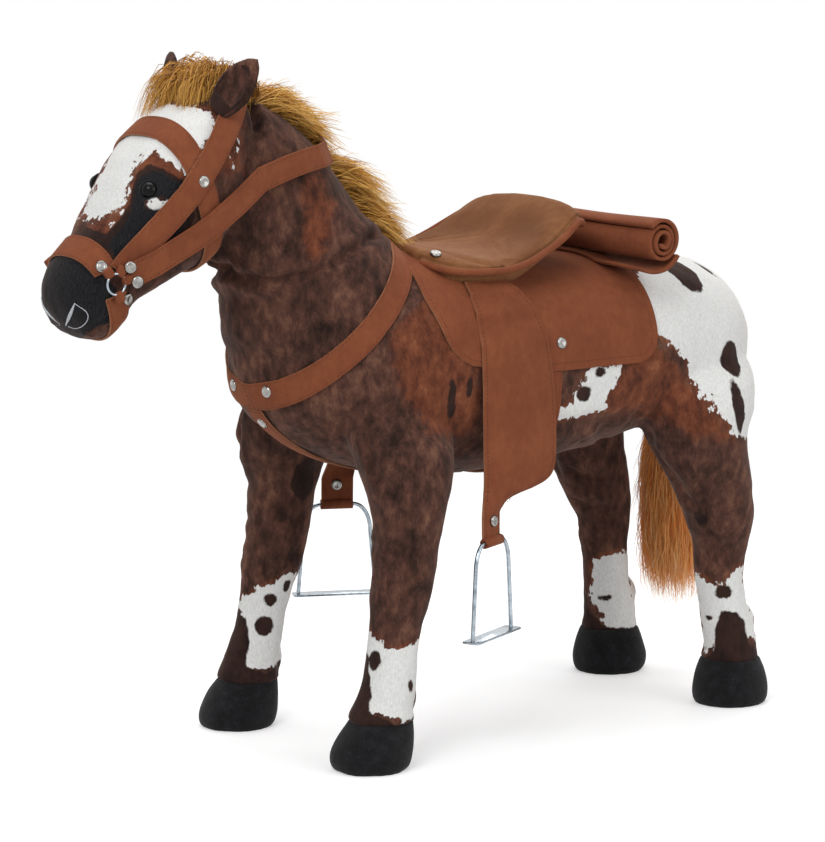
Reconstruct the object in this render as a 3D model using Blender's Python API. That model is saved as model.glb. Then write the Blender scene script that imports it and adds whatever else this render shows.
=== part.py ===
"""Plush ride on pony: stuffed body on a steel tube frame, with a fabric saddle,
hanging fenders and stirrups, and a strap bridle.

Metres, +Z up, +X towards the head, +Y the pony's left. The origin is on the floor under
the middle of the overall length. The shapes are worked out in the stance frame, whose
X = 0 lies midway between the front and the rear hooves.
"""

import math

import bmesh
import bpy
from mathutils import Matrix, Vector
from mathutils.bvhtree import BVHTree

# Running gap between pieces that touch, and one overrun for every cut
GAP = 0.0003
OVERRUN = 0.030

# Stance
FRONT_TRACK = 0.245
REAR_TRACK = 0.216

# Barrel
BARREL_LENGTH = 0.634
BARREL_REAR_SHARE = 0.49842
BARREL_REAR_X = -BARREL_LENGTH * BARREL_REAR_SHARE
WHEELBASE_SHARE = 0.78864
BARREL_WIDTH = 0.262
BARREL_DEPTH = 0.234
BARREL_LEVEL = 0.398

# Neck, from its foot inside the barrel
NECK_FOOT_X = 0.120
NECK_FOOT_Z = 0.385
NECK_REACH = 0.275
NECK_RISE = 0.305
NECK_WIDTH = 0.236

# Head, from the back of the skull and the underside of the chin
HEAD_BACK_X = 0.322
HEAD_CHIN_Z = 0.450
HEAD_LENGTH = 0.224
HEAD_HEIGHT = 0.242
HEAD_WIDTH = 0.134

# Legs and hooves
FRONT_LEG_TOP = 0.385
FRONT_LEG_LEAN = 0.054
FRONT_LEG_THICKNESS = 0.110
REAR_LEG_TOP = 0.400
REAR_LEG_LEAN = 0.050
REAR_LEG_THICKNESS = 0.140
HOOF_LENGTH = 0.084
HOOF_WIDTH = 0.079
HOOF_HEIGHT = 0.050
FRONT_HOOF_LEAN = 0.009

# Ears, eyes and hair
EAR_LENGTH = 0.068
EAR_WIDTH = 0.045
EAR_THICKNESS = 0.016
EAR_WALL = 0.004
EYE_DIAMETER = 0.018
MANE_HEIGHT = 0.050
MANE_THICKNESS = 0.026
FORELOCK_LENGTH = 0.110
FORELOCK_WIDTH = 0.060
FORELOCK_DEPTH = 0.056
DOCK_DIAMETER = 0.024
TAIL_LENGTH = 0.305
TAIL_WIDTH = 0.078
TAIL_DEPTH = 0.046
TAIL_TOP_Z = 0.398
TAIL_X = -0.311
TAIL_Y = -0.058

# Steel frame
TUBE_DIAMETER = 0.019
TUBE_WALL = 0.0015
TUBE_CLEARANCE = 0.0005
HOOP_LEVEL = 0.372
SPINE_BEND = 0.040
HOOF_SOLE = 0.012
BOARD_END = 0.012
BOARD_WIDTH = 0.140
BOARD_THICKNESS = 0.009
BOLT_DIAMETER = 0.006
BOLT_HEAD_DIAMETER = 0.014
BOLT_HEAD_HEIGHT = 0.004
BOLT_CLEARANCE = 0.0003

# Saddle
SKIRT_THICKNESS = 0.003
SKIRT_REAR_X = -0.120
SKIRT_FRONT_X = 0.056
SKIRT_BOTTOM_Z = 0.392
SKIRT_CORNER = 0.028
FLAP_FRONT_X = 0.172
FLAP_BOTTOM_Z = 0.406
FLAP_THICKNESS = 0.003
SEAT_LENGTH = 0.206
SEAT_WIDTH = 0.232
SEAT_HEIGHT = 0.066
SEAT_REAR_X = -0.060
SEAT_DROP = 0.016
SEAT_DEPTH = 0.036
ROLL_DIAMETER = 0.049
ROLL_LENGTH = 0.304
ROLL_SHEET = 0.0045
ROLL_X = -0.108
GIRTH_WIDTH = 0.038
GIRTH_X = 0.030
GIRTH_THICKNESS = 0.002

# Fenders
FENDER_THICKNESS = 0.003
FENDER_TUCK = 0.0095
FENDER_FRONT_SHARE = 0.18454
FENDER_FRONT_X = BARREL_LENGTH * FENDER_FRONT_SHARE
FENDER_WIDTH = 0.094
FENDER_BOTTOM_Z = 0.274
FENDER_STRAP_WIDTH = 0.035
FENDER_STRAP_TWIST = 25.0
FENDER_RANGE_CLEARANCE = 0.0008

# Stirrups
STIRRUP_EYE_Z = 0.223
STIRRUP_HEIGHT = 0.100
STIRRUP_SPREAD = 0.086
STIRRUP_WIRE = 0.0045
STIRRUP_SHOULDER = 0.030
STIRRUP_EYE_CLEARANCE = 0.0006
TREAD_LENGTH = 0.098
TREAD_WIDTH = 0.020
TREAD_THICKNESS = 0.0022

# Straps of the bridle and the breast collar
STRAP_WIDTH = 0.025
STRAP_THICKNESS = 0.002
RING_DIAMETER = 0.023
RING_WIRE = 0.002
RING_X = 0.508
RING_Z = 0.510
REIN_LIFT = 0.026
LUG_WIDTH = 0.007
LUG_THICKNESS = 0.0044
LUG_REACH = 0.009
RIVET_DIAMETER = 0.012
RIVET_HEIGHT = 0.0032

SIDE = Vector((0.0, 1.0, 0.0))
FORWARD = Vector((1.0, 0.0, 0.0))
UPWARD = Vector((0.0, 0.0, 1.0))

# Barrel stations: along, centre level, width, depth, and the section's power
BARREL_SHARES = (
    (0.016, -0.034, 0.43, 0.385, 2.1),
    (0.054, -0.017, 0.69, 0.615, 2.2),
    (0.128, 0.004, 0.90, 0.770, 2.3),
    (0.238, 0.017, 0.98, 0.840, 2.4),
    (0.364, -0.021, 0.99, 0.880, 2.4),
    (0.514, -0.051, 1.00, 0.940, 2.4),
    (0.640, -0.017, 1.00, 0.995, 2.4),
    (0.735, 0.009, 0.99, 0.995, 2.4),
    (0.822, 0.017, 0.93, 0.905, 2.3),
    (0.901, 0.017, 0.78, 0.725, 2.2),
    (0.956, 0.000, 0.55, 0.480, 2.1),
    (0.984, -0.013, 0.34, 0.280, 2.0),
)
BARREL_TIP_SHARES = ((0.0, -0.043), (1.0, -0.026))

# Neck stations: crest along and up, throat along and up, width
NECK_SHARES = (
    (0.000, 0.377, 0.698, 0.000, 0.95),
    (0.145, 0.485, 0.745, 0.131, 0.82),
    (0.273, 0.613, 0.778, 0.262, 0.70),
    (0.400, 0.757, 0.815, 0.387, 0.62),
    (0.538, 0.882, 0.862, 0.485, 0.56),
    (0.702, 0.977, 0.924, 0.574, 0.49),
)

# Head stations: forehead along and up, jaw along and up, width
HEAD_SHARES = (
    (0.071, 0.983, 0.098, 0.587, 0.70),
    (0.223, 0.992, 0.179, 0.405, 0.90),
    (0.402, 0.915, 0.295, 0.289, 1.05),
    (0.575, 0.785, 0.418, 0.240, 1.06),
    (0.708, 0.620, 0.530, 0.195, 0.90),
    (0.811, 0.475, 0.622, 0.150, 0.745),
    (0.849, 0.425, 0.664, 0.122, 0.705),
)
SKULL_TIP_SHARE = (0.0, 0.806)
MUZZLE_SHARES = (
    (0.849, 0.425, 0.664, 0.122, 0.705),
    (0.892, 0.387, 0.706, 0.076, 0.712),
    (0.957, 0.322, 0.781, 0.014, 0.700),
    (0.993, 0.240, 0.848, 0.000, 0.620),
    (1.000, 0.165, 0.902, 0.025, 0.470),
)
NOSE_TIP_SHARE = (0.978, 0.091)

# Leg stations: up, lean towards the hoof, out to the track, and the two half sizes
FRONT_LEG_SHARES = (
    (1.000, 1.02, 0.60, 0.36, 0.27),
    (0.909, 1.00, 0.73, 0.50, 0.38),
    (0.831, 1.00, 0.84, 0.49, 0.43),
    (0.753, 1.02, 0.91, 0.43, 0.39),
    (0.662, 1.00, 0.94, 0.345, 0.335),
    (0.558, 0.91, 0.945, 0.310, 0.310),
    (0.455, 0.78, 0.955, 0.290, 0.290),
    (0.377, 0.65, 0.965, 0.248, 0.245),
    (0.299, 0.54, 0.98, 0.240, 0.232),
    (0.221, 0.42, 1.00, 0.262, 0.245),
    (0.156, 0.24, 1.00, 0.288, 0.270),
)
REAR_LEG_SHARES = (
    (1.000, 0.90, 0.65, 0.50, 0.25),
    (0.912, 0.90, 0.79, 0.57, 0.34),
    (0.825, 0.94, 0.90, 0.50, 0.36),
    (0.745, 1.00, 0.96, 0.42, 0.34),
    (0.662, 0.80, 1.00, 0.355, 0.305),
    (0.588, 0.56, 0.99, 0.315, 0.270),
    (0.512, 0.36, 0.97, 0.280, 0.250),
    (0.445, 0.28, 0.94, 0.218, 0.207),
    (0.375, 0.28, 0.92, 0.193, 0.193),
    (0.300, 0.21, 0.92, 0.186, 0.182),
    (0.237, 0.12, 0.94, 0.196, 0.186),
    (0.180, 0.02, 0.97, 0.207, 0.200),
)
ANKLE_SHARE = 0.72
HOOF_SHARES = (
    (0.00, 0.00, 0.890),
    (0.12, 0.00, 0.975),
    (0.36, 0.12, 1.000),
    (0.70, 0.55, 0.910),
    (1.00, 1.00, 0.770),
)

# Seat stations: along, width, edge level, crown level, depth below the edge
SEAT_SHARES = (
    (0.000, 0.69, 0.50, 0.69, 0.36),
    (0.050, 0.76, 0.69, 0.95, 0.48),
    (0.112, 0.83, 0.74, 1.00, 0.56),
    (0.223, 0.89, 0.50, 0.66, 0.66),
    (0.350, 0.92, 0.27, 0.36, 0.80),
    (0.485, 0.965, 0.11, 0.19, 0.95),
    (0.631, 1.00, 0.02, 0.16, 1.00),
    (0.767, 0.98, 0.00, 0.24, 1.00),
    (0.883, 0.91, 0.00, 0.36, 1.00),
    (0.961, 0.79, 0.05, 0.40, 1.00),
    (1.000, 0.60, 0.14, 0.40, 1.00),
)

# Fender outline: down from the hinge, and the front and rear edges across the width
FENDER_EDGE_SHARES = (
    (0.00, 0.02, 0.52),
    (0.06, 0.01, 0.70),
    (0.16, 0.00, 0.83),
    (0.30, 0.00, 0.92),
    (0.50, 0.00, 0.98),
    (0.75, 0.00, 1.00),
    (0.90, 0.00, 0.98),
    (0.965, 0.00, 0.88),
    (1.00, 0.00, 0.66),
)

STIRRUP_SHOULDER_SHARE = 0.86
STRAP_TWIST_SHARE = 0.42
FENDER_RIVET_SHARE = 0.58

EAR_SHARES = (
    (0.00, 0.60, 1.00),
    (0.20, 0.86, 1.00),
    (0.45, 1.00, 0.90),
    (0.70, 0.80, 0.70),
    (0.90, 0.40, 0.45),
)
TAIL_SHARES = (
    (0.012, 0.05, 0.05),
    (0.050, 0.30, 0.34),
    (0.140, 0.58, 0.66),
    (0.320, 0.86, 0.95),
    (0.560, 1.00, 1.00),
    (0.780, 0.90, 0.90),
    (0.930, 0.56, 0.60),
)
FORELOCK_SHARES = (
    (0.06, 0.45, 0.45),
    (0.25, 0.85, 0.85),
    (0.50, 1.00, 1.00),
    (0.75, 0.85, 0.80),
    (0.94, 0.42, 0.42),
)
MANE_UPPER_SHARES = (0.745, 0.83, 0.92, 1.00)
MANE_LOWER_SHARES = (0.31, 0.38, 0.45, 0.52)

# The reins' way from ring to crest, and their lift there
REIN_LIFT_SHARES = ((0.0, 0.0), (0.08, 0.0), (0.42, 0.50), (0.61, 1.0), (0.80, 0.62), (0.97, 0.0), (1.0, 0.0))

# Ring angles, in degrees from forward to upward, at which each strap's end holds the bit ring
NOSEBAND_LUG_ANGLE = 55.0
HEADSTALL_LUG_ANGLE = 120.0
REIN_LUG_ANGLE = 165.0
CHIN_LUG_ANGLE = 252.0

WHEELBASE = BARREL_LENGTH * WHEELBASE_SHARE
FRONT_HOOF_X = WHEELBASE / 2
REAR_HOOF_X = -WHEELBASE / 2
NOSE_X = HEAD_BACK_X + HEAD_LENGTH
TAIL_REAR_X = TAIL_X - TAIL_DEPTH / 2
MIDDLE_X = (NOSE_X + TAIL_REAR_X) / 2
SEAT_LEVEL = BARREL_LEVEL + BARREL_DEPTH / 2 - SEAT_DROP
FENDER_TOP_Z = SEAT_LEVEL - FENDER_TUCK
FENDER_DROP = FENDER_TOP_Z - FENDER_BOTTOM_Z
STRAP_LAYER = STRAP_THICKNESS + GAP
FENDER_LAYERS = GAP + SKIRT_THICKNESS + GAP + FLAP_THICKNESS + GAP


def clear_scene():
    """Remove whatever the opened file holds."""
    for item in list(bpy.data.objects):
        bpy.data.objects.remove(item)


def new_collection(name):
    """Add a collection to the scene."""
    made = bpy.data.collections.new(name)
    bpy.context.scene.collection.children.link(made)
    return made


def new_material(name, red, green, blue, roughness, metallic=0.0):
    """A plain finish in the photographed colour."""
    made = bpy.data.materials.new(name)
    made.use_nodes = True
    shader = made.node_tree.nodes["Principled BSDF"]
    shader.inputs["Base Color"].default_value = (red, green, blue, 1.0)
    shader.inputs["Roughness"].default_value = roughness
    shader.inputs["Metallic"].default_value = metallic
    return made


clear_scene()
PARTS = new_collection("plush_ride_on_pony")
CUTTERS = new_collection("cutters")
STANCE = bpy.data.objects.new("stance", None)
STANCE.location = (-MIDDLE_X, 0.0, 0.0)
PARTS.objects.link(STANCE)

PLUSH = new_material("brown_plush", 0.085, 0.030, 0.016, 0.95)
BLACK_PLUSH = new_material("black_plush", 0.008, 0.007, 0.008, 0.9)
HAIR = new_material("ochre_hair", 0.360, 0.170, 0.045, 0.8)
TACK = new_material("rust_brown_suede", 0.210, 0.072, 0.027, 0.9)
STEEL = new_material("frame_steel", 0.350, 0.350, 0.360, 0.45, 1.0)
CHROME = new_material("chromed_wire", 0.750, 0.760, 0.780, 0.15, 1.0)
NICKEL = new_material("nickel_rivet", 0.620, 0.610, 0.600, 0.25, 1.0)
GLASS_BLACK = new_material("black_glass", 0.004, 0.004, 0.005, 0.08)
PLYWOOD = new_material("plywood", 0.480, 0.310, 0.170, 0.7)


def add_object(name, data, material=None, parent=None):
    """Put a mesh or curve in the part, or among the cutters where it has no material."""
    made = bpy.data.objects.new(name, data)
    if material is None:
        CUTTERS.objects.link(made)
        made.hide_render = True
        made.display_type = "WIRE"
    else:
        PARTS.objects.link(made)
        data.materials.append(material)
    holder = parent or STANCE
    made.parent = holder
    if holder is not STANCE:
        made.matrix_parent_inverse = Matrix.Translation(holder.location).inverted()
    return made


def add_pivot(name, place, parent=None):
    """An empty on a joint's axis, which carries the pieces that turn there."""
    made = bpy.data.objects.new(name, None)
    PARTS.objects.link(made)
    made.parent = parent or STANCE
    made.location = place
    if parent is not None:
        made.location = place - parent.location
    made["place"] = tuple(place)
    return made


def add_mesh(name, bm, material=None, parent=None, smooth=True):
    """Turn a bmesh into an object with its normals outward."""
    bmesh.ops.recalc_face_normals(bm, faces=bm.faces)
    data = bpy.data.meshes.new(name)
    bm.to_mesh(data)
    bm.free()
    if smooth:
        data.shade_smooth()
        data.set_sharp_from_angle(angle=math.radians(35.0))
    made = add_object(name, data, material)
    if parent is not None:
        made.parent = parent
        made.matrix_parent_inverse = Matrix.Translation(-Vector(parent["place"]))
    return made


def boolean(target, operation, *others):
    """Keep one live Boolean on the target for each of the others."""
    for other in others:
        modifier = target.modifiers.new(f"{operation.lower()}_{other.name}", "BOOLEAN")
        modifier.operation = operation
        modifier.solver = "EXACT"
        modifier.object = other
    return target


def cut(target, *others):
    """Take the others away from the target."""
    return boolean(target, "DIFFERENCE", *others)


def keep(target, *others):
    """Keep only what the target shares with each of the others."""
    return boolean(target, "INTERSECT", *others)


def join(target, *others):
    """Fuse the others into the target."""
    return boolean(target, "UNION", *others)


def interpolate(rows, steps):
    """Rows of numbers on a smooth curve through the given rows, some steps to each gap."""
    found = []
    last = len(rows) - 1
    for index in range(last):
        before = rows[max(index - 1, 0)]
        here = rows[index]
        there = rows[index + 1]
        after = rows[min(index + 2, last)]
        for step in range(steps):
            t = step / steps
            found.append(
                tuple(
                    b + 0.5 * ((c - a) * t + (2 * a - 5 * b + 4 * c - d) * t**2 + (3 * b - a - 3 * c + d) * t**3)
                    for a, b, c, d in zip(before, here, there, after)
                )
            )
    found.append(rows[last])
    return found


def section_points(section, count):
    """Points round one rounded section: centre, side, up, half width, half height, power,
    and where the lower half differs, its own half height."""
    centre, side, up, half_side, half_up, power, *lower = section
    half_down = lower[0] if lower else half_up
    found = []
    for index in range(count):
        angle = math.tau * index / count
        across = math.copysign(abs(math.cos(angle)) ** (2 / power), math.cos(angle))
        along = math.copysign(abs(math.sin(angle)) ** (2 / power), math.sin(angle))
        rise = half_up if along > 0 else half_down
        found.append(centre + side * (half_side * across) + up * (rise * along))
    return found


def loft(sections, count, first_tip=None, last_tip=None, grow=0.0):
    """A closed skin over rounded sections, pointed or flat at its ends, grown along its normals."""
    bm = bmesh.new()
    rings = [[bm.verts.new(p) for p in section_points(section, count)] for section in sections]
    for near, far in zip(rings, rings[1:]):
        for index in range(count):
            following = (index + 1) % count
            bm.faces.new((near[index], near[following], far[following], far[index]))
    for ring, tip in ((rings[0], first_tip), (rings[-1], last_tip)):
        if tip is None:
            bm.faces.new(ring)
            continue
        point = bm.verts.new(tip)
        for index in range(count):
            bm.faces.new((ring[index], ring[(index + 1) % count], point))
    bmesh.ops.recalc_face_normals(bm, faces=bm.faces)
    bmesh.ops.triangulate(bm, faces=[face for face in bm.faces if len(face.verts) == 4], quad_method="FIXED")
    if grow:
        bm.normal_update()
        moved = [(vert, vert.co + vert.normal * grow) for vert in bm.verts]
        for vert, place in moved:
            vert.co = place
    return bm


def side_section(top, bottom, half_width, power=2.0):
    """A section that stands between a point of the top line and one of the bottom line."""
    rise = top - bottom
    return ((top + bottom) / 2, SIDE, rise.normalized(), half_width, rise.length / 2, power)


def barrel_place(along, level):
    """A point of the barrel's middle plane."""
    return Vector((BARREL_REAR_X + along * BARREL_LENGTH, 0.0, BARREL_LEVEL + level * BARREL_DEPTH))


def barrel_bmesh(grow=0.0):
    """The barrel's skin, with its swell at the chest, belly and rump."""
    sections = [
        (barrel_place(x, z), SIDE, UPWARD, width * BARREL_WIDTH / 2, depth * BARREL_DEPTH / 2, power)
        for x, z, width, depth, power in interpolate(BARREL_SHARES, 1)
    ]
    rear, front = (barrel_place(*share) for share in BARREL_TIP_SHARES)
    return loft(sections, 24, rear, front, grow)


def neck_place(along, up):
    """A point of the neck's middle plane."""
    return Vector((NECK_FOOT_X + along * NECK_REACH, 0.0, NECK_FOOT_Z + up * NECK_RISE))


def neck_bmesh(grow=0.0):
    """The neck's skin, from inside the barrel to inside the skull."""
    sections = [
        side_section(neck_place(a, b), neck_place(c, d), width * NECK_WIDTH / 2)
        for a, b, c, d, width in interpolate(NECK_SHARES, 2)
    ]
    return loft(sections, 20, None, None, grow)


def head_place(along, up):
    """A point of the head's middle plane."""
    return Vector((HEAD_BACK_X + along * HEAD_LENGTH, 0.0, HEAD_CHIN_Z + up * HEAD_HEIGHT))


def head_sections(shares, steps):
    """The head's stations as sections."""
    return [
        side_section(head_place(a, b), head_place(c, d), width * HEAD_WIDTH / 2, 2.5)
        for a, b, c, d, width in interpolate(shares, steps)
    ]


def head_bmesh(grow=0.0):
    """The head's skin, flat where the muzzle joins it."""
    return loft(head_sections(HEAD_SHARES, 2), 20, head_place(*SKULL_TIP_SHARE), None, grow)


def whole_head_bmesh(grow=0.0):
    """Head and muzzle as one skin, which the bridle lies on."""
    shares = HEAD_SHARES + MUZZLE_SHARES[1:]
    tips = head_place(*SKULL_TIP_SHARE), head_place(*NOSE_TIP_SHARE)
    return loft(head_sections(shares, 2), 20, *tips, grow)


def surface_hit(bm, start, direction):
    """Where a straight line first meets a skin, and the skin's normal there."""
    tree = BVHTree.FromBMesh(bm)
    place, normal, _, _ = tree.ray_cast(start, direction)
    bm.free()
    return place, normal


def box_bmesh(matrix, length, width, height):
    """A box of a given size, placed by a matrix."""
    bm = bmesh.new()
    bmesh.ops.create_cube(bm, size=1.0)
    bmesh.ops.scale(bm, vec=(length, width, height), verts=bm.verts)
    bmesh.ops.transform(bm, matrix=matrix, verts=bm.verts)
    return bm


def turned_bmesh(matrix, profile, segments=14):
    """A turned solid: radius and height down its outer side, from the axis back to the axis."""
    bm = bmesh.new()
    points = [bm.verts.new((radius, 0.0, height)) for radius, height in profile]
    edges = [bm.edges.new(pair) for pair in zip(points, points[1:])]
    bmesh.ops.spin(
        bm,
        geom=points + edges,
        cent=(0.0, 0.0, 0.0),
        axis=UPWARD,
        angle=math.tau,
        steps=segments,
        use_merge=True,
    )
    bmesh.ops.remove_doubles(bm, verts=bm.verts, dist=GAP / 10)
    bmesh.ops.transform(bm, matrix=matrix, verts=bm.verts)
    return bm


def prism_bmesh(outline, near_y, far_y):
    """An outline in the XZ plane, extruded across from one Y to another."""
    bm = bmesh.new()
    face = bm.faces.new([bm.verts.new((x, near_y, z)) for x, z in outline])
    made = bmesh.ops.extrude_face_region(bm, geom=[face])["geom"]
    moved = [item for item in made if isinstance(item, bmesh.types.BMVert)]
    bmesh.ops.translate(bm, vec=(0.0, far_y - near_y, 0.0), verts=moved)
    return bm


def rounded_outline(corners, segments=4):
    """An outline whose corners, each given as x, z and radius, are turned into arcs."""
    found = []
    count = len(corners)
    for index, (x, z, radius) in enumerate(corners):
        here = Vector((x, z))
        back = Vector(corners[index - 1][:2]) - here
        ahead = Vector(corners[(index + 1) % count][:2]) - here
        if not radius:
            found.append(here)
            continue
        half = back.angle(ahead) / 2
        reach = radius / math.tan(half)
        centre = here + (back.normalized() + ahead.normalized()).normalized() * (radius / math.sin(half))
        start = here + back.normalized() * reach - centre
        end = here + ahead.normalized() * reach - centre
        turn = start.angle_signed(end)
        for step in range(segments + 1):
            found.append(centre + Matrix.Rotation(-turn * step / segments, 2) @ start)
    return found


def wire_mesh(name, points, radius, material=None, parent=None, sides_level=2):
    """A tube along the points, as a mesh with its end caps welded."""
    data = bpy.data.curves.new(name, "CURVE")
    data.dimensions = "3D"
    data.bevel_depth = radius
    data.bevel_resolution = sides_level
    data.use_fill_caps = True
    spline = data.splines.new("POLY")
    spline.points.add(len(points) - 1)
    for control, place in zip(spline.points, points):
        control.co = (*place, 1.0)
    curve = bpy.data.objects.new(f"{name}_curve", data)
    bpy.context.scene.collection.objects.link(curve)
    bpy.context.view_layer.update()
    evaluated = curve.evaluated_get(bpy.context.evaluated_depsgraph_get())
    bm = bmesh.new()
    bm.from_mesh(bpy.data.meshes.new_from_object(evaluated))
    bpy.data.objects.remove(curve)
    bmesh.ops.remove_doubles(bm, verts=bm.verts, dist=GAP / 10)
    return add_mesh(name, bm, material, parent)


def slab(name, centre, direction, length, width=None):
    """A cutter that crosses the pony from side to side: it runs along a direction of the
    middle plane, and keeps a strap's width."""
    along = direction.normalized()
    across = along.cross(SIDE)
    turn = Matrix((along, SIDE, across)).transposed().to_4x4()
    wide = BARREL_WIDTH * 2
    bm = box_bmesh(Matrix.Translation(centre) @ turn, length, wide, width or STRAP_WIDTH)
    return add_mesh(name, bm)


def half_space(name, side):
    """A cutter that holds everything on one side of the middle plane."""
    reach = BARREL_LENGTH * 2
    centre = Vector((0.0, side * (reach / 2 + GAP), BARREL_LEVEL))
    return add_mesh(name, box_bmesh(Matrix.Translation(centre), reach, reach, reach))


def torus_bmesh(centre, diameter, wire):
    """A ring whose hole faces the pony's side, with its outer diameter and wire given."""
    bm = bmesh.new()
    radius = (diameter - RING_WIRE) / 2
    matrix = Matrix.Translation(centre) @ Matrix.Rotation(math.pi / 2, 4, "X")
    made = bmesh.ops.create_circle(bm, segments=6, radius=wire / 2)
    stand = Matrix.Translation((radius, 0.0, 0.0)) @ Matrix.Rotation(math.pi / 2, 4, "X")
    bmesh.ops.transform(bm, matrix=stand, verts=made["verts"])
    bmesh.ops.spin(
        bm,
        geom=bm.verts[:] + bm.edges[:],
        cent=(0.0, 0.0, 0.0),
        axis=UPWARD,
        angle=math.tau,
        steps=20,
        use_merge=True,
    )
    bmesh.ops.transform(bm, matrix=matrix, verts=bm.verts)
    return bm


def barrel_copy(name, grow):
    """A cutter with the barrel's skin, grown."""
    return add_mesh(name, barrel_bmesh(grow))


def neck_copy(name, grow):
    """A cutter with the neck's skin, grown."""
    return add_mesh(name, neck_bmesh(grow))


def head_copy(name, grow):
    """A cutter with the skin of head and muzzle, grown."""
    return add_mesh(name, whole_head_bmesh(grow))


def leg_sections(shares, top, hoof_x, lean, track, thickness):
    """A leg's stations as level sections, from the body down to the hoof."""
    found = []
    for up, back, out, half_x, half_y in shares:
        centre = Vector((hoof_x - back * lean, out * track / 2, up * top))
        found.append((centre, SIDE, FORWARD, half_y * thickness, half_x * thickness, 2.0))
    bottom = found.pop()
    seat = Vector((bottom[0].x, bottom[0].y, HOOF_HEIGHT + GAP))
    ankle = found[-1][0].lerp(bottom[0], ANKLE_SHARE)
    found.append((ankle, *bottom[1:]))
    found.append((seat, *bottom[1:]))
    return found


def front_leg_sections():
    """The left front leg."""
    return leg_sections(
        FRONT_LEG_SHARES, FRONT_LEG_TOP, FRONT_HOOF_X, FRONT_LEG_LEAN, FRONT_TRACK, FRONT_LEG_THICKNESS
    )


def rear_leg_sections():
    """The left rear leg, whose hoof stands behind the thigh."""
    return leg_sections(
        REAR_LEG_SHARES, REAR_LEG_TOP, REAR_HOOF_X, -REAR_LEG_LEAN, REAR_TRACK, REAR_LEG_THICKNESS
    )


def mirrored(points, side):
    """Points moved to the side of the pony that they are wanted on."""
    return [Vector((p.x, p.y * side, p.z)) for p in points]


def mirrored_sections(sections, side):
    """Sections moved to one side."""
    return [(Vector((c.x, c.y * side, c.z)), *rest) for c, *rest in sections]


def hoop_points(sections, hoof_x, lean):
    """The bend of one hoop, from the sole of the left hoof over to the right one."""
    leg = [section[0] for section in sections if section[0].z < HOOP_LEVEL]
    leg.pop(-2)
    inner = Vector((leg[0].x, 0.0, HOOP_LEVEL))
    foot = Vector((hoof_x - lean / 2, leg[-1].y, HOOF_SOLE))
    bend = [foot]
    bend += list(reversed(leg))
    shoulder = leg[0].lerp(inner, 0.30)
    shoulder.z = HOOP_LEVEL
    bend[-1] = bend[-2].lerp(leg[0], 0.55)
    bend.append(bend[-1].lerp(shoulder, 0.5) + (leg[0] - inner) * 0.06)
    bend += [shoulder, inner]
    return bend + [Vector((p.x, -p.y, p.z)) for p in reversed(bend[:-1])]


def spine_points():
    """The spine tube's route: along both hoops, then up inside the neck into the head."""
    level = HOOP_LEVEL + TUBE_DIAMETER + GAP
    rear = rear_leg_sections()[1][0].x - TUBE_DIAMETER
    front = front_leg_sections()[1][0].x
    line = []
    for a, b, c, d, _ in NECK_SHARES[1:]:
        line.append((neck_place(a, b) + neck_place(c, d)) / 2)
    start = front + TUBE_DIAMETER * 0.9
    target = line[1]
    lean = math.atan2(target.z - level - SPINE_BEND, target.x - start - SPINE_BEND * 0.8)
    route = [Vector((rear, 0.0, level)), Vector(((rear + front) / 2, 0.0, level))]
    for share in (0.0, 0.25, 0.5, 0.75, 1.0):
        turn = lean * share
        rise = SPINE_BEND * (1 - math.cos(turn))
        route.append(Vector((start + SPINE_BEND * math.sin(turn), 0.0, level + rise)))
    route += line[1:]
    route.append(line[-1] + (line[-1] - line[-2]).normalized() * TUBE_DIAMETER * 1.5)
    return route


def stretched(points, reach):
    """The route with both of its ends run on by a reach."""
    start = points[0] + (points[0] - points[1]).normalized() * reach
    end = points[-1] + (points[-1] - points[-2]).normalized() * reach
    return [start, *points, end]


def build_tube(name, points):
    """A hollow steel tube along a route, and the cutter of its channel in the stuffing."""
    tube = wire_mesh(name, points, TUBE_DIAMETER / 2, STEEL, sides_level=1)
    bore = wire_mesh(f"{name}_bore", stretched(points, OVERRUN), TUBE_DIAMETER / 2 - TUBE_WALL, sides_level=1)
    clear = TUBE_DIAMETER / 2 + TUBE_CLEARANCE
    channel = wire_mesh(f"{name}_channel", stretched(points, TUBE_CLEARANCE), clear, sides_level=1)
    return tube, bore, channel


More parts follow.
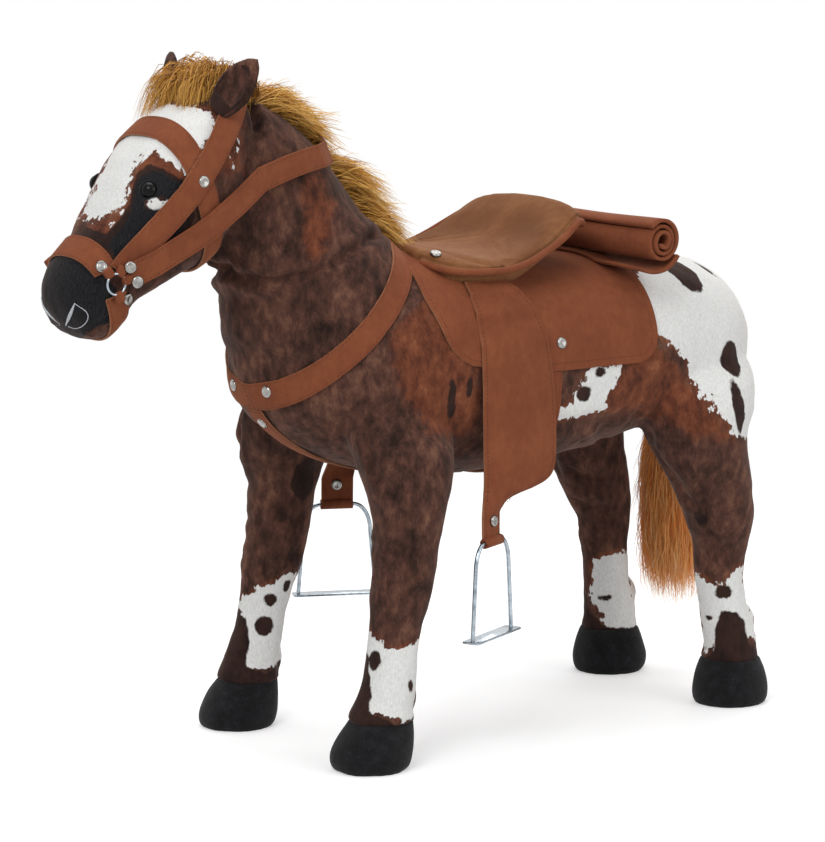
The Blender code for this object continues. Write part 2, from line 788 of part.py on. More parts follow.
def build_frame():
    """The steel hoops in the legs, the spine, the plywood seat board and its bolts."""
    front = hoop_points(front_leg_sections(), FRONT_HOOF_X, FRONT_HOOF_LEAN)
    rear = hoop_points(rear_leg_sections(), REAR_HOOF_X, 0.0)
    front_hoop, front_bore, front_channel = build_tube("front_leg_hoop", front)
    rear_hoop, rear_bore, rear_channel = build_tube("rear_leg_hoop", rear)
    spine, spine_bore, spine_channel = build_tube("spine_tube", spine_points())
    level = HOOP_LEVEL + TUBE_DIAMETER * 1.5 + GAP * 2
    ahead = front[len(front) // 2].x
    behind = rear[len(rear) // 2].x
    long = ahead - behind + BOARD_END * 2
    centre = Vector(((ahead + behind) / 2, 0.0, level + BOARD_THICKNESS / 2))
    board = add_mesh(
        "seat_board",
        box_bmesh(Matrix.Translation(centre), long, BOARD_WIDTH, BOARD_THICKNESS),
        PLYWOOD,
        smooth=False,
    )
    slot = add_mesh(
        "seat_board_slot",
        box_bmesh(
            Matrix.Translation(centre),
            long + TUBE_CLEARANCE * 2,
            BOARD_WIDTH + TUBE_CLEARANCE * 2,
            BOARD_THICKNESS + TUBE_CLEARANCE * 3,
        ),
    )
    top = level + BOARD_THICKNESS + GAP
    bottom = HOOP_LEVEL - TUBE_DIAMETER / 2 - BOLT_HEAD_HEIGHT
    spaces = []
    for name, hoop, place in (("front", front_hoop, front), ("rear", rear_hoop, rear)):
        middle = place[len(place) // 2]
        clear = BOLT_DIAMETER / 2 + BOLT_CLEARANCE
        head = BOLT_HEAD_DIAMETER / 2
        stand = Matrix.Translation((middle.x, 0.0, 0.0))
        profile = (
            (0.0, top + BOLT_HEAD_HEIGHT),
            (head * 0.6, top + BOLT_HEAD_HEIGHT),
            (head, top + BOLT_HEAD_HEIGHT / 3),
            (head, top),
            (BOLT_DIAMETER / 2, top),
            (BOLT_DIAMETER / 2, bottom),
            (0.0, bottom),
        )
        add_mesh(f"{name}_frame_bolt", turned_bmesh(stand, profile, 12), STEEL)
        hole_profile = (
            (0.0, top + OVERRUN),
            (clear, top + OVERRUN),
            (clear, bottom - OVERRUN),
            (0.0, bottom - OVERRUN),
        )
        hole = add_mesh(f"{name}_bolt_hole", turned_bmesh(stand, hole_profile, 12))
        pocket_profile = (
            (0.0, top + BOLT_HEAD_HEIGHT + GAP),
            (head + GAP, top + BOLT_HEAD_HEIGHT + GAP),
            (head + GAP, top - BOARD_THICKNESS / 2),
            (clear, top - BOARD_THICKNESS / 2),
            (clear, bottom - GAP),
            (0.0, bottom - GAP),
        )
        spaces.append(add_mesh(f"{name}_bolt_space", turned_bmesh(stand, pocket_profile, 12)))
        cut(hoop, hole)
        cut(spine, hole)
        cut(board, hole)
    for tube, bore in ((front_hoop, front_bore), (rear_hoop, rear_bore), (spine, spine_bore)):
        cut(tube, bore)
    return {
        "front": front_channel,
        "rear": rear_channel,
        "spine": spine_channel,
        "board": slot,
        "bolts": spaces,
    }


def build_body(channels):
    """Barrel, neck, head, muzzle and legs, each cut by the larger pieces and by the frame."""
    torso = add_mesh("torso", barrel_bmesh(), PLUSH)
    cut(torso, channels["front"], channels["rear"], channels["spine"], channels["board"], *channels["bolts"])
    neck = add_mesh("neck", neck_bmesh(), PLUSH)
    head_space = add_mesh("head_space", head_bmesh(GAP))
    cut(neck, barrel_copy("barrel_space", GAP), head_space, channels["spine"])
    head = add_mesh("head", head_bmesh(), PLUSH)
    cut(head, channels["spine"])
    add_mesh("muzzle", muzzle_bmesh(), BLACK_PLUSH)
    barrel_space = bpy.data.objects["barrel_space"]
    for place, sections, channel in (
        ("front", front_leg_sections(), channels["front"]),
        ("rear", rear_leg_sections(), channels["rear"]),
    ):
        for label, side in (("left", 1), ("right", -1)):
            leg = add_mesh(f"{place}_leg_{label}", loft(mirrored_sections(sections, side), 16), PLUSH)
            cut(leg, barrel_space, channel)
            build_hoof(place, label, side, sections[-1][0], channel)


def muzzle_bmesh():
    """The black muzzle, whose flat back stands against the head."""
    sections = head_sections(MUZZLE_SHARES, 2)
    back = sections[0][0]
    along = sections[0][1].cross(sections[0][2]).normalized()
    if along.x < 0:
        along = -along
    moved = [(back + along * GAP, *sections[0][1:])] + sections[1:]
    return loft(moved, 20, None, head_place(*NOSE_TIP_SHARE))


def build_hoof(place, label, side, ankle, channel):
    """A black stuffed hoof with a flat sole, open on top for the hoop's leg."""
    toe = FRONT_HOOF_X if place == "front" else REAR_HOOF_X
    sections = []
    for up, back, wide in HOOF_SHARES:
        centre = Vector((toe + (ankle.x - toe) * back, ankle.y * side, up * HOOF_HEIGHT))
        sections.append((centre, SIDE, FORWARD, wide * HOOF_WIDTH / 2, wide * HOOF_LENGTH / 2, 2.1))
    hoof = add_mesh(f"{place}_hoof_{label}", loft(sections, 16), BLACK_PLUSH)
    cut(hoof, channel)


def ear_axis(side):
    """The middle line of an ear and the direction its open side faces."""
    foot = head_place(0.262, 0.925) + SIDE * side * HEAD_WIDTH * 0.335
    lean = Vector((-0.36, 0.50 * side, 0.74)).normalized()
    facing = Vector((0.90, 0.30 * side, 0.22))
    facing = (facing - lean * facing.dot(lean)).normalized()
    return foot, lean, facing


def build_ears(spaces):
    """Two leaf shaped ears, hollowed on the side that faces out and forward."""
    for label, side in (("left", 1), ("right", -1)):
        foot, lean, facing = ear_axis(side)
        across = lean.cross(facing).normalized()
        sections = []
        for up, wide, thick in EAR_SHARES:
            centre = foot + lean * up * EAR_LENGTH
            sections.append((centre, across, facing, wide * EAR_WIDTH / 2, thick * EAR_THICKNESS / 2, 2.0))
        tip = foot + lean * EAR_LENGTH
        ear = add_mesh(f"ear_{label}", loft(interpolated_sections(sections), 16, None, tip), PLUSH)
        hollow = []
        for centre, a, b, half_a, half_b, power in sections[1:]:
            moved = centre + facing * EAR_THICKNESS * 0.42
            hollow.append((moved, a, b, max(half_a - EAR_WALL, EAR_WALL), half_b * 0.80, power))
        end = foot + lean * EAR_LENGTH * 0.84 + facing * EAR_THICKNESS * 0.5
        scoop = add_mesh(f"ear_{label}_scoop", loft(interpolated_sections(hollow[:-1]), 16, None, end))
        cut(ear, *spaces, scoop)


def interpolated_sections(sections):
    """Sections with one more between each two, on smooth curves."""
    rows = [(*c, *a, *b, half_a, half_b, power) for c, a, b, half_a, half_b, power in sections]
    found = []
    for row in interpolate(rows, 2):
        found.append((Vector(row[0:3]), Vector(row[3:6]), Vector(row[6:9]), row[9], row[10], row[11]))
    return found


def build_eyes():
    """Black glass domes set on the sides of the head."""
    for label, side in (("left", 1), ("right", -1)):
        start = head_place(0.636, 0.618) + SIDE * side * BARREL_WIDTH
        place, normal = surface_hit(whole_head_bmesh(GAP), start, SIDE * -side)
        turn = Matrix.Translation(place) @ normal.to_track_quat("Z", "Y").to_matrix().to_4x4()
        radius = EYE_DIAMETER / 2
        profile = [(0.0, radius * 0.62)]
        profile += [(radius * math.sin(a), radius * 0.62 * math.cos(a)) for a in (0.45, 0.9, 1.3)]
        profile += [(radius, 0.0), (radius * 0.9, -radius * 0.25), (0.0, -radius * 0.25)]
        eye = add_mesh(f"eye_{label}", turned_bmesh(turn, profile), GLASS_BLACK)
        cut(eye, bpy.data.objects["whole_head_space"])


def crest_point(share):
    """A point along the crest, from the withers to the poll, and the way up from it."""
    rows = []
    for a, b, c, d, _ in NECK_SHARES:
        crest = neck_place(a, b)
        rows.append((*crest, *(crest - neck_place(c, d)).normalized()))
    fine = interpolate(rows, 8)
    row = fine[min(round(share * (len(fine) - 1)), len(fine) - 1)]
    return Vector(row[:3]), Vector(row[3:])


def build_mane(name, shares, spaces):
    """A lock of the mane along part of the crest."""
    sections = []
    rows = [crest_point(share) for share in shares]
    for index, (place, up) in enumerate(rows):
        full = 0.72 if index in (0, len(rows) - 1) else 1.0
        centre = place + up * MANE_HEIGHT * 0.22
        sections.append((centre, SIDE, up, MANE_THICKNESS / 2 * full, MANE_HEIGHT / 2 * full, 2.0))
    first = rows[0][0] + (rows[0][0] - rows[1][0]).normalized() * MANE_THICKNESS / 3 + rows[0][1] * MANE_HEIGHT * 0.3
    last = rows[-1][0] + (rows[-1][0] - rows[-2][0]).normalized() * MANE_THICKNESS
    last += rows[-1][1] * MANE_HEIGHT * 0.3
    mane = add_mesh(name, loft(interpolated_sections(sections), 12, first, last), HAIR)
    cut(mane, *spaces)
    return mane


def build_forelock(spaces):
    """The tuft that falls forward between the ears."""
    start = head_place(0.10, 1.04)
    end = head_place(0.60, 0.86)
    along = (end - start).normalized()
    up = along.cross(SIDE).normalized()
    if up.z < 0:
        up = -up
    sections = []
    for share, wide, deep in FORELOCK_SHARES:
        centre = start + along * share * FORELOCK_LENGTH
        centre += SIDE * -FORELOCK_WIDTH * 0.06
        sections.append((centre, SIDE, up, wide * FORELOCK_WIDTH / 2, deep * FORELOCK_DEPTH / 2, 2.0))
    tips = start + SIDE * -FORELOCK_WIDTH * 0.06, start + along * FORELOCK_LENGTH + SIDE * -FORELOCK_WIDTH * 0.06
    forelock = add_mesh("forelock", loft(interpolated_sections(sections), 14, *tips), HAIR)
    cut(forelock, *spaces)


def build_tail(barrel_space):
    """The sewn dock and the hair that swings from it."""
    hinge = Vector((TAIL_X, TAIL_Y, TAIL_TOP_Z))
    pivot = add_pivot("tail_hinge", hinge)
    sections = []
    for down, half_x, half_y in TAIL_SHARES:
        centre = hinge - UPWARD * down * TAIL_LENGTH
        sections.append((centre, SIDE, FORWARD, half_y * TAIL_WIDTH / 2, half_x * TAIL_DEPTH / 2, 2.0))
    tip = hinge - UPWARD * TAIL_LENGTH
    hair = add_mesh("tail_hair", loft(interpolated_sections(sections), 16, hinge, tip), HAIR, pivot)
    cut(hair, barrel_space)
    root = barrel_place(0.035, 0.20)
    radius = DOCK_DIAMETER / 2
    route = (
        root,
        root.lerp(hinge, 0.35) + Vector((-radius, 0.0, radius)),
        root.lerp(hinge, 0.72) + Vector((-radius / 2, 0.0, radius)),
        hinge + UPWARD * radius,
        hinge + UPWARD * GAP,
    )
    dock = wire_mesh("tail_dock", [Vector(r) for r in interpolate([tuple(p) for p in route], 2)], radius * 0.8, HAIR)
    cut(dock, barrel_space)


def side_prism(name, corners, near_y, far_y):
    """A cutter with an outline seen from the side, between two distances from the middle."""
    return add_mesh(name, prism_bmesh(rounded_outline(corners), near_y, far_y), smooth=False)


def collar_line():
    """The breast collar's line, from the withers to the chest."""
    return neck_place(0.127, 0.466), barrel_place(0.979, -0.060)


def collar_slab(name, width):
    """A cutter along the breast collar's line."""
    start, end = collar_line()
    return slab(name, (start + end) / 2, end - start, (end - start).length * 1.5, width)


def build_saddle(neck_space):
    """Skirt, front flaps, seat, rolled blanket and girth, laid on the barrel in turn."""
    high = BARREL_LEVEL + BARREL_DEPTH
    wide = BARREL_WIDTH
    skin = barrel_copy("skirt_room", GAP)
    skirt = add_mesh("skirt", barrel_bmesh(GAP + SKIRT_THICKNESS), TACK)
    corners = (
        (SKIRT_REAR_X, high, 0.0),
        (SKIRT_REAR_X, SKIRT_BOTTOM_Z, SKIRT_CORNER),
        (SKIRT_FRONT_X, SKIRT_BOTTOM_Z, SKIRT_CORNER / 2),
        (SKIRT_FRONT_X, high, 0.0),
    )
    keep(skirt, side_prism("skirt_outline", corners, -wide, wide))
    cut(skirt, skin)
    collar_room = collar_slab("collar_room", STRAP_WIDTH + GAP * 4)
    reach = FLAP_FRONT_X - SKIRT_FRONT_X
    corners = (
        (SKIRT_FRONT_X + GAP, high, 0.0),
        (SKIRT_FRONT_X + GAP, FLAP_BOTTOM_Z, SKIRT_CORNER / 2),
        (FLAP_FRONT_X - reach * 0.22, FLAP_BOTTOM_Z - reach * 0.03, reach * 0.45),
        (FLAP_FRONT_X - reach * 0.01, FLAP_BOTTOM_Z + reach * 0.60, reach * 0.30),
        (FLAP_FRONT_X - reach * 0.22, high, 0.0),
    )
    for label, side in (("left", 1), ("right", -1)):
        flap = add_mesh(f"front_flap_{label}", barrel_bmesh(GAP + FLAP_THICKNESS), TACK)
        inner = side * SEAT_WIDTH * 0.12
        keep(flap, side_prism(f"flap_outline_{label}", corners, inner, side * wide))
        cut(flap, skin, neck_space, collar_room)
    build_seat(neck_space)
    build_roll()
    girth = add_mesh("girth_strap", barrel_bmesh(GAP + GIRTH_THICKNESS), TACK)
    band = box_bmesh(Matrix.Translation((GIRTH_X, 0.0, SKIRT_BOTTOM_Z - GAP - wide / 2)), GIRTH_WIDTH, wide * 2, wide)
    keep(girth, add_mesh("girth_outline", band))
    cut(girth, skin)


def seat_bmesh(grow=0.0):
    """The padded seat: low in the middle, with a raised cantle behind and a rim that overhangs."""
    sections = []
    for along, width, edge, crown, depth in SEAT_SHARES:
        centre = Vector((SEAT_REAR_X + along * SEAT_LENGTH, 0.0, SEAT_LEVEL + edge * SEAT_HEIGHT))
        rise = max((crown - edge) * SEAT_HEIGHT, SEAT_DEPTH * 0.15)
        sections.append((centre, SIDE, UPWARD, width * SEAT_WIDTH / 2, rise, 2.6, depth * SEAT_DEPTH))
    return loft(sections, 22, None, None, grow)


def build_seat(neck_space):
    """The seat, hollowed by the skirt's and the neck's layers, and notched over each fender's hinge."""
    seat = add_mesh("seat_pad", seat_bmesh(), TACK)
    cut(seat, barrel_copy("seat_room", GAP + FLAP_THICKNESS + GAP))
    cut(seat, neck_copy("seat_neck_room", GAP + STRAP_LAYER + GAP))
    for label, side in (("left", 1), ("right", -1)):
        near = fender_top_y() - FENDER_THICKNESS * 1.2
        top = FENDER_TOP_Z + FENDER_THICKNESS / 2 + FENDER_RANGE_CLEARANCE
        deep = SEAT_DEPTH
        centre = Vector((FENDER_FRONT_X - FENDER_WIDTH / 2, side * (near + SEAT_WIDTH / 2), top - deep / 2))
        notch = box_bmesh(Matrix.Translation(centre), FENDER_WIDTH + FENDER_THICKNESS * 2, SEAT_WIDTH, deep)
        cut(seat, add_mesh(f"seat_notch_{label}", notch))


def build_roll():
    """The rolled blanket behind the cantle: one sheet wound in a spiral."""
    skin = barrel_bmesh(GAP + SKIRT_THICKNESS + GAP)
    start = Vector((ROLL_X, 0.0, BARREL_LEVEL + BARREL_DEPTH))
    place, _ = surface_hit(skin, start, -UPWARD)
    pitch = ROLL_SHEET + GAP * 2
    centre = Vector((ROLL_X, place.z + ROLL_DIAMETER / 2 - pitch * 0.62))
    turns = 0.85 * (ROLL_DIAMETER / 2 - ROLL_SHEET) / pitch
    steps = round(turns * 14)
    outer = []
    inner = []
    for index in range(steps + 1):
        share = index / steps
        angle = math.pi * 0.25 + share * turns * math.tau
        radius = ROLL_DIAMETER / 2 - share * turns * pitch
        ray = Vector((math.cos(angle), math.sin(angle)))
        outer.append(centre + ray * radius)
        inner.append(centre + ray * (radius - ROLL_SHEET))
    outline = outer + list(reversed(inner))
    add_mesh("bedroll", prism_bmesh(outline, -ROLL_LENGTH / 2, ROLL_LENGTH / 2), TACK)


def fender_line():
    """Places down the middle of a fender's thickness, as distance out and height, hanging
    clear of the skirt and flap and straight down below the barrel's widest level."""
    skin = barrel_bmesh(FENDER_LAYERS)
    tree = BVHTree.FromBMesh(skin)
    skin.free()
    found = []
    out = 0.0
    for down, _, _ in FENDER_EDGE_SHARES:
        level = FENDER_TOP_Z - down * FENDER_DROP
        for along in (0.0, 0.5, 1.0):
            start = Vector((FENDER_FRONT_X - along * FENDER_WIDTH, BARREL_WIDTH, level))
            place, _, _, _ = tree.ray_cast(start, -SIDE)
            if place is not None:
                out = max(out, place.y + FENDER_THICKNESS * 0.62)
        found.append((out, level))
    return found


def fender_top_y():
    """How far out the fender's hinge lies."""
    return fender_line()[0][0]


def sheet_ring(bm, centre, along, normal, width, thickness):
    """Four corners of a flat strap's section."""
    half = along * width / 2
    out = normal * thickness / 2
    return [bm.verts.new(centre + a + b) for a, b in ((half, out), (half, -out), (-half, -out), (-half, out))]


def strap_axis(side):
    """The direction across the fender's lower strap, whose front edge is turned outward."""
    turn = math.radians(FENDER_STRAP_TWIST)
    return Vector((math.cos(turn), side * math.sin(turn), 0.0))


def strap_centre(side):
    """The middle of the fender's lower strap, at the eye."""
    out = fender_line()[-1][0]
    inset = FENDER_STRAP_WIDTH / 2 * math.cos(math.radians(FENDER_STRAP_TWIST))
    return Vector((FENDER_FRONT_X - inset + FENDER_THICKNESS * 2, side * out, STIRRUP_EYE_Z))


def strap_station(side, share):
    """A section of the fender's lower strap: its middle, and the ways along and out of it."""
    eye = strap_centre(side)
    done = min(share / STRAP_TWIST_SHARE, 1.0)
    turn = math.radians(FENDER_STRAP_TWIST) * done
    along = Vector((math.cos(turn), side * math.sin(turn), 0.0))
    across = Vector((-math.sin(turn), side * math.cos(turn), 0.0))
    _, front, rear = FENDER_EDGE_SHARES[-1]
    panel_end = FENDER_FRONT_X - (front + rear) / 2 * FENDER_WIDTH
    middle = panel_end + (eye.x - panel_end) * done
    level = FENDER_BOTTOM_Z - share * (FENDER_BOTTOM_Z - STIRRUP_EYE_Z)
    return Vector((middle, eye.y, level)), along, across


def fender_bmesh(side):
    """A fender: a stiff panel that narrows into a strap, which twists towards the stirrup."""
    bm = bmesh.new()
    line = fender_line()
    rings = []
    for index, ((out, level), (_, front, rear)) in enumerate(zip(line, FENDER_EDGE_SHARES)):
        before = line[max(index - 1, 0)]
        after = line[min(index + 1, len(line) - 1)]
        slope = Vector((0.0, after[0] - before[0], after[1] - before[1])).normalized()
        normal = Vector((0.0, -slope.z, slope.y))
        middle = FENDER_FRONT_X - (front + rear) / 2 * FENDER_WIDTH
        centre = Vector((middle, side * out, level))
        normal.y *= side
        width = (rear - front) * FENDER_WIDTH
        rings.append(sheet_ring(bm, centre, FORWARD, normal, width, FENDER_THICKNESS))
    drop = FENDER_BOTTOM_Z - STIRRUP_EYE_Z
    bore = STIRRUP_WIRE / 2 + STIRRUP_EYE_CLEARANCE
    for share in (0.25, STRAP_TWIST_SHARE, 1 - (bore + FENDER_THICKNESS * 0.35) / drop):
        centre, along, across = strap_station(side, share)
        rings.append(sheet_ring(bm, centre, along, across, FENDER_STRAP_WIDTH, FENDER_THICKNESS))
    for near, far in zip(rings, rings[1:]):
        for index in range(4):
            following = (index + 1) % 4
            bm.faces.new((near[index], near[following], far[following], far[index]))
    bm.faces.new(rings[0])
    bm.faces.new(rings[-1])
    return bm


def rod_bmesh(centre, axis, radius, length, segments=16):
    """A round bar along an axis."""
    bm = bmesh.new()
    turn = Matrix.Translation(centre) @ axis.to_track_quat("Z", "Y").to_matrix().to_4x4()
    bmesh.ops.create_cone(
        bm, cap_ends=True, segments=segments, radius1=radius, radius2=radius, depth=length, matrix=turn
    )
    return bm


def build_fenders():
    """Each fender hangs from a hinge under the seat's rim and carries a stirrup."""
    for label, side in (("left", 1), ("right", -1)):
        hinge = Vector((FENDER_FRONT_X - FENDER_WIDTH / 2, side * fender_top_y(), FENDER_TOP_Z))
        pivot = add_pivot(f"fender_{label}_hinge", hinge)
        fender = add_mesh(f"fender_{label}", fender_bmesh(side), TACK, pivot)
        eye = strap_centre(side)
        axis = strap_axis(side)
        bore = STIRRUP_WIRE / 2 + STIRRUP_EYE_CLEARANCE
        fold = rod_bmesh(eye, axis, bore + FENDER_THICKNESS * 0.8, FENDER_STRAP_WIDTH + GAP * 2)
        hole = rod_bmesh(eye, axis, bore, FENDER_STRAP_WIDTH + OVERRUN)
        join(fender, add_mesh(f"fender_{label}_fold", fold))
        cut(fender, add_mesh(f"fender_{label}_hole", hole))
        place, _, across = strap_station(side, FENDER_RIVET_SHARE)
        place += across * (FENDER_THICKNESS / 2 + GAP)
        add_rivet(f"fender_rivet_{label}", place, across, pivot)
        build_stirrup(label, eye, axis, hinge, pivot)


def build_stirrup(label, eye, axis, hinge, holder):
    """A bent wire bow through the strap's fold, standing on a flat tread plate."""
    pivot = add_pivot(f"stirrup_{label}_eye", eye, None)
    pivot.parent = holder
    pivot.location = eye - hinge
    straight = FENDER_STRAP_WIDTH / 2 + STIRRUP_EYE_CLEARANCE
    outer = STIRRUP_SPREAD / 2
    wide = outer * STIRRUP_SHOULDER_SHARE - straight
    tread_top = STIRRUP_EYE_Z - STIRRUP_HEIGHT + TREAD_THICKNESS
    bottom = tread_top + GAP
    half = [Vector((outer, bottom))]
    for step in range(7):
        angle = math.pi / 2 * step / 6
        drop = STIRRUP_SHOULDER * (1 - math.sin(angle))
        half.append(Vector((straight + wide * math.cos(angle), STIRRUP_EYE_Z - drop)))
    flat = half + [Vector((-p.x, p.y)) for p in reversed(half)]
    points = [Vector((eye.x, eye.y, 0.0)) + axis * p.x + UPWARD * p.y for p in flat]
    wire_mesh(f"stirrup_bow_{label}", points, STIRRUP_WIRE / 2, CHROME, pivot)
    across = axis.cross(UPWARD)
    turn = Matrix((axis, across, UPWARD)).transposed().to_4x4()
    centre = Vector((eye.x, eye.y, tread_top - TREAD_THICKNESS / 2))
    tread = box_bmesh(Matrix.Translation(centre) @ turn, TREAD_LENGTH, TREAD_WIDTH, TREAD_THICKNESS)
    upright = [e for e in tread.edges if abs((e.verts[0].co - e.verts[1].co).normalized().z) > 0.9]
    bmesh.ops.bevel(
        tread, geom=upright, offset=TREAD_WIDTH / 6, segments=3, profile=0.5, affect="EDGES", material=-1
    )
    add_mesh(f"stirrup_tread_{label}", tread, CHROME, pivot)


def add_rivet(name, place, normal, parent=None):
    """A domed rivet head that lies on a strap."""
    turn = Matrix.Translation(place) @ normal.to_track_quat("Z", "Y").to_matrix().to_4x4()
    radius = RIVET_DIAMETER / 2
    profile = [(0.0, RIVET_HEIGHT), (radius * 0.62, RIVET_HEIGHT * 0.80)]
    profile += [(radius, RIVET_HEIGHT * 0.2), (radius, 0.0), (0.0, 0.0)]
    return add_mesh(name, turned_bmesh(turn, profile, 10), NICKEL, parent)


def rivet_on(name, skin, target, direction):
    """A rivet where a straight line meets a skin near a target point."""
    place, normal = surface_hit(skin, target - direction * BARREL_WIDTH, direction)
    return add_rivet(name, place + normal * GAP * 2, normal)


def build_collar():
    """The breast collar: two side straps to the chest, and one back between the legs."""
    outer = GAP + STRAP_THICKNESS
    skin = bpy.data.objects["skirt_room"]
    neck_skin = bpy.data.objects["neck_space"]
    line = collar_slab("collar_slab", STRAP_WIDTH)
    seat_space = add_mesh("seat_space", seat_bmesh(GAP))
    for label, side in (("left", 1), ("right", -1)):
        strap = add_mesh(f"breast_strap_{label}", barrel_bmesh(outer), TACK)
        join(strap, neck_copy(f"collar_neck_{label}", outer))
        keep(strap, line, half_space(f"{label}_half", side))
        cut(strap, skin, neck_skin, seat_space)
    strap = add_mesh("breast_strap_centre", barrel_bmesh(outer), TACK)
    back = GIRTH_X + GIRTH_WIDTH / 2 + GAP
    long = BARREL_LENGTH
    low = BARREL_LEVEL - BARREL_DEPTH / 2
    centre = Vector((back + long / 2, 0.0, low - BARREL_DEPTH * 0.05))
    keep(strap, add_mesh("centre_outline", box_bmesh(Matrix.Translation(centre), long, STRAP_WIDTH, BARREL_DEPTH)))
    cut(strap, skin, collar_slab("centre_room", STRAP_WIDTH + GAP * 4))
    ray = Vector((-0.83, 0.0, 0.55))
    rivet_on("breast_rivet_bottom", barrel_bmesh(outer), barrel_place(0.945, -0.175), ray)
    for label, side in (("left", 1), ("right", -1)):
        _, end = collar_line()
        target = end + SIDE * side * STRAP_WIDTH * 1.2
        rivet_on(f"breast_rivet_{label}", barrel_bmesh(outer), target, -FORWARD)


def ring_centre():
    """The left bit ring, outside every strap that lies on the muzzle."""
    start = Vector((RING_X, BARREL_WIDTH, RING_Z))
    place, _ = surface_hit(whole_head_bmesh(), start, -SIDE)
    return Vector((RING_X, place.y + STRAP_LAYER * 3 + GAP + LUG_THICKNESS / 2, RING_Z))


def lug(name, angle, side, inner_y, reach):
    """The narrowed strap end that folds round the bit ring."""
    centre = ring_centre()
    turn = math.radians(angle)
    ray = Vector((math.cos(turn), 0.0, math.sin(turn)))
    radius = (RING_DIAMETER - RING_WIRE) / 2
    outer_y = centre.y + LUG_THICKNESS / 2
    deep = outer_y - inner_y
    middle = centre + ray * (radius - RING_WIRE + reach / 2)
    middle.y = side * (inner_y + deep / 2)
    frame = Matrix((ray, SIDE, ray.cross(SIDE))).transposed().to_4x4()
    return add_mesh(name, box_bmesh(Matrix.Translation(middle) @ frame, reach, deep, LUG_WIDTH))


def lugs(strap, angle, inner_y, reach):
    """Both of a strap's ends at the bit rings."""
    sides = (("left", 1), ("right", -1))
    return [lug(f"{strap}_lug_{label}", angle, side, inner_y, reach) for label, side in sides]


def ring_channels(strap):
    """Cutters with the room of both bit rings."""
    centre = ring_centre()
    found = []
    for label, side in (("left", 1), ("right", -1)):
        place = Vector((centre.x, side * centre.y, centre.z))
        room = torus_bmesh(place, RING_DIAMETER, RING_WIRE + GAP * 3)
        found.append(add_mesh(f"{strap}_ring_room_{label}", room))
    return found


def head_strap(name, layer, region, angle=None):
    """A strap round the head: the skin between two layers, kept inside a region, with its
    ends led to the bit rings where an angle is given."""
    inner = GAP + STRAP_LAYER * layer
    strap = add_mesh(name, whole_head_bmesh(inner + STRAP_THICKNESS), TACK)
    keep(strap, region)
    if angle is not None:
        join(strap, *lugs(name, angle, ring_centre().y * 0.7, LUG_REACH))
    cut(strap, head_copy(f"{name}_head_space", inner))
    if angle is not None:
        cut(strap, *ring_channels(name))
    return strap


def strap_room(name, layer, region):
    """The room of a strap round the head, for what lies over it."""
    outer = (GAP + STRAP_THICKNESS) * (layer + 1) + GAP
    return keep(add_mesh(name, whole_head_bmesh(outer)), region)


def bridle_lines():
    """The straight lines that the bridle's straps follow, seen from the side."""
    ring = Vector((RING_X, 0.0, RING_Z))
    return {
        "ring": ring,
        "nose": head_place(0.920, 0.430),
        "chin": head_place(0.745, 0.000),
        "poll": head_place(0.130, 0.985),
        "brow": head_place(0.490, 0.850),
        "throat": head_place(0.310, 0.290),
    }


def line_region(name, start, end, before, after, width):
    """A slab along a line, run on before its start and after its end."""
    along = (end - start).normalized()
    centre = (start - along * before + end + along * after) / 2
    return slab(name, centre, along, (end - start).length + before + after, width)


def build_bridle():
    """Noseband, chin strap, headstall, brow and throat strap, bit rings and reins."""
    places = bridle_lines()
    ring = places["ring"]
    clear = -RING_DIAMETER / 2
    long = HEAD_HEIGHT
    nose_line = line_region("nose_line", ring, places["nose"], clear, long, STRAP_WIDTH)
    head_strap("noseband", 0, nose_line, NOSEBAND_LUG_ANGLE)
    chin_line = line_region("chin_line", ring, places["chin"], clear, long, STRAP_WIDTH)
    head_strap("chin_strap", 0, chin_line, CHIN_LUG_ANGLE)
    cheek_line = line_region("cheek_line", ring, places["poll"], clear, long, STRAP_WIDTH)
    head_strap("headstall", 1, cheek_line, HEADSTALL_LUG_ANGLE)
    brow_line = line_region("brow_line", places["brow"], places["throat"], long, long, STRAP_WIDTH)
    head_strap("brow_strap", 0, brow_line)
    wide = STRAP_WIDTH + GAP * 4
    rooms = [
        strap_room("headstall_room", 1, line_region("cheek_room", ring, places["poll"], clear, long, wide)),
        strap_room("brow_room", 0, line_region("brow_room_line", places["brow"], places["throat"], long, long, wide)),
    ]
    for label, side in (("left", 1), ("right", -1)):
        centre = ring_centre()
        centre.y *= side
        pivot = add_pivot(f"bit_ring_{label}_centre", centre)
        add_mesh(f"bit_ring_{label}", torus_bmesh(centre, RING_DIAMETER, RING_WIRE), CHROME, pivot)
        target = places["brow"].lerp(places["throat"], 0.36)
        rivet_on(
            f"cheek_rivet_{label}", whole_head_bmesh(STRAP_LAYER * 2 + GAP), target, SIDE * -side
        )
    rooms.append(build_reins())
    return rooms


def hull_outline(points):
    """The convex outline round flat points, anticlockwise."""
    ordered = sorted(set(points))
    halves = []
    for run in (ordered, list(reversed(ordered))):
        chain = []
        for x, y in run:
            while len(chain) > 1:
                (ax, ay), (bx, by) = chain[-2:]
                if (bx - ax) * (y - ay) - (by - ay) * (x - ax) > 0:
                    break
                chain.pop()
            chain.append((x, y))
        halves.append(chain[:-1])
    return halves[0] + halves[1]


def evenly_spaced(points, most):
    """The points after the first, with more between any two that are far apart."""
    found = []
    for near, far in zip(points, points[1:]):
        count = math.ceil(math.dist(near, far) / most)
        for step in range(1, count + 1):
            found.append(tuple(a + (b - a) * step / count for a, b in zip(near, far)))
    return found


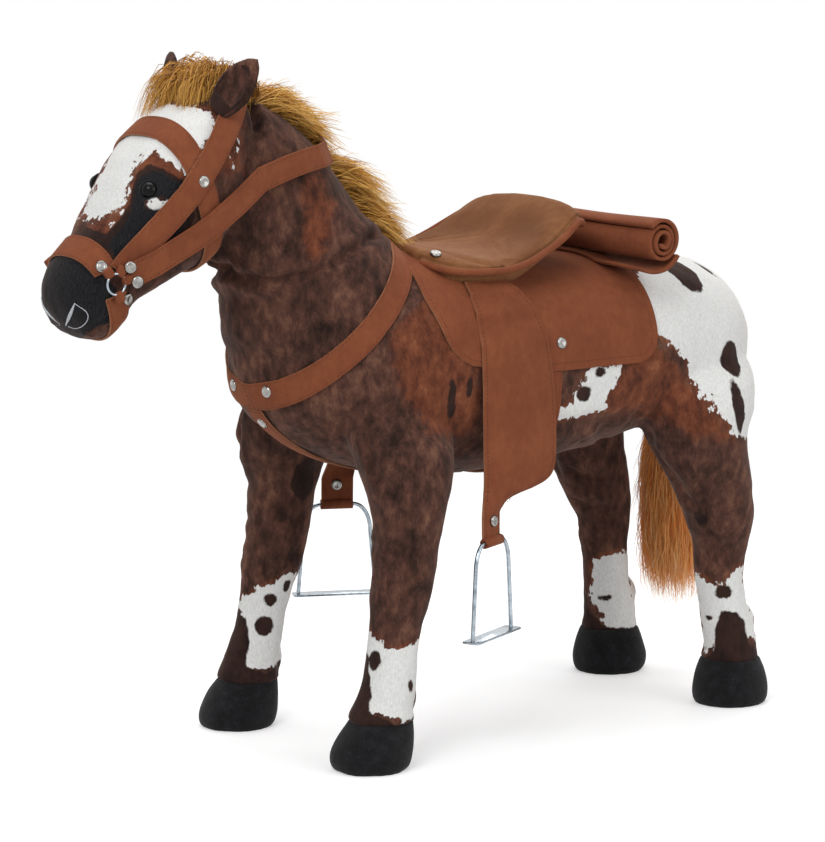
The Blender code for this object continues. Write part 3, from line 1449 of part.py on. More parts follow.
def slice_points(bm, origin, along, across, half_width):
    """Where a skin's edges pass through a strap's width and its lift, as distances along and
    to the side."""
    found = []
    lowest = -half_width - REIN_LIFT
    for edge in bm.edges:
        ends = [vert.co - origin for vert in edge.verts]
        levels = [end.dot(across) for end in ends]
        for end, level in zip(ends, levels):
            if lowest <= level <= half_width:
                found.append((end.dot(along), end.y))
        for limit in (lowest, half_width):
            if (levels[0] - limit) * (levels[1] - limit) < 0:
                share = (limit - levels[0]) / (levels[1] - levels[0])
                point = ends[0].lerp(ends[1], share)
                found.append((point.dot(along), point.y))
    bm.free()
    return found


def rein_lift(share):
    """How far the reins lie above the straight line at a share of the way to the crest."""
    for (near, low), (far, high) in zip(REIN_LIFT_SHARES, REIN_LIFT_SHARES[1:]):
        if near <= share <= far:
            return REIN_LIFT * (low + (high - low) * (share - near) / (far - near))
    return 0.0


def reins_bmesh(origin, along, start, inner, thickness, width):
    """The reins: a strap that rises from each ring over the cheek and levels out to the crest."""
    across = along.cross(SIDE)
    anchor = ring_centre().y + LUG_THICKNESS / 2 - STRAP_THICKNESS
    points = [(start, anchor), (start, -anchor)]
    for skin in (whole_head_bmesh(inner), neck_bmesh(inner)):
        points += [(s, y) for s, y in slice_points(skin, origin, along, across, width / 2) if s > start]
    chain = hull_outline(points)
    first = next(index for index, (s, y) in enumerate(chain) if s <= start and y < 0)
    chain = chain[first:] + chain[:first]
    thinned = [chain[0]]
    for point in chain[1:-1]:
        if math.dist(point, thinned[-1]) > STRAP_WIDTH * 0.3:
            thinned.append(point)
    thinned.append(chain[-1])
    thinned = [thinned[0], *evenly_spaced(thinned, STRAP_WIDTH * 2.0)]
    outer = []
    for index, point in enumerate(thinned):
        before = thinned[max(index - 1, 0)]
        after = thinned[min(index + 1, len(thinned) - 1)]
        step = (Vector(after) - Vector(before)).normalized()
        outer.append(Vector(point) + Vector((step.y, -step.x)) * thickness)
    long = max(s for s, _ in thinned) - start
    bm = bmesh.new()
    rings = []
    for near, far in zip(thinned, outer):
        lift = rein_lift(min(max((near[0] - start) / long, 0.0), 1.0))
        ring = []
        for (s, y), level in ((near, -width / 2), (far, -width / 2), (far, width / 2), (near, width / 2)):
            ring.append(bm.verts.new(origin + along * s + SIDE * y + across * (level - lift)))
        rings.append(ring)
    for near, far in zip(rings, rings[1:]):
        for index in range(4):
            following = (index + 1) % 4
            bm.faces.new((near[index], near[following], far[following], far[index]))
    bm.faces.new(rings[0])
    bm.faces.new(rings[-1])
    return bm


def build_reins():
    """The reins and the room that they take over the crest."""
    origin = Vector((RING_X, 0.0, RING_Z))
    crest, _ = crest_point(0.640)
    along = (crest - origin).normalized()
    inner = GAP + STRAP_LAYER * 2
    start = RING_DIAMETER / 2 + LUG_REACH * 0.75
    reins = add_mesh("reins", reins_bmesh(origin, along, start, inner, STRAP_THICKNESS, STRAP_WIDTH), TACK)
    join(reins, *lugs("reins", REIN_LUG_ANGLE, ring_centre().y - LUG_THICKNESS / 2 + GAP, LUG_REACH * 1.35))
    cut(reins, *ring_channels("reins"))
    room = reins_bmesh(origin, along, start, 0.0, inner + STRAP_THICKNESS + GAP * 5, STRAP_WIDTH + GAP * 9)
    return add_mesh("reins_room", room)


def build_rivets():
    """The rivets of the skirt and the seat."""
    for label, side in (("left", 1), ("right", -1)):
        target = Vector((GIRTH_X + GIRTH_WIDTH * 0.18, side * BARREL_WIDTH / 2, SKIRT_BOTTOM_Z + GIRTH_WIDTH * 0.87))
        rivet_on(f"girth_rivet_{label}", barrel_bmesh(GAP + SKIRT_THICKNESS), target, SIDE * -side)
        rim = Vector((SEAT_REAR_X + SEAT_LENGTH * 0.95, side * SEAT_WIDTH * 0.34, SEAT_LEVEL))
        rivet_on(f"seat_rivet_{label}", seat_bmesh(), rim, -UPWARD)


def main():
    """Build every piece, the larger ones first."""
    channels = build_frame()
    build_body(channels)
    neck_space = neck_copy("neck_space", GAP)
    whole_head_space = head_copy("whole_head_space", GAP)
    barrel_space = bpy.data.objects["barrel_space"]
    build_eyes()
    build_saddle(neck_space)
    build_fenders()
    build_collar()
    rooms = build_bridle()
    build_ears([whole_head_space, rooms[0]])
    build_mane("mane_upper", MANE_UPPER_SHARES, [neck_space, whole_head_space, rooms[0]])
    build_mane("mane_lower", MANE_LOWER_SHARES, [neck_space])
    build_forelock([whole_head_space, rooms[0], rooms[1]])
    build_tail(barrel_space)
    build_rivets()


main()
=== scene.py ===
"""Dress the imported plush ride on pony: plush coat, hair, suede tack, metal, floor, lamps and camera.

Places are worked out in the stance frame, whose X = 0 lies midway between the hooves, and moved
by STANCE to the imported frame. Lengths are in metres unless a name ends in _mm or _px.
"""

import logging
import math
from dataclasses import dataclass
from enum import Enum
from typing import Iterable, Sequence

import bmesh
import bpy
import numpy as np
from bpy.types import Material, Mesh, Node, NodeTree, Object
from mathutils import Matrix, Vector, noise
from mathutils.bvhtree import BVHTree
from mathutils.kdtree import KDTree

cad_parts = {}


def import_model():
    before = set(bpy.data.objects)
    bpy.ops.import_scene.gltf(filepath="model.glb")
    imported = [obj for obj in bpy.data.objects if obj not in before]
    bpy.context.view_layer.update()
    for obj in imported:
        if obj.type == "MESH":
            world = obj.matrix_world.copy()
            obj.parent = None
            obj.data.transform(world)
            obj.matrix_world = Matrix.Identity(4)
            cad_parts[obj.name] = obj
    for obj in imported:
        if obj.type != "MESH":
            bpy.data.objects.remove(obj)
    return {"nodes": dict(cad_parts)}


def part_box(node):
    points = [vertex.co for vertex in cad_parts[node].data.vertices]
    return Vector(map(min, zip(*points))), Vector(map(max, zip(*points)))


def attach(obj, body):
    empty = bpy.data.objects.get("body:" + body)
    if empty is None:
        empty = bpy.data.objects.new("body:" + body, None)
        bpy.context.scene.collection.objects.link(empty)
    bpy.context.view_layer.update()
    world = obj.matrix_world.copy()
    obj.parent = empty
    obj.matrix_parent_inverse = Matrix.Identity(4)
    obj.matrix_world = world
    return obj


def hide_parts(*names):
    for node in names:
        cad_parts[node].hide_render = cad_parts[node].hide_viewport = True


LOG = logging.getLogger("pony")
STANCE = Vector((-0.106, 0.0, 0.0))
SIDEWAYS = Vector((0.0, 1.0, 0.0))
FORWARD = Vector((1.0, 0.0, 0.0))
UPWARD = Vector((0.0, 0.0, 1.0))
BOTH = (1.0, -1.0)
SAME_SPOT = 1e-6
TINY = 1e-9
FAR_OUTSIDE_MM = -60.0
EDGE_ROUNDING = 0.0007
EDGE_ANGLE = math.radians(50)
SMOOTHING = (0.5, -0.52)

BMesh = bmesh.types.BMesh
Row = tuple[float, ...]
Pixel = tuple[float, float]
Stops = tuple[tuple[float, str], ...]
Plane = tuple[Vector, Vector]
Line = list[tuple[Vector, Vector]]


class Side(Enum):
    """The pony's left and right, as the sign of Y."""

    LEFT = 1
    RIGHT = -1

    @property
    def label(self) -> str:
        """The word that the nodes of this side end in."""
        return self.name.lower()


class Coat(Enum):
    """What a patch paints into the coat, as the name of its attribute."""

    WHITE = "white_mm"
    RUST = "rust_mm"
    DARK = "dark_mm"
    BLACK = "black_mm"


def linear(code: str) -> tuple[float, float, float, float]:
    """Turn an sRGB hex colour into a linear one.

    Args:
        code: six hex digits after a #.

    Returns:
        Red, green, blue and an alpha of 1.
    """
    parts = [int(code[i : i + 2], 16) / 255 for i in (1, 3, 5)]
    r, g, b = (c / 12.92 if c <= 0.04045 else ((c + 0.055) / 1.055) ** 2.4 for c in parts)
    return r, g, b, 1.0


def per_mm(size_mm: float) -> float:
    """A noise scale whose features are about this many millimetres across."""
    return 1000.0 / size_mm


def framed(place: Vector, *axes: Vector) -> Matrix:
    """The frame at a place whose own axes point along the given ones."""
    return Matrix.Translation(place) @ Matrix(axes).transposed().to_4x4()


def facing(place: Vector, way: Vector) -> Matrix:
    """The frame at a place whose own Z points one way."""
    return Matrix.Translation(place) @ way.to_track_quat("Z", "Y").to_matrix().to_4x4()


def flipped(place: Vector, sign: float) -> Vector:
    """A place or direction, or its mirror image where the sign is negative."""
    return Vector((place.x, place.y * sign, place.z))


def bump(away: np.ndarray, width: float, power: int = 2) -> np.ndarray:
    """1 where a distance is nought, falling smoothly to 0 beyond a width."""
    return np.exp(-((away / width) ** power))


def to_segment(points: np.ndarray, start: np.ndarray, end: np.ndarray) -> tuple[np.ndarray, np.ndarray]:
    """How far points lie from a straight segment.

    Args:
        points: places, one a row.
        start: where the segment starts.
        end: where it ends.

    Returns:
        The distances, and how far along the segment each nearest point is, from 0 to 1.
    """
    step = end - start
    away = points - start
    share = np.clip(away @ step / (step @ step), 0.0, 1.0)
    return np.linalg.norm(away - share[:, None] * step, axis=1), share


def placed(name: str, data: bpy.types.ID) -> Object:
    """A new object of the scene with the given data."""
    made = bpy.data.objects.new(name, data)
    bpy.context.scene.collection.objects.link(made)
    return made


def blank_tree(owner: Material | bpy.types.World) -> NodeTree:
    """The emptied node tree of a material or world."""
    owner.use_nodes = True
    owner.node_tree.nodes.clear()
    return owner.node_tree


def node(tree: NodeTree, kind: str, settings: dict | None = None, **links: object) -> Node:
    """Add a node with its settings, and set or link its inputs.

    Args:
        tree: the node tree.
        kind: the node's type name.
        settings: properties of the node.
        links: inputs by name with _ for a space, or by i and a number; a socket is linked and
            anything else is the input's value.

    Returns:
        The node.
    """
    made = tree.nodes.new(kind)
    for name, value in (settings or {}).items():
        setattr(made, name, value)
    for name, value in links.items():
        key = int(name[1:]) if name[0] == "i" and name[1:].isdigit() else name.replace("_", " ")
        socket = made.inputs[key]
        if isinstance(value, bpy.types.NodeSocket):
            tree.links.new(value, socket)
        else:
            socket.default_value = value
    return made


def ramp(tree: NodeTree, factor: object, stops: Stops) -> object:
    """A colour ramp over the given hex stops.

    Args:
        tree: the node tree.
        factor: the socket that drives it.
        stops: positions and hex colours.

    Returns:
        The colour socket.
    """
    made = node(tree, "ShaderNodeValToRGB", Fac=factor)
    elements = made.color_ramp.elements
    while len(elements) < len(stops):
        elements.new(0.5)
    for element, (place, code) in zip(elements, stops):
        element.position = place
        element.color = linear(code)
    return made.outputs["Color"]


def blank_material(name: str) -> tuple[Material, NodeTree, Node]:
    """A material with only its Principled shader and output.

    Args:
        name: what the material is.

    Returns:
        The material, its tree and the shader.
    """
    material = bpy.data.materials.new(name)
    tree = blank_tree(material)
    shader = node(tree, "ShaderNodeBsdfPrincipled")
    node(tree, "ShaderNodeOutputMaterial", Surface=shader.outputs[0])
    return material, tree, shader


def wire(tree: NodeTree, value: object, socket: object) -> None:
    """Link a value's socket to a shader's socket."""
    tree.links.new(value, socket)


def set_inputs(shader: Node, **values: object) -> None:
    """Set constant inputs of a shader by name, with _ for a space."""
    for name, value in values.items():
        shader.inputs[name.replace("_", " ")].default_value = value


def math_node(tree: NodeTree, operation: str, *values: object) -> object:
    """A math node's result over one to three values or sockets."""
    inputs = {f"i{i}": value for i, value in enumerate(values)}
    return node(tree, "ShaderNodeMath", {"operation": operation}, **inputs).outputs[0]


def blended(tree: NodeTree, factor: object, first: object, second: object) -> object:
    """Two colours mixed by a factor.

    Args:
        tree: the node tree.
        factor: 0 gives the first colour, 1 the second.
        first: a colour or its socket.
        second: a colour or its socket.

    Returns:
        The colour socket.
    """
    return node(tree, "ShaderNodeMix", {"data_type": "RGBA"}, i0=factor, i6=first, i7=second).outputs[2]


def noise_texture(
    tree: NodeTree, size_mm: float, detail: float = 2.0, stretch: Row = (1.0, 1.0, 1.0)
) -> object:
    """Noise on object coordinates.

    Args:
        tree: the node tree.
        size_mm: how wide its features are.
        detail: octaves of finer noise.
        stretch: how much longer the features are along each axis.

    Returns:
        The factor socket.
    """
    place = node(tree, "ShaderNodeTexCoord").outputs["Object"]
    narrowed = tuple(1.0 / s for s in stretch)
    turned = node(tree, "ShaderNodeMapping", Vector=place, Scale=narrowed).outputs[0]
    scale = per_mm(size_mm)
    made = node(tree, "ShaderNodeTexNoise", Vector=turned, Scale=scale, Detail=detail, Roughness=0.55)
    return made.outputs["Fac"]


def smooth_step(tree: NodeTree, value: object, low: float, high: float) -> object:
    """A smooth 0 to 1 between two values."""
    settings = {"interpolation_type": "SMOOTHSTEP"}
    made = node(tree, "ShaderNodeMapRange", settings, Value=value, From_Min=low, From_Max=high)
    return made.outputs[0]


def attribute(tree: NodeTree, name: str) -> object:
    """A mesh attribute's value."""
    return node(tree, "ShaderNodeAttribute", {"attribute_name": name}).outputs["Fac"]


def bumped(tree: NodeTree, shader: Node, layers: Sequence[tuple[object, float, float]]) -> None:
    """Chain bump layers into the shader's normal.

    Args:
        tree: the node tree.
        shader: the Principled shader.
        layers: height socket, strength and distance in millimetres of each layer.
    """
    below = None
    for height, strength, distance_mm in layers:
        links = {"Height": height, "Strength": strength, "Distance": distance_mm / 1000}
        if below is not None:
            links["Normal"] = below
        below = node(tree, "ShaderNodeBump", **links).outputs[0]
    wire(tree, below, shader.inputs["Normal"])


@dataclass(frozen=True)
class PlushCoat:
    """Short polyester plush, printed and airbrushed: matt, with a soft sheen where the pile turns."""

    name: str = "polyester_plush_coat"
    pile_mm: float = 1.7
    clump_mm: float = 9.0
    blotch_mm: float = 34.0

    def mask(self, tree: NodeTree, coat: Coat, ragged: Row, soft_mm: float) -> object:
        """A painted region with ragged, furry edges.

        Args:
            tree: the node tree.
            coat: which attribute holds the distance inside the region, in millimetres.
            ragged: how far its edge wanders, coarse and fine, in millimetres.
            soft_mm: how soft the edge is.

        Returns:
            The mask socket.
        """
        inside = attribute(tree, coat.value)
        coarse = math_node(tree, "SUBTRACT", noise_texture(tree, 12.0, 2.0), 0.5)
        fine = math_node(tree, "SUBTRACT", noise_texture(tree, 4.6, 2.0, (1.0, 1.0, 1.8)), 0.5)
        moved = math_node(tree, "MULTIPLY_ADD", coarse, ragged[0], inside)
        moved = math_node(tree, "MULTIPLY_ADD", fine, ragged[1], moved)
        return smooth_step(tree, moved, -soft_mm, soft_mm)

    def build(self) -> Material:
        """The coat's material.

        Returns:
            The material.
        """
        material, tree, shader = blank_material(self.name)
        clump = noise_texture(tree, self.clump_mm, 3.0, (1.0, 1.0, 1.7))
        blotch = noise_texture(tree, self.blotch_mm, 2.0, (1.0, 1.0, 1.4))
        pile = noise_texture(tree, self.pile_mm, 1.5, (1.0, 1.0, 2.4))
        tone = math_node(tree, "MULTIPLY_ADD", clump, 0.62, math_node(tree, "MULTIPLY", blotch, 0.52))
        tone = math_node(tree, "MULTIPLY_ADD", pile, 0.20, math_node(tree, "SUBTRACT", tone, 0.17))
        brown = ramp(tree, tone, ((0.28, "#21140f"), (0.42, "#3b261f"), (0.55, "#53362d"), (0.72, "#73503f")))
        rust = ramp(tree, tone, ((0.28, "#391f16"), (0.45, "#5e3323"), (0.60, "#76432d"), (0.75, "#905d40")))
        white = ramp(tree, pile, ((0.25, "#cfcfcd"), (0.50, "#dcdcda"), (0.75, "#e6e6e4")))
        spot = ramp(tree, tone, ((0.30, "#1b110f"), (0.60, "#33211c")))
        black = ramp(tree, pile, ((0.30, "#0f0f11"), (0.70, "#222225")))
        fringe = smooth_step(tree, attribute(tree, Coat.WHITE.value), -7.0, -0.5)
        clear = smooth_step(tree, attribute(tree, Coat.DARK.value), -2.0, -14.0)
        fringe = math_node(tree, "MULTIPLY", fringe, clear)
        patch = self.mask(tree, Coat.RUST, (26.0, 9.0), 7.0)
        blush = math_node(tree, "MAXIMUM", patch, math_node(tree, "MULTIPLY", fringe, 0.8))
        colour = blended(tree, blush, brown, rust)
        colour = blended(tree, self.mask(tree, Coat.WHITE, (17.0, 13.0), 0.8), colour, white)
        colour = blended(tree, self.mask(tree, Coat.DARK, (5.0, 3.0), 1.1), colour, spot)
        colour = blended(tree, self.mask(tree, Coat.BLACK, (8.0, 6.0), 1.6), colour, black)
        wire(tree, colour, shader.inputs["Base Color"])
        set_inputs(shader, Roughness=0.9, Sheen_Weight=0.22, Sheen_Roughness=0.4, Specular_IOR_Level=0.16)
        set_inputs(shader, Sheen_Tint=linear("#c4aca2"))
        bumped(tree, shader, ((clump, 0.6, 1.5), (pile, 0.55, 0.45)))
        return material


@dataclass(frozen=True)
class BlackPlush:
    """Black polyester plush of the hooves: very matt, with grey ends to its pile."""

    name: str = "black_plush_pile"
    pile_mm: float = 1.6

    def build(self) -> Material:
        """The hooves' material.

        Returns:
            The material.
        """
        material, tree, shader = blank_material(self.name)
        pile = noise_texture(tree, self.pile_mm, 2.0, (1.0, 1.0, 1.8))
        clump = noise_texture(tree, 11.0, 2.0)
        tone = math_node(tree, "MULTIPLY_ADD", pile, 0.5, math_node(tree, "MULTIPLY", clump, 0.5))
        colours = ramp(tree, tone, ((0.32, "#0e0e10"), (0.52, "#19191b"), (0.68, "#252529")))
        wire(tree, colours, shader.inputs["Base Color"])
        set_inputs(shader, Roughness=0.95, Sheen_Weight=0.10, Sheen_Roughness=0.5, Specular_IOR_Level=0.15)
        bumped(tree, shader, ((clump, 0.4, 1.0), (pile, 0.8, 0.5)))
        return material


@dataclass(frozen=True)
class FauxHair:
    """Long acrylic faux hair: ochre, glossy along each strand, darker at the roots."""

    name: str
    stops: Stops

    def build(self) -> Material:
        """The hair's material, coloured by each strand's own number and by the way along it.

        Returns:
            The material.
        """
        material, tree, shader = blank_material(self.name)
        own = attribute(tree, "strand")
        along = attribute(tree, "along")
        tone = math_node(tree, "MULTIPLY_ADD", own, 0.55, math_node(tree, "MULTIPLY", along, 0.45))
        wire(tree, ramp(tree, tone, self.stops), shader.inputs["Base Color"])
        set_inputs(shader, Roughness=0.52, Specular_IOR_Level=0.35, Sheen_Weight=0.12, Sheen_Roughness=0.4)
        return material


@dataclass(frozen=True)
class Suede:
    """Brushed microfibre suede of the tack: rust brown, short nap that lightens in random streaks of wear,
    with painted shade that darkens it where a seat attribute marks its hollow.
    """

    name: str = "brushed_microfibre_suede"
    nap_mm: float = 1.3
    stops: Stops = ((0.30, "#6d3a25"), (0.50, "#7b432a"), (0.70, "#884e31"))

    def build(self) -> Material:
        """The tack's material.

        Returns:
            The material.
        """
        material, tree, shader = blank_material(self.name)
        nap = noise_texture(tree, self.nap_mm, 2.0)
        cloud = noise_texture(tree, 38.0, 3.0)
        rub = noise_texture(tree, 7.0, 2.0, (1.0, 1.0, 1.6))
        tone = math_node(tree, "MULTIPLY_ADD", cloud, 0.45, math_node(tree, "MULTIPLY", rub, 0.30))
        tone = math_node(tree, "MULTIPLY_ADD", nap, 0.25, tone)
        # Painted shade: darker suede where the seat's attribute marks the hollow of its dish; pieces without
        # the attribute are not darkened.
        shade = math_node(tree, "MULTIPLY", attribute(tree, "painted_hollow_shade"), 0.42)
        colour = blended(tree, shade, ramp(tree, tone, self.stops), linear("#4a2812"))
        wire(tree, colour, shader.inputs["Base Color"])
        set_inputs(shader, Roughness=0.86, Sheen_Weight=0.20, Sheen_Roughness=0.35, Specular_IOR_Level=0.2)
        set_inputs(shader, Sheen_Tint=linear("#d9a582"))
        bumped(tree, shader, ((rub, 0.18, 0.5), (nap, 0.35, 0.18)))
        return material


@dataclass(frozen=True)
class NoiseFinish:
    """A plain material whose one noise gives its colours, and its relief where it has a strength
    and a depth in millimetres for it.
    """

    name: str
    size_mm: float
    detail: float
    stops: Stops
    inputs: dict[str, float]
    stretch: Row = (1.0, 1.0, 1.0)
    relief: tuple[float, float] | None = None

    def build(self) -> Material:
        """The finished material.

        Returns:
            The material.
        """
        material, tree, shader = blank_material(self.name)
        grain = noise_texture(tree, self.size_mm, self.detail, self.stretch)
        wire(tree, ramp(tree, grain, self.stops), shader.inputs["Base Color"])
        set_inputs(shader, **self.inputs)
        if self.relief:
            bumped(tree, shader, ((grain, *self.relief),))
        return material


@dataclass(frozen=True)
class Metal:
    """Bare or plated metal with faint wear, its colour and roughness varied a little."""

    name: str
    stops: Stops
    roughness: float
    wear: float
    grain_mm: float = 6.0

    def build(self) -> Material:
        """The metal's material.

        Returns:
            The material.
        """
        material, tree, shader = blank_material(self.name)
        wear = noise_texture(tree, self.grain_mm, 3.0)
        wire(tree, ramp(tree, wear, self.stops), shader.inputs["Base Color"])
        most = self.roughness + self.wear
        rough = node(tree, "ShaderNodeMapRange", Value=wear, To_Min=self.roughness, To_Max=most)
        wire(tree, rough.outputs[0], shader.inputs["Roughness"])
        set_inputs(shader, Metallic=1.0)
        bumped(tree, shader, ((noise_texture(tree, 0.8, 2.0), 0.06, 0.05),))
        return material


@dataclass(frozen=True)
class PhotoView:
    """The photograph's camera: where it stands and how it looks at the pony."""

    place: Row = (2.4202, 3.2853, 0.9550)
    azimuth: float = 143.6329
    pitch: float = 8.6894
    focal_px: float = 3905.803
    width_px: float = 825.0
    height_px: float = 842.0
    sensor_mm: float = 36.0

    def axes(self) -> tuple[np.ndarray, np.ndarray, np.ndarray]:
        """The directions right, up and back of the picture.

        Returns:
            Three unit vectors.
        """
        turn = math.radians(self.azimuth)
        tilt = math.radians(self.pitch)
        back = np.array((math.sin(turn) * math.cos(tilt), -math.cos(turn) * math.cos(tilt), math.sin(tilt)))
        right = np.array((math.cos(turn), math.sin(turn), 0.0))
        return right, np.cross(back, right), back

    def pixels(self, points: np.ndarray) -> np.ndarray:
        """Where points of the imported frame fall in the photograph.

        Args:
            points: places, one a row.

        Returns:
            Pixels across and down, one a row.
        """
        right, up, back = self.axes()
        away = points - np.array(self.place)
        depth = -(away @ back)
        across = self.width_px / 2 + self.focal_px * (away @ right) / depth
        down = self.height_px / 2 - self.focal_px * (away @ up) / depth
        return np.stack((across, down), axis=1)

    def ray(self, pixel: Pixel) -> tuple[Vector, Vector]:
        """The line of sight through a pixel.

        Args:
            pixel: across and down.

        Returns:
            Its start and direction.
        """
        right, up, back = self.axes()
        across = (pixel[0] - self.width_px / 2) / self.focal_px
        rise = (self.height_px / 2 - pixel[1]) / self.focal_px
        return Vector(self.place), Vector(right * across + up * rise - back).normalized()

    def build(self) -> None:
        """Make the camera and look through it."""
        right, up, back = (Vector(axis) for axis in self.axes())
        data = bpy.data.cameras.new("photo_camera")
        data.sensor_width = self.sensor_mm
        data.lens = self.focal_px / self.height_px * self.sensor_mm
        data.clip_end = 60.0
        camera = placed("photo_camera", data)
        camera.matrix_world = framed(Vector(self.place), right, up, back)
        bpy.context.scene.camera = camera


@dataclass(frozen=True)
class Lamp:
    """A soft box: where it stands, how large it is and how bright."""

    name: str
    place: Row
    size: float
    watts: float


@dataclass
class Studio:
    """A white sweep with soft boxes, as in a catalogue photograph."""

    floor_size: float = 14.0
    fade: Row = (0.75, 1.9)
    ambient: float = 0.52
    glow: float = 0.38
    target: Row = (0.0, 0.0, 0.35)
    lamps: tuple[Lamp, ...] = (
        Lamp("key_box", (2.4, 1.6, 2.8), 1.6, 52.0),
        Lamp("fill_box", (-1.4, 3.4, 1.9), 2.2, 33.0),
        Lamp("top_box", (-0.3, -0.6, 3.2), 2.2, 34.0),
        Lamp("rear_box", (-2.6, -2.2, 2.2), 2.0, 24.0),
    )

    def build(self) -> None:
        """Make the floor, the world and the lamps."""
        bpy.context.scene.view_settings.view_transform = "Standard"
        self.build_world()
        self.build_floor()
        for lamp in self.lamps:
            data = bpy.data.lights.new(lamp.name, "AREA")
            data.size = lamp.size
            data.energy = lamp.watts
            place = Vector(lamp.place)
            placed(lamp.name, data).matrix_world = facing(place, place - Vector(self.target))

    def seen(self, tree: NodeTree) -> object:
        """1 where the camera, a reflection or a view through glass meets the white sweep."""
        path = node(tree, "ShaderNodeLightPath")
        both = math_node(tree, "MAXIMUM", path.outputs["Is Camera Ray"], path.outputs["Is Glossy Ray"])
        return math_node(tree, "MAXIMUM", both, path.outputs["Is Transmission Ray"])

    def build_world(self) -> None:
        """White behind the pony, and a softer grey that lights it."""
        world = bpy.data.worlds.new("studio_sweep")
        tree = blank_tree(world)
        strength = math_node(tree, "MULTIPLY_ADD", self.seen(tree), 1.0 - self.ambient, self.ambient)
        sky = node(tree, "ShaderNodeBackground", Color=linear("#ffffff"), Strength=strength)
        node(tree, "ShaderNodeOutputWorld", Surface=sky.outputs[0])
        bpy.context.scene.world = world

    def build_floor(self) -> None:
        """A pale floor that fades into the white behind it and keeps the pony's shadow."""
        bm = bmesh.new()
        bmesh.ops.create_grid(bm, x_segments=2, y_segments=2, size=self.floor_size / 2)
        data = bpy.data.meshes.new("floor")
        bm.to_mesh(data)
        bm.free()
        material = bpy.data.materials.new("matt_white_sweep")
        tree = blank_tree(material)
        matt = node(tree, "ShaderNodeBsdfDiffuse", Color=linear("#e9e9e9"))
        seen = self.seen(tree)
        glow = node(tree, "ShaderNodeEmission", Strength=math_node(tree, "MULTIPLY", seen, self.glow))
        both = node(tree, "ShaderNodeAddShader", i0=matt.outputs[0], i1=glow.outputs[0])
        place = node(tree, "ShaderNodeTexCoord").outputs["Object"]
        away = node(tree, "ShaderNodeVectorMath", {"operation": "LENGTH"}, i0=place).outputs["Value"]
        level = math_node(tree, "MULTIPLY_ADD", seen, 1.0 - self.ambient, self.ambient)
        sweep = node(tree, "ShaderNodeEmission", Strength=level)
        far = smooth_step(tree, away, *self.fade)
        faded = node(tree, "ShaderNodeMixShader", i0=far, i1=both.outputs[0], i2=sweep.outputs[0])
        node(tree, "ShaderNodeOutputMaterial", Surface=faded.outputs[0])
        data.materials.append(material)
        placed("floor", data)


def thread(name: str, dark: str, light: str) -> Material:
    """Spun thread or floss, with its twist as fine ridges."""
    inputs = {"Roughness": 0.7, "Specular_IOR_Level": 0.3}
    return NoiseFinish(name, 0.6, 1.0, ((0.35, dark), (0.65, light)), inputs, relief=(0.5, 0.1)).build()


def metal(name: str, dark: str, light: str, roughness: float, wear: float) -> Material:
    """Bare or plated metal between two greys."""
    return Metal(name, ((0.3, dark), (0.7, light)), roughness, wear).build()


class Finishes:
    """Every material, built once."""

    def __init__(self) -> None:
        """Build them."""
        self.coat = PlushCoat().build()
        self.black = BlackPlush().build()
        ochre = ((0.0, "#82561f"), (0.30, "#b27c31"), (0.62, "#d8a54c"), (1.0, "#edca80"))
        self.mane = FauxHair("acrylic_mane_hair", ochre).build()
        amber = ((0.0, "#c66521"), (0.35, "#e88a3d"), (0.70, "#f8b666"), (1.0, "#fedba8"))
        self.tail = FauxHair("acrylic_tail_hair", amber).build()
        self.suede = Suede().build()
        pale = ((0.30, "#85573f"), (0.50, "#97674c"), (0.70, "#a9795c"))
        self.raw = Suede("raw_cut_suede_edge", 0.9, pale).build()
        # The seat cushion's suede: lighter and more yellow than the tack's, its own tan colour together with
        # painted sheen of the seat's top.
        tan = ((0.30, "#6b4126"), (0.50, "#7c5031"), (0.70, "#8c603d"))
        self.seat_tan_and_sheen = Suede("rubbed_seat_suede", 1.3, tan).build()
        self.thread = thread("spun_polyester_thread", "#4f2a1d", "#6d3e2a")
        self.silver = thread("silver_embroidery_floss", "#9fa3a9", "#d2d5da")
        self.chrome = metal("chromed_steel_wire", "#87919a", "#b9c3ca", 0.12, 0.12)
        self.nickel = metal("nickel_plated_rivet", "#7d7b78", "#a9a7a3", 0.20, 0.14)
        self.steel = metal("powder_grey_steel_tube", "#6d6e71", "#8b8c90", 0.42, 0.15)
        polished = {"Roughness": 0.06, "IOR": 1.45, "Specular_IOR_Level": 0.16}
        deep = ((0.3, "#050505"), (0.7, "#14100f"))
        self.glass = NoiseFinish("moulded_black_glass", 5.0, 1.0, deep, polished).build()
        birch = ((0.3, "#a9824f"), (0.55, "#c9a673"), (0.75, "#d8bb8b"))
        planed = {"Roughness": 0.65}
        self.plywood = NoiseFinish(
            "birch_plywood", 3.0, 4.0, birch, planed, (14.0, 1.0, 1.0), (0.3, 0.2)
        ).build()


def shown(name: str, source: BMesh | Mesh, material: Material, smooth: bool = True) -> Object:
    """Make a finished mesh an object of the scene.

    Args:
        name: the piece's name.
        source: a bmesh, which is freed, or a mesh.
        material: its material.
        smooth: whether it is shaded smooth.

    Returns:
        The object.
    """
    if isinstance(source, BMesh):
        data = bpy.data.meshes.new(name)
        source.to_mesh(data)
        source.free()
    else:
        data = source
    data.materials.clear()
    data.materials.append(material)
    data.polygons.foreach_set("use_smooth", [smooth] * len(data.polygons))
    LOG.info("%s: %d faces", name, len(data.polygons))
    return placed(name, data)


def settle(piece: Object, body: str, nodes: Iterable[str] = ()) -> Object:
    """Let a piece ride on a body and stand for CAD nodes, which are hidden.

    Args:
        piece: the object.
        body: the CAD body that carries it.
        nodes: the CAD nodes that it stands for.

    Returns:
        The piece.
    """
    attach(piece, body)
    names = list(nodes)
    if names:
        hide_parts(*names)
    return piece


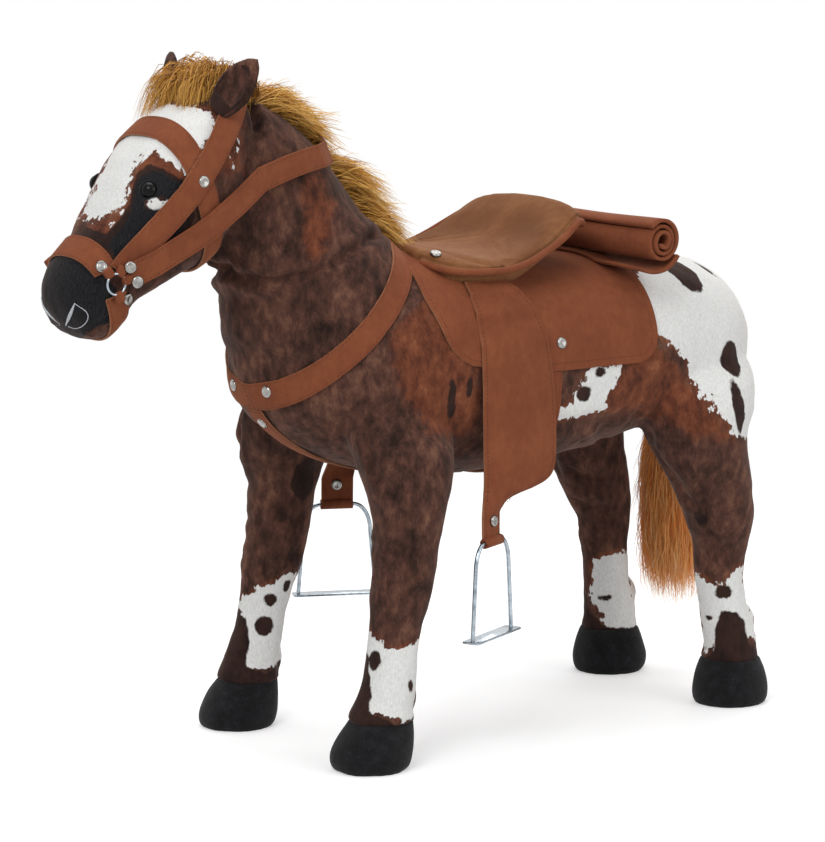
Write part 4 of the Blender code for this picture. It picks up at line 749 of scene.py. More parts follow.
def evaluated_mesh(piece: Object) -> Mesh:
    """A new mesh with the object's modifiers applied."""
    bpy.context.view_layer.update()
    graph = bpy.context.evaluated_depsgraph_get()
    return bpy.data.meshes.new_from_object(piece.evaluated_get(graph))


def remeshed(bm: BMesh, voxel: float) -> Mesh:
    """One closed skin round everything in a bmesh.

    Args:
        bm: overlapping closed solids; it is freed.
        voxel: the new mesh's spacing.

    Returns:
        The skin.
    """
    data = bpy.data.meshes.new("remesh_source")
    bm.to_mesh(data)
    bm.free()
    piece = placed("remesh_source", data)
    modifier = piece.modifiers.new("voxels", "REMESH")
    modifier.mode = "VOXEL"
    modifier.voxel_size = voxel
    made = evaluated_mesh(piece)
    bpy.data.objects.remove(piece)
    return made


def subdivided(mesh: Mesh) -> Mesh:
    """A mesh after one level of subdivision."""
    piece = placed("subdivision", mesh)
    piece.modifiers.new("smooth", "SUBSURF").levels = 1
    made = evaluated_mesh(piece)
    bpy.data.objects.remove(piece)
    return made


def points_of(mesh: Mesh) -> np.ndarray:
    """A mesh's vertices, one a row."""
    found = np.empty(len(mesh.vertices) * 3)
    mesh.vertices.foreach_get("co", found)
    return found.reshape(-1, 3)


def set_points(mesh: Mesh, points: np.ndarray) -> None:
    """Move a mesh's vertices."""
    mesh.vertices.foreach_set("co", points.ravel())
    mesh.update()


def normals_of(mesh: Mesh) -> np.ndarray:
    """A mesh's vertex normals, one a row."""
    found = np.empty(len(mesh.vertices) * 3)
    mesh.vertex_normals.foreach_get("vector", found)
    return found.reshape(-1, 3)


def tree_of(mesh: Mesh) -> BVHTree:
    """A mesh's faces, ready for rays."""
    places = [Vector(p) for p in points_of(mesh)]
    return BVHTree.FromPolygons(places, [tuple(f.vertices) for f in mesh.polygons])


def relaxed(mesh: Mesh, rounds: int) -> None:
    """Smooth a mesh in place for some rounds, swelling it back each time so it hardly shrinks."""
    edges = np.empty(len(mesh.edges) * 2, dtype=np.int64)
    mesh.edges.foreach_get("vertices", edges)
    edges = edges.reshape(-1, 2)
    count = len(mesh.vertices)
    degree = np.bincount(edges.ravel(), minlength=count).astype(float)[:, None]
    points = points_of(mesh)
    for _ in range(rounds):
        for weight in SMOOTHING:
            total = np.zeros_like(points)
            for axis in range(3):
                total[:, axis] = np.bincount(edges[:, 0], points[edges[:, 1], axis], count)
                total[:, axis] += np.bincount(edges[:, 1], points[edges[:, 0], axis], count)
            points += weight * (total / degree - points)
    set_points(mesh, points)


def add_attribute(mesh: Mesh, name: str, values: np.ndarray) -> None:
    """Store a number for each vertex."""
    made = mesh.attributes.new(name, "FLOAT", "POINT")
    made.data.foreach_set("value", values.astype(np.float32))


def curved(a: float, b: float, c: float, d: float, t: float) -> float:
    """A value between b and c on the smooth curve through a, b, c and d."""
    return b + 0.5 * ((c - a) * t + (2 * a - 5 * b + 4 * c - d) * t * t + (3 * b - a - 3 * c + d) * t**3)


def curved_rows(rows: Sequence[Row], steps: int) -> list[Row]:
    """Rows of numbers on a smooth curve through the given rows.

    Args:
        rows: the rows.
        steps: how many steps lie in each gap.

    Returns:
        The finer rows.
    """
    found = []
    last = len(rows) - 1
    for index in range(last):
        run = (rows[max(index - 1, 0)], rows[index], rows[index + 1], rows[min(index + 2, last)])
        for step in range(steps):
            found.append(tuple(curved(a, b, c, d, step / steps) for a, b, c, d in zip(*run)))
    found.append(rows[last])
    return found


@dataclass
class Section:
    """One rounded section of a loft: its middle, its two directions and its half sizes."""

    centre: Vector
    side: Vector
    up: Vector
    half_side: float
    half_up: float
    power: float = 2.0

    def place(self, angle: float) -> Vector:
        """The point of the section at an angle."""
        across = math.copysign(abs(math.cos(angle)) ** (2 / self.power), math.cos(angle))
        rise = math.copysign(abs(math.sin(angle)) ** (2 / self.power), math.sin(angle))
        return self.centre + self.side * (self.half_side * across) + self.up * (self.half_up * rise)


def add_ring(bm: BMesh, section: Section, count: int) -> list[bmesh.types.BMEdge]:
    """A ring of vertices round a section.

    Args:
        bm: the bmesh.
        section: the section.
        count: how many vertices.

    Returns:
        The ring's edges.
    """
    verts = bmesh.ops.create_circle(bm, radius=1.0, segments=count)["verts"]
    for vert in verts:
        vert.co = section.place(math.atan2(vert.co.y, vert.co.x)) + STANCE
    return list({edge for vert in verts for edge in vert.link_edges})


def loft(
    bm: BMesh,
    sections: Sequence[Section],
    count: int,
    first_tip: Vector | None = None,
    last_tip: Vector | None = None,
) -> None:
    """Add a closed skin over sections to a bmesh.

    Args:
        bm: the bmesh.
        sections: the sections, in order.
        count: vertices in each ring.
        first_tip: the point in front of the first ring, or None for a flat end.
        last_tip: the point behind the last ring, or None for a flat end.
    """
    rings = [add_ring(bm, section, count) for section in sections]
    for near, far in zip(rings, rings[1:]):
        bmesh.ops.bridge_loops(bm, edges=near + far)
    for ring, tip in ((rings[0], first_tip), (rings[-1], last_tip)):
        cap = bmesh.ops.contextual_create(bm, geom=ring)["faces"]
        poked = bmesh.ops.poke(bm, faces=cap)["verts"]
        if tip is not None:
            poked[0].co = tip + STANCE
    bmesh.ops.recalc_face_normals(bm, faces=bm.faces)


def standing_section(top: Vector, bottom: Vector, half_width: float, power: float = 2.0) -> Section:
    """A section that stands between a point of the top line and one of the bottom line."""
    rise = top - bottom
    return Section((top + bottom) / 2, SIDEWAYS, rise.normalized(), half_width, rise.length / 2, power)


@dataclass
class PonyForm:
    """The stuffed animal's lofts, with the part's own sizes and stations."""

    wheelbase: float = 0.500
    front_track: float = 0.245
    rear_track: float = 0.216
    barrel: Row = (-0.316, 0.634, 0.262, 0.234, 0.398)
    neck: Row = (0.120, 0.385, 0.275, 0.305, 0.236)
    head: Row = (0.322, 0.450, 0.224, 0.242, 0.134)
    front_leg: Row = (0.385, 0.054, 0.110)
    rear_leg: Row = (0.400, -0.050, 0.140)
    hoof: Row = (0.084, 0.079, 0.050)
    fetlock: Row = (0.072, 0.086)
    fetlock_size: Row = (0.012, 0.015, 0.019)
    fetlock_back: float = 0.82
    ankle_sunk: float = 0.94
    ankle_narrow: float = 0.98
    head_power: float = 2.5
    hoof_power: float = 2.15
    barrel_rows: tuple[Row, ...] = (
        (0.016, -0.034, 0.43, 0.385, 2.1),
        (0.054, -0.017, 0.69, 0.615, 2.2),
        (0.128, 0.004, 0.90, 0.770, 2.3),
        (0.238, 0.017, 0.98, 0.840, 2.4),
        (0.364, -0.021, 0.99, 0.880, 2.4),
        (0.514, -0.051, 1.00, 0.940, 2.4),
        (0.640, -0.017, 1.00, 0.995, 2.4),
        (0.735, 0.009, 0.99, 0.995, 2.4),
        (0.822, 0.017, 0.93, 0.905, 2.3),
        (0.901, 0.017, 0.78, 0.725, 2.2),
        (0.956, 0.000, 0.55, 0.480, 2.1),
        (0.984, -0.013, 0.34, 0.280, 2.0),
    )
    neck_rows: tuple[Row, ...] = (
        (0.000, 0.377, 0.698, 0.000, 0.95),
        (0.145, 0.485, 0.745, 0.131, 0.82),
        (0.273, 0.613, 0.778, 0.262, 0.70),
        (0.400, 0.757, 0.815, 0.387, 0.62),
        (0.538, 0.882, 0.862, 0.485, 0.56),
        (0.702, 0.977, 0.924, 0.574, 0.49),
    )
    head_rows: tuple[Row, ...] = (
        (0.071, 0.983, 0.098, 0.587, 0.70),
        (0.223, 0.992, 0.179, 0.405, 0.90),
        (0.402, 0.915, 0.295, 0.289, 1.05),
        (0.575, 0.785, 0.418, 0.240, 1.06),
        (0.708, 0.620, 0.530, 0.195, 0.90),
        (0.811, 0.475, 0.622, 0.150, 0.745),
        (0.849, 0.425, 0.664, 0.122, 0.705),
        (0.892, 0.387, 0.706, 0.076, 0.712),
        (0.957, 0.322, 0.781, 0.014, 0.700),
        (0.993, 0.240, 0.848, 0.000, 0.620),
        (1.000, 0.165, 0.902, 0.025, 0.470),
    )
    front_leg_rows: tuple[Row, ...] = (
        (1.000, 1.02, 0.60, 0.36, 0.27),
        (0.909, 1.00, 0.73, 0.50, 0.38),
        (0.831, 1.00, 0.84, 0.49, 0.43),
        (0.753, 1.02, 0.91, 0.43, 0.39),
        (0.662, 1.00, 0.94, 0.345, 0.335),
        (0.558, 0.91, 0.945, 0.310, 0.310),
        (0.455, 0.78, 0.955, 0.290, 0.290),
        (0.377, 0.65, 0.965, 0.248, 0.245),
        (0.299, 0.54, 0.98, 0.240, 0.232),
        (0.221, 0.42, 1.00, 0.262, 0.245),
        (0.156, 0.24, 1.00, 0.288, 0.270),
    )
    rear_leg_rows: tuple[Row, ...] = (
        (1.000, 0.90, 0.65, 0.50, 0.25),
        (0.912, 0.90, 0.79, 0.57, 0.34),
        (0.825, 0.94, 0.90, 0.50, 0.36),
        (0.745, 1.00, 0.96, 0.42, 0.34),
        (0.662, 0.80, 1.00, 0.355, 0.305),
        (0.588, 0.56, 0.99, 0.315, 0.270),
        (0.512, 0.36, 0.97, 0.280, 0.250),
        (0.445, 0.28, 0.94, 0.218, 0.207),
        (0.375, 0.28, 0.92, 0.193, 0.193),
        (0.300, 0.21, 0.92, 0.186, 0.182),
        (0.237, 0.12, 0.94, 0.196, 0.186),
        (0.180, 0.02, 0.97, 0.207, 0.200),
    )
    hoof_rows: tuple[Row, ...] = (
        (0.00, 0.00, 0.890),
        (0.12, 0.00, 0.975),
        (0.36, 0.12, 1.000),
        (0.70, 0.55, 0.910),
        (1.00, 1.00, 0.770),
    )

    def barrel_place(self, along: float, level: float) -> Vector:
        """A point of the barrel's middle plane."""
        rear, length, _, depth, height = self.barrel
        return Vector((rear + along * length, 0.0, height + level * depth))

    def neck_place(self, along: float, up: float) -> Vector:
        """A point of the neck's middle plane."""
        x, z, reach, rise, _ = self.neck
        return Vector((x + along * reach, 0.0, z + up * rise))

    def head_place(self, along: float, up: float) -> Vector:
        """A point of the head's middle plane."""
        x, z, length, height, _ = self.head
        return Vector((x + along * length, 0.0, z + up * height))

    def add_barrel(self, bm: BMesh) -> None:
        """Add the barrel."""
        _, _, width, depth, _ = self.barrel
        sections = [
            Section(self.barrel_place(x, z), SIDEWAYS, UPWARD, w * width / 2, d * depth / 2, power)
            for x, z, w, d, power in curved_rows(self.barrel_rows, 4)
        ]
        loft(bm, sections, 64, self.barrel_place(0.0, -0.043), self.barrel_place(1.0, -0.026))

    def add_neck(self, bm: BMesh) -> None:
        """Add the neck."""
        sections = [
            standing_section(self.neck_place(a, b), self.neck_place(c, d), w * self.neck[4] / 2)
            for a, b, c, d, w in curved_rows(self.neck_rows, 6)
        ]
        loft(bm, sections, 56)

    def add_head(self, bm: BMesh) -> None:
        """Add the head with its muzzle."""
        sections = [
            standing_section(
                self.head_place(a, b), self.head_place(c, d), w * self.head[4] / 2, self.head_power
            )
            for a, b, c, d, w in curved_rows(self.head_rows, 5)
        ]
        loft(bm, sections, 56, self.head_place(0.0, 0.806), self.head_place(0.978, 0.091))

    def leg_sections(self, front: bool, side: Side) -> list[Section]:
        """One leg's sections, from inside the body down into the hoof.

        Args:
            front: whether it is a front leg.
            side: the side.

        Returns:
            The sections.
        """
        top, lean, thickness = self.front_leg if front else self.rear_leg
        track = self.front_track if front else self.rear_track
        toe = self.wheelbase / 2 * (1 if front else -1)
        rows = self.front_leg_rows if front else self.rear_leg_rows
        found = []
        for up, back, out, half_x, half_y in curved_rows(rows, 4):
            centre = Vector((toe - back * lean, out * track / 2 * side.value, up * top))
            found.append(Section(centre, SIDEWAYS, FORWARD, half_y * thickness, half_x * thickness))
        last = found[-1]
        seat = Vector((last.centre.x, last.centre.y, self.hoof[2] * self.ankle_sunk))
        half = (last.half_side * self.ankle_narrow, last.half_up * self.ankle_narrow)
        found.append(Section(seat, SIDEWAYS, FORWARD, *half))
        return found

    def add_fetlock(self, bm: BMesh, front: bool, side: Side) -> None:
        """Add the bump behind one fetlock."""
        level = self.fetlock[0] if front else self.fetlock[1]
        leg = self.leg_sections(front, side)
        near = min(leg, key=lambda section: abs(section.centre.z - level))
        place = near.centre - FORWARD * (near.half_up * self.fetlock_back) + STANCE
        size = Matrix.Translation(place) @ Matrix.Diagonal((*self.fetlock_size, 1.0))
        bmesh.ops.create_uvsphere(bm, u_segments=20, v_segments=12, radius=1.0, matrix=size)

    def hoof_sections(self, front: bool, side: Side) -> list[Section]:
        """One hoof's sections, from the sole up."""
        ankle = self.leg_sections(front, side)[-1].centre
        toe = self.wheelbase / 2 * (1 if front else -1)
        length, width, height = self.hoof
        found = []
        for up, back, wide in curved_rows(self.hoof_rows, 3):
            centre = Vector((toe + (ankle.x - toe) * back, ankle.y, up * height))
            half = (wide * width / 2, wide * length / 2)
            found.append(Section(centre, SIDEWAYS, FORWARD, *half, self.hoof_power))
        return found

    def crest(self, share: float) -> tuple[Vector, Vector]:
        """A point along the crest, from withers to poll, and the way up from it."""
        rows = []
        for a, b, c, d, _ in self.neck_rows:
            place = self.neck_place(a, b)
            rows.append((*place, *(place - self.neck_place(c, d)).normalized()))
        fine = curved_rows(rows, 24)
        row = fine[min(round(share * (len(fine) - 1)), len(fine) - 1)]
        return Vector(row[:3]), Vector(row[3:])


@dataclass(frozen=True)
class Patch:
    """A painted region, outlined in the photograph's pixels and kept to one part of the pony."""

    coat: Coat
    outline: tuple[Pixel, ...]
    low: Row = (-1.0, -1.0, -1.0)
    high: Row = (1.0, 1.0, 1.0)
    both_sides: bool = True


@dataclass(frozen=True)
class Spot:
    """An oval dab of paint, centred where a pixel's line of sight meets the skin."""

    coat: Coat
    pixel: Pixel
    width_mm: float
    height_mm: float
    both_sides: bool = True


@dataclass(frozen=True)
class Fold:
    """A sewn crease or soft wrinkle that runs over the skin between pixels."""

    route: tuple[Pixel, ...]
    width_mm: float
    depth_mm: float
    both_sides: bool = True


REAR = {"low": (-1.0, 0.0, 0.20), "high": (0.02, 1.0, 1.0)}
FACE = {"low": (0.33, -1.0, 0.44), "high": (1.0, 1.0, 1.0)}
FRONT_LEFT = {"low": (0.12, 0.03, 0.0), "high": (0.33, 0.3, 0.20), "both_sides": False}
FRONT_RIGHT = {"low": (0.12, -0.3, 0.0), "high": (0.33, -0.03, 0.20), "both_sides": False}
REAR_LEFT = {"low": (-0.36, 0.03, 0.0), "high": (-0.12, 0.3, 0.20), "both_sides": False}
REAR_RIGHT = {"low": (-0.36, -0.3, 0.0), "high": (-0.12, -0.03, 0.20), "both_sides": False}

PATCHES = (
    Patch(
        Coat.WHITE,
        (
            (626, 300), (640, 268), (668, 246), (690, 246), (714, 268), (766, 290), (772, 340),
            (772, 442), (737, 436), (728, 424), (720, 412), (709, 397), (694, 385), (688, 360),
            (664, 336), (640, 322),
        ),
        **REAR,
    ),
    Patch(
        Coat.WHITE,
        (
            (590, 366), (622, 366), (617, 380), (604, 400), (604, 408), (556, 422), (554, 412),
            (569, 405), (580, 388),
        ),
        **REAR,
    ),
    Patch(
        Coat.WHITE,
        (
            (128, 122), (149, 112), (168, 104), (212, 110), (215, 130), (209, 139), (200, 147),
            (193, 160), (189, 176), (177, 168), (168, 160), (156, 152), (143, 156), (134, 166),
            (129, 184), (127, 199), (117, 208), (105, 215), (86, 221), (84, 206), (93, 190), (100, 176),
            (104, 160), (104, 140),
        ),
        **FACE,
    ),
    Patch(
        Coat.WHITE,
        (
            (364, 640), (370, 632), (380, 640), (390, 652), (410, 646), (424, 640), (424, 700),
            (412, 718), (400, 722), (384, 714), (366, 714), (364, 690),
        ),
        **FRONT_LEFT,
    ),
    Patch(
        Coat.WHITE,
        ((238, 600), (262, 588), (296, 572), (292, 620), (280, 668), (256, 669), (244, 664), (240, 630)),
        **FRONT_RIGHT,
    ),
    Patch(
        Coat.WHITE,
        (
            (691, 573), (703, 578), (713, 583), (719, 592), (722, 586), (729, 577), (740, 567),
            (750, 600), (757, 640), (742, 634), (735, 624), (729, 624), (724, 610), (720, 612),
            (726, 630), (717, 634), (716, 647), (706, 652), (698, 610),
        ),
        **REAR_LEFT,
    ),
    Patch(
        Coat.WHITE,
        (
            (593, 560), (604, 556), (630, 550), (634, 592), (640, 612), (638, 630), (612, 634),
            (604, 624), (606, 617), (594, 604), (589, 594), (593, 582),
        ),
        **REAR_RIGHT,
    ),
    Patch(Coat.DARK, ((358, 668), (368, 674), (366, 696), (352, 722), (340, 722), (348, 690)), **FRONT_LEFT),
    Patch(Coat.DARK, ((232, 610), (246, 618), (250, 640), (244, 668), (228, 672), (224, 640)), **FRONT_RIGHT),
    Patch(
        Coat.DARK,
        (
            (134, 182), (139, 171), (150, 164), (163, 168), (176, 177), (194, 184), (194, 220),
            (170, 262), (140, 270), (112, 262), (100, 240), (118, 222), (129, 205),
        ),
        **FACE,
    ),
    Patch(
        Coat.BLACK,
        (
            (136, 186), (141, 176), (151, 170), (163, 173), (175, 181), (190, 188), (190, 214),
            (172, 244), (158, 262), (140, 266), (120, 262), (106, 246), (122, 228), (132, 210),
        ),
        **FACE,
    ),
    Patch(Coat.DARK, ((84, 226), (110, 236), (136, 250), (122, 272), (96, 256), (70, 244)), **FACE),
    Patch(
        Coat.RUST,
        (
            (142, 156), (160, 152), (180, 158), (192, 172), (184, 190), (150, 174), (138, 186),
            (134, 206), (118, 222),
        ),
        **FACE,
    ),
    Patch(
        Coat.RUST,
        ((88, 226), (105, 216), (120, 210), (128, 220), (116, 238), (98, 244), (84, 240)),
        **FACE,
    ),
    Patch(Coat.RUST, ((200, 138), (214, 130), (240, 128), (244, 170), (214, 176), (186, 160)), **FACE),
    Patch(Coat.RUST, ((392, 330), (425, 300), (470, 350), (484, 400), (470, 440), (430, 430), (400, 390))),
    Patch(Coat.RUST, ((300, 186), (318, 176), (336, 205), (330, 240), (312, 262), (302, 240), (306, 214))),
    Patch(
        Coat.RUST,
        (
            (604, 380), (650, 345), (672, 360), (692, 392), (720, 420), (738, 444), (700, 436),
            (660, 416), (600, 412),
        ),
    ),
    Patch(Coat.RUST, ((86, 138), (104, 150), (103, 174), (98, 192), (82, 192)), **FACE),
    Patch(
        Coat.BLACK,
        (
            (30, 240), (60, 250), (84, 262), (104, 276), (116, 288), (124, 306), (112, 322), (98, 327),
            (86, 333), (78, 350), (30, 350),
        ),
        **FACE,
    ),
)

ANKLES = (
    Patch(
        Coat.DARK,
        (
            (362, 636), (368, 655), (372, 690), (368, 713), (384, 719), (400, 727), (412, 719),
            (424, 702), (440, 720), (430, 750), (330, 750), (340, 700),
        ),
        both_sides=False,
    ),
    Patch(
        Coat.DARK,
        (
            (228, 596), (239, 608), (247, 632), (242, 655), (247, 668), (268, 673), (280, 660),
            (290, 690), (280, 704), (195, 704), (216, 640),
        ),
        both_sides=False,
    ),
    Patch(
        Coat.DARK,
        (
            (580, 580), (588, 598), (589, 612), (603, 627), (640, 628), (650, 640), (560, 644),
            (568, 600),
        ),
        both_sides=False,
    ),
    Patch(
        Coat.DARK,
        (
            (714, 652), (716, 626), (722, 611), (735, 611), (745, 623), (748, 646), (770, 655),
            (770, 685), (690, 685), (700, 660),
        ),
        both_sides=False,
    ),
)

SPOTS = (
    Spot(Coat.DARK, (681, 271), 34.0, 52.0),
    Spot(Coat.DARK, (705, 269), 9.0, 24.0, False),
    Spot(Coat.DARK, (729, 358), 26.0, 32.0),
    Spot(Coat.DARK, (739, 407), 16.0, 48.0),
    Spot(Coat.DARK, (584, 394), 16.0, 15.0),
    Spot(Coat.DARK, (600, 372), 13.0, 9.0),
    Spot(Coat.DARK, (375, 661), 12.0, 18.0, False),
    Spot(Coat.DARK, (411, 686), 8.0, 12.0, False),
    Spot(Coat.DARK, (270, 600), 13.0, 12.0, False),
    Spot(Coat.DARK, (264, 626), 17.0, 18.0, False),
    Spot(Coat.DARK, (287, 586), 8.0, 12.0, False),
    Spot(Coat.DARK, (607, 598), 14.0, 6.0, False),
    Spot(Coat.DARK, (630, 580), 6.0, 8.0, False),
    Spot(Coat.DARK, (640, 610), 10.0, 18.0, False),
    Spot(Coat.DARK, (724, 592), 16.0, 13.0, False),
    Spot(Coat.DARK, (709, 618), 10.0, 5.0, False),
    Spot(Coat.DARK, (452, 400), 9.0, 34.0),
    Spot(Coat.DARK, (470, 388), 7.0, 20.0),
    Spot(Coat.DARK, (384, 318), 18.0, 22.0),
    Spot(Coat.DARK, (305, 478), 26.0, 40.0, False),
    Spot(Coat.DARK, (416, 700), 9.0, 40.0, False),
    Spot(Coat.WHITE, (158, 204), 22.0, 11.0),
    Spot(Coat.WHITE, (238, 146), 3.5, 9.0),
    Spot(Coat.WHITE, (232, 160), 3.0, 8.0),
    Spot(Coat.WHITE, (198, 166), 4.0, 5.0),
    Spot(Coat.WHITE, (122, 214), 3.5, 4.0),
    Spot(Coat.WHITE, (112, 224), 3.0, 4.0),
    Spot(Coat.WHITE, (700, 392), 5.0, 6.0),
    Spot(Coat.WHITE, (712, 410), 4.0, 6.0),
)

FOLDS = (
    Fold(((373, 545), (395, 553), (421, 546)), 4.2, 1.5, False),
    Fold(((375, 577), (400, 583), (424, 573)), 3.8, 1.1, False),
    Fold(((370, 505), (392, 514), (412, 510)), 4.6, 1.2, False),
    Fold(((244, 507), (262, 514), (281, 509)), 4.2, 1.3, False),
    Fold(((243, 547), (261, 553), (279, 547)), 3.8, 1.2, False),
    Fold(((571, 470), (600, 478), (632, 470)), 4.2, 1.6, False),
    Fold(((577, 501), (605, 509), (633, 501)), 4.2, 1.5, False),
    Fold(((581, 531), (607, 537), (632, 529)), 3.8, 1.2, False),
    Fold(((690, 541), (715, 549), (741, 541)), 4.2, 1.3, False),
    Fold(((684, 500), (712, 506), (738, 497)), 4.6, 1.1, False),
    Fold(((214, 262), (240, 276), (276, 281), (312, 274), (346, 256), (372, 236), (384, 222)), 5.5, 7.0),
    Fold(((236, 300), (262, 306), (292, 300), (318, 286)), 7.0, 2.2),
    Fold(((276, 322), (300, 318), (330, 300), (350, 280)), 8.0, 1.6),
    Fold(((246, 352), (276, 364), (306, 356)), 9.0, 1.8),
    Fold(((300, 440), (326, 424), (350, 420)), 9.0, 2.2),
    Fold(((364, 404), (366, 430), (372, 462), (380, 480)), 5.0, 4.0),
    Fold(((392, 444), (418, 432), (446, 436)), 9.0, 2.0),
    Fold(((380, 482), (408, 470), (438, 476)), 6.0, 2.0),
    Fold(((376, 512), (400, 520), (430, 512)), 6.0, 1.6),
    Fold(((374, 548), (400, 556), (430, 546)), 5.0, 1.8),
    Fold(((372, 590), (398, 596), (424, 590)), 5.0, 1.4),
    Fold(((250, 470), (280, 460), (316, 472)), 7.0, 2.0, False),
    Fold(((248, 520), (272, 528), (300, 518)), 6.0, 1.6, False),
    Fold(((244, 556), (270, 564), (298, 552)), 5.0, 1.8, False),
    Fold(((636, 416), (652, 446), (672, 474), (688, 500)), 7.0, 3.4),
    Fold(((560, 424), (600, 420), (640, 410)), 8.0, 2.0),
    Fold(((706, 470), (722, 486), (744, 490)), 8.0, 1.8),
    Fold(((690, 548), (714, 556), (744, 544)), 5.0, 2.0),
    Fold(((568, 470), (600, 478), (640, 470)), 6.0, 1.8, False),
    Fold(((576, 500), (606, 508), (640, 498)), 6.0, 1.8, False),
    Fold(((582, 534), (606, 540), (634, 530)), 5.0, 1.8, False),
    Fold(((78, 341), (86, 331), (97, 325), (110, 318), (121, 303)), 2.2, 2.2),
    Fold(((126, 236), (140, 226), (150, 212)), 5.0, 1.2),
)


def inside_distance(pixels: np.ndarray, outline: Sequence[Pixel]) -> np.ndarray:
    """How far each pixel lies inside an outline, negative outside it.

    Args:
        pixels: places, one a row.
        outline: the outline's corners.

    Returns:
        Distances in pixels.
    """
    corners = np.array(outline, dtype=float)
    nearest = np.full(len(pixels), 1e9)
    inside = np.zeros(len(pixels), dtype=bool)
    for start, end in zip(corners, np.roll(corners, -1, axis=0)):
        step = end - start
        nearest = np.minimum(nearest, to_segment(pixels, start, end)[0])
        spans = (start[1] > pixels[:, 1]) != (end[1] > pixels[:, 1])
        rise = step[1] if abs(step[1]) > TINY else TINY
        inside ^= spans & (pixels[:, 0] < step[0] * (pixels[:, 1] - start[1]) / rise + start[0])
    return np.where(inside, nearest, -nearest)


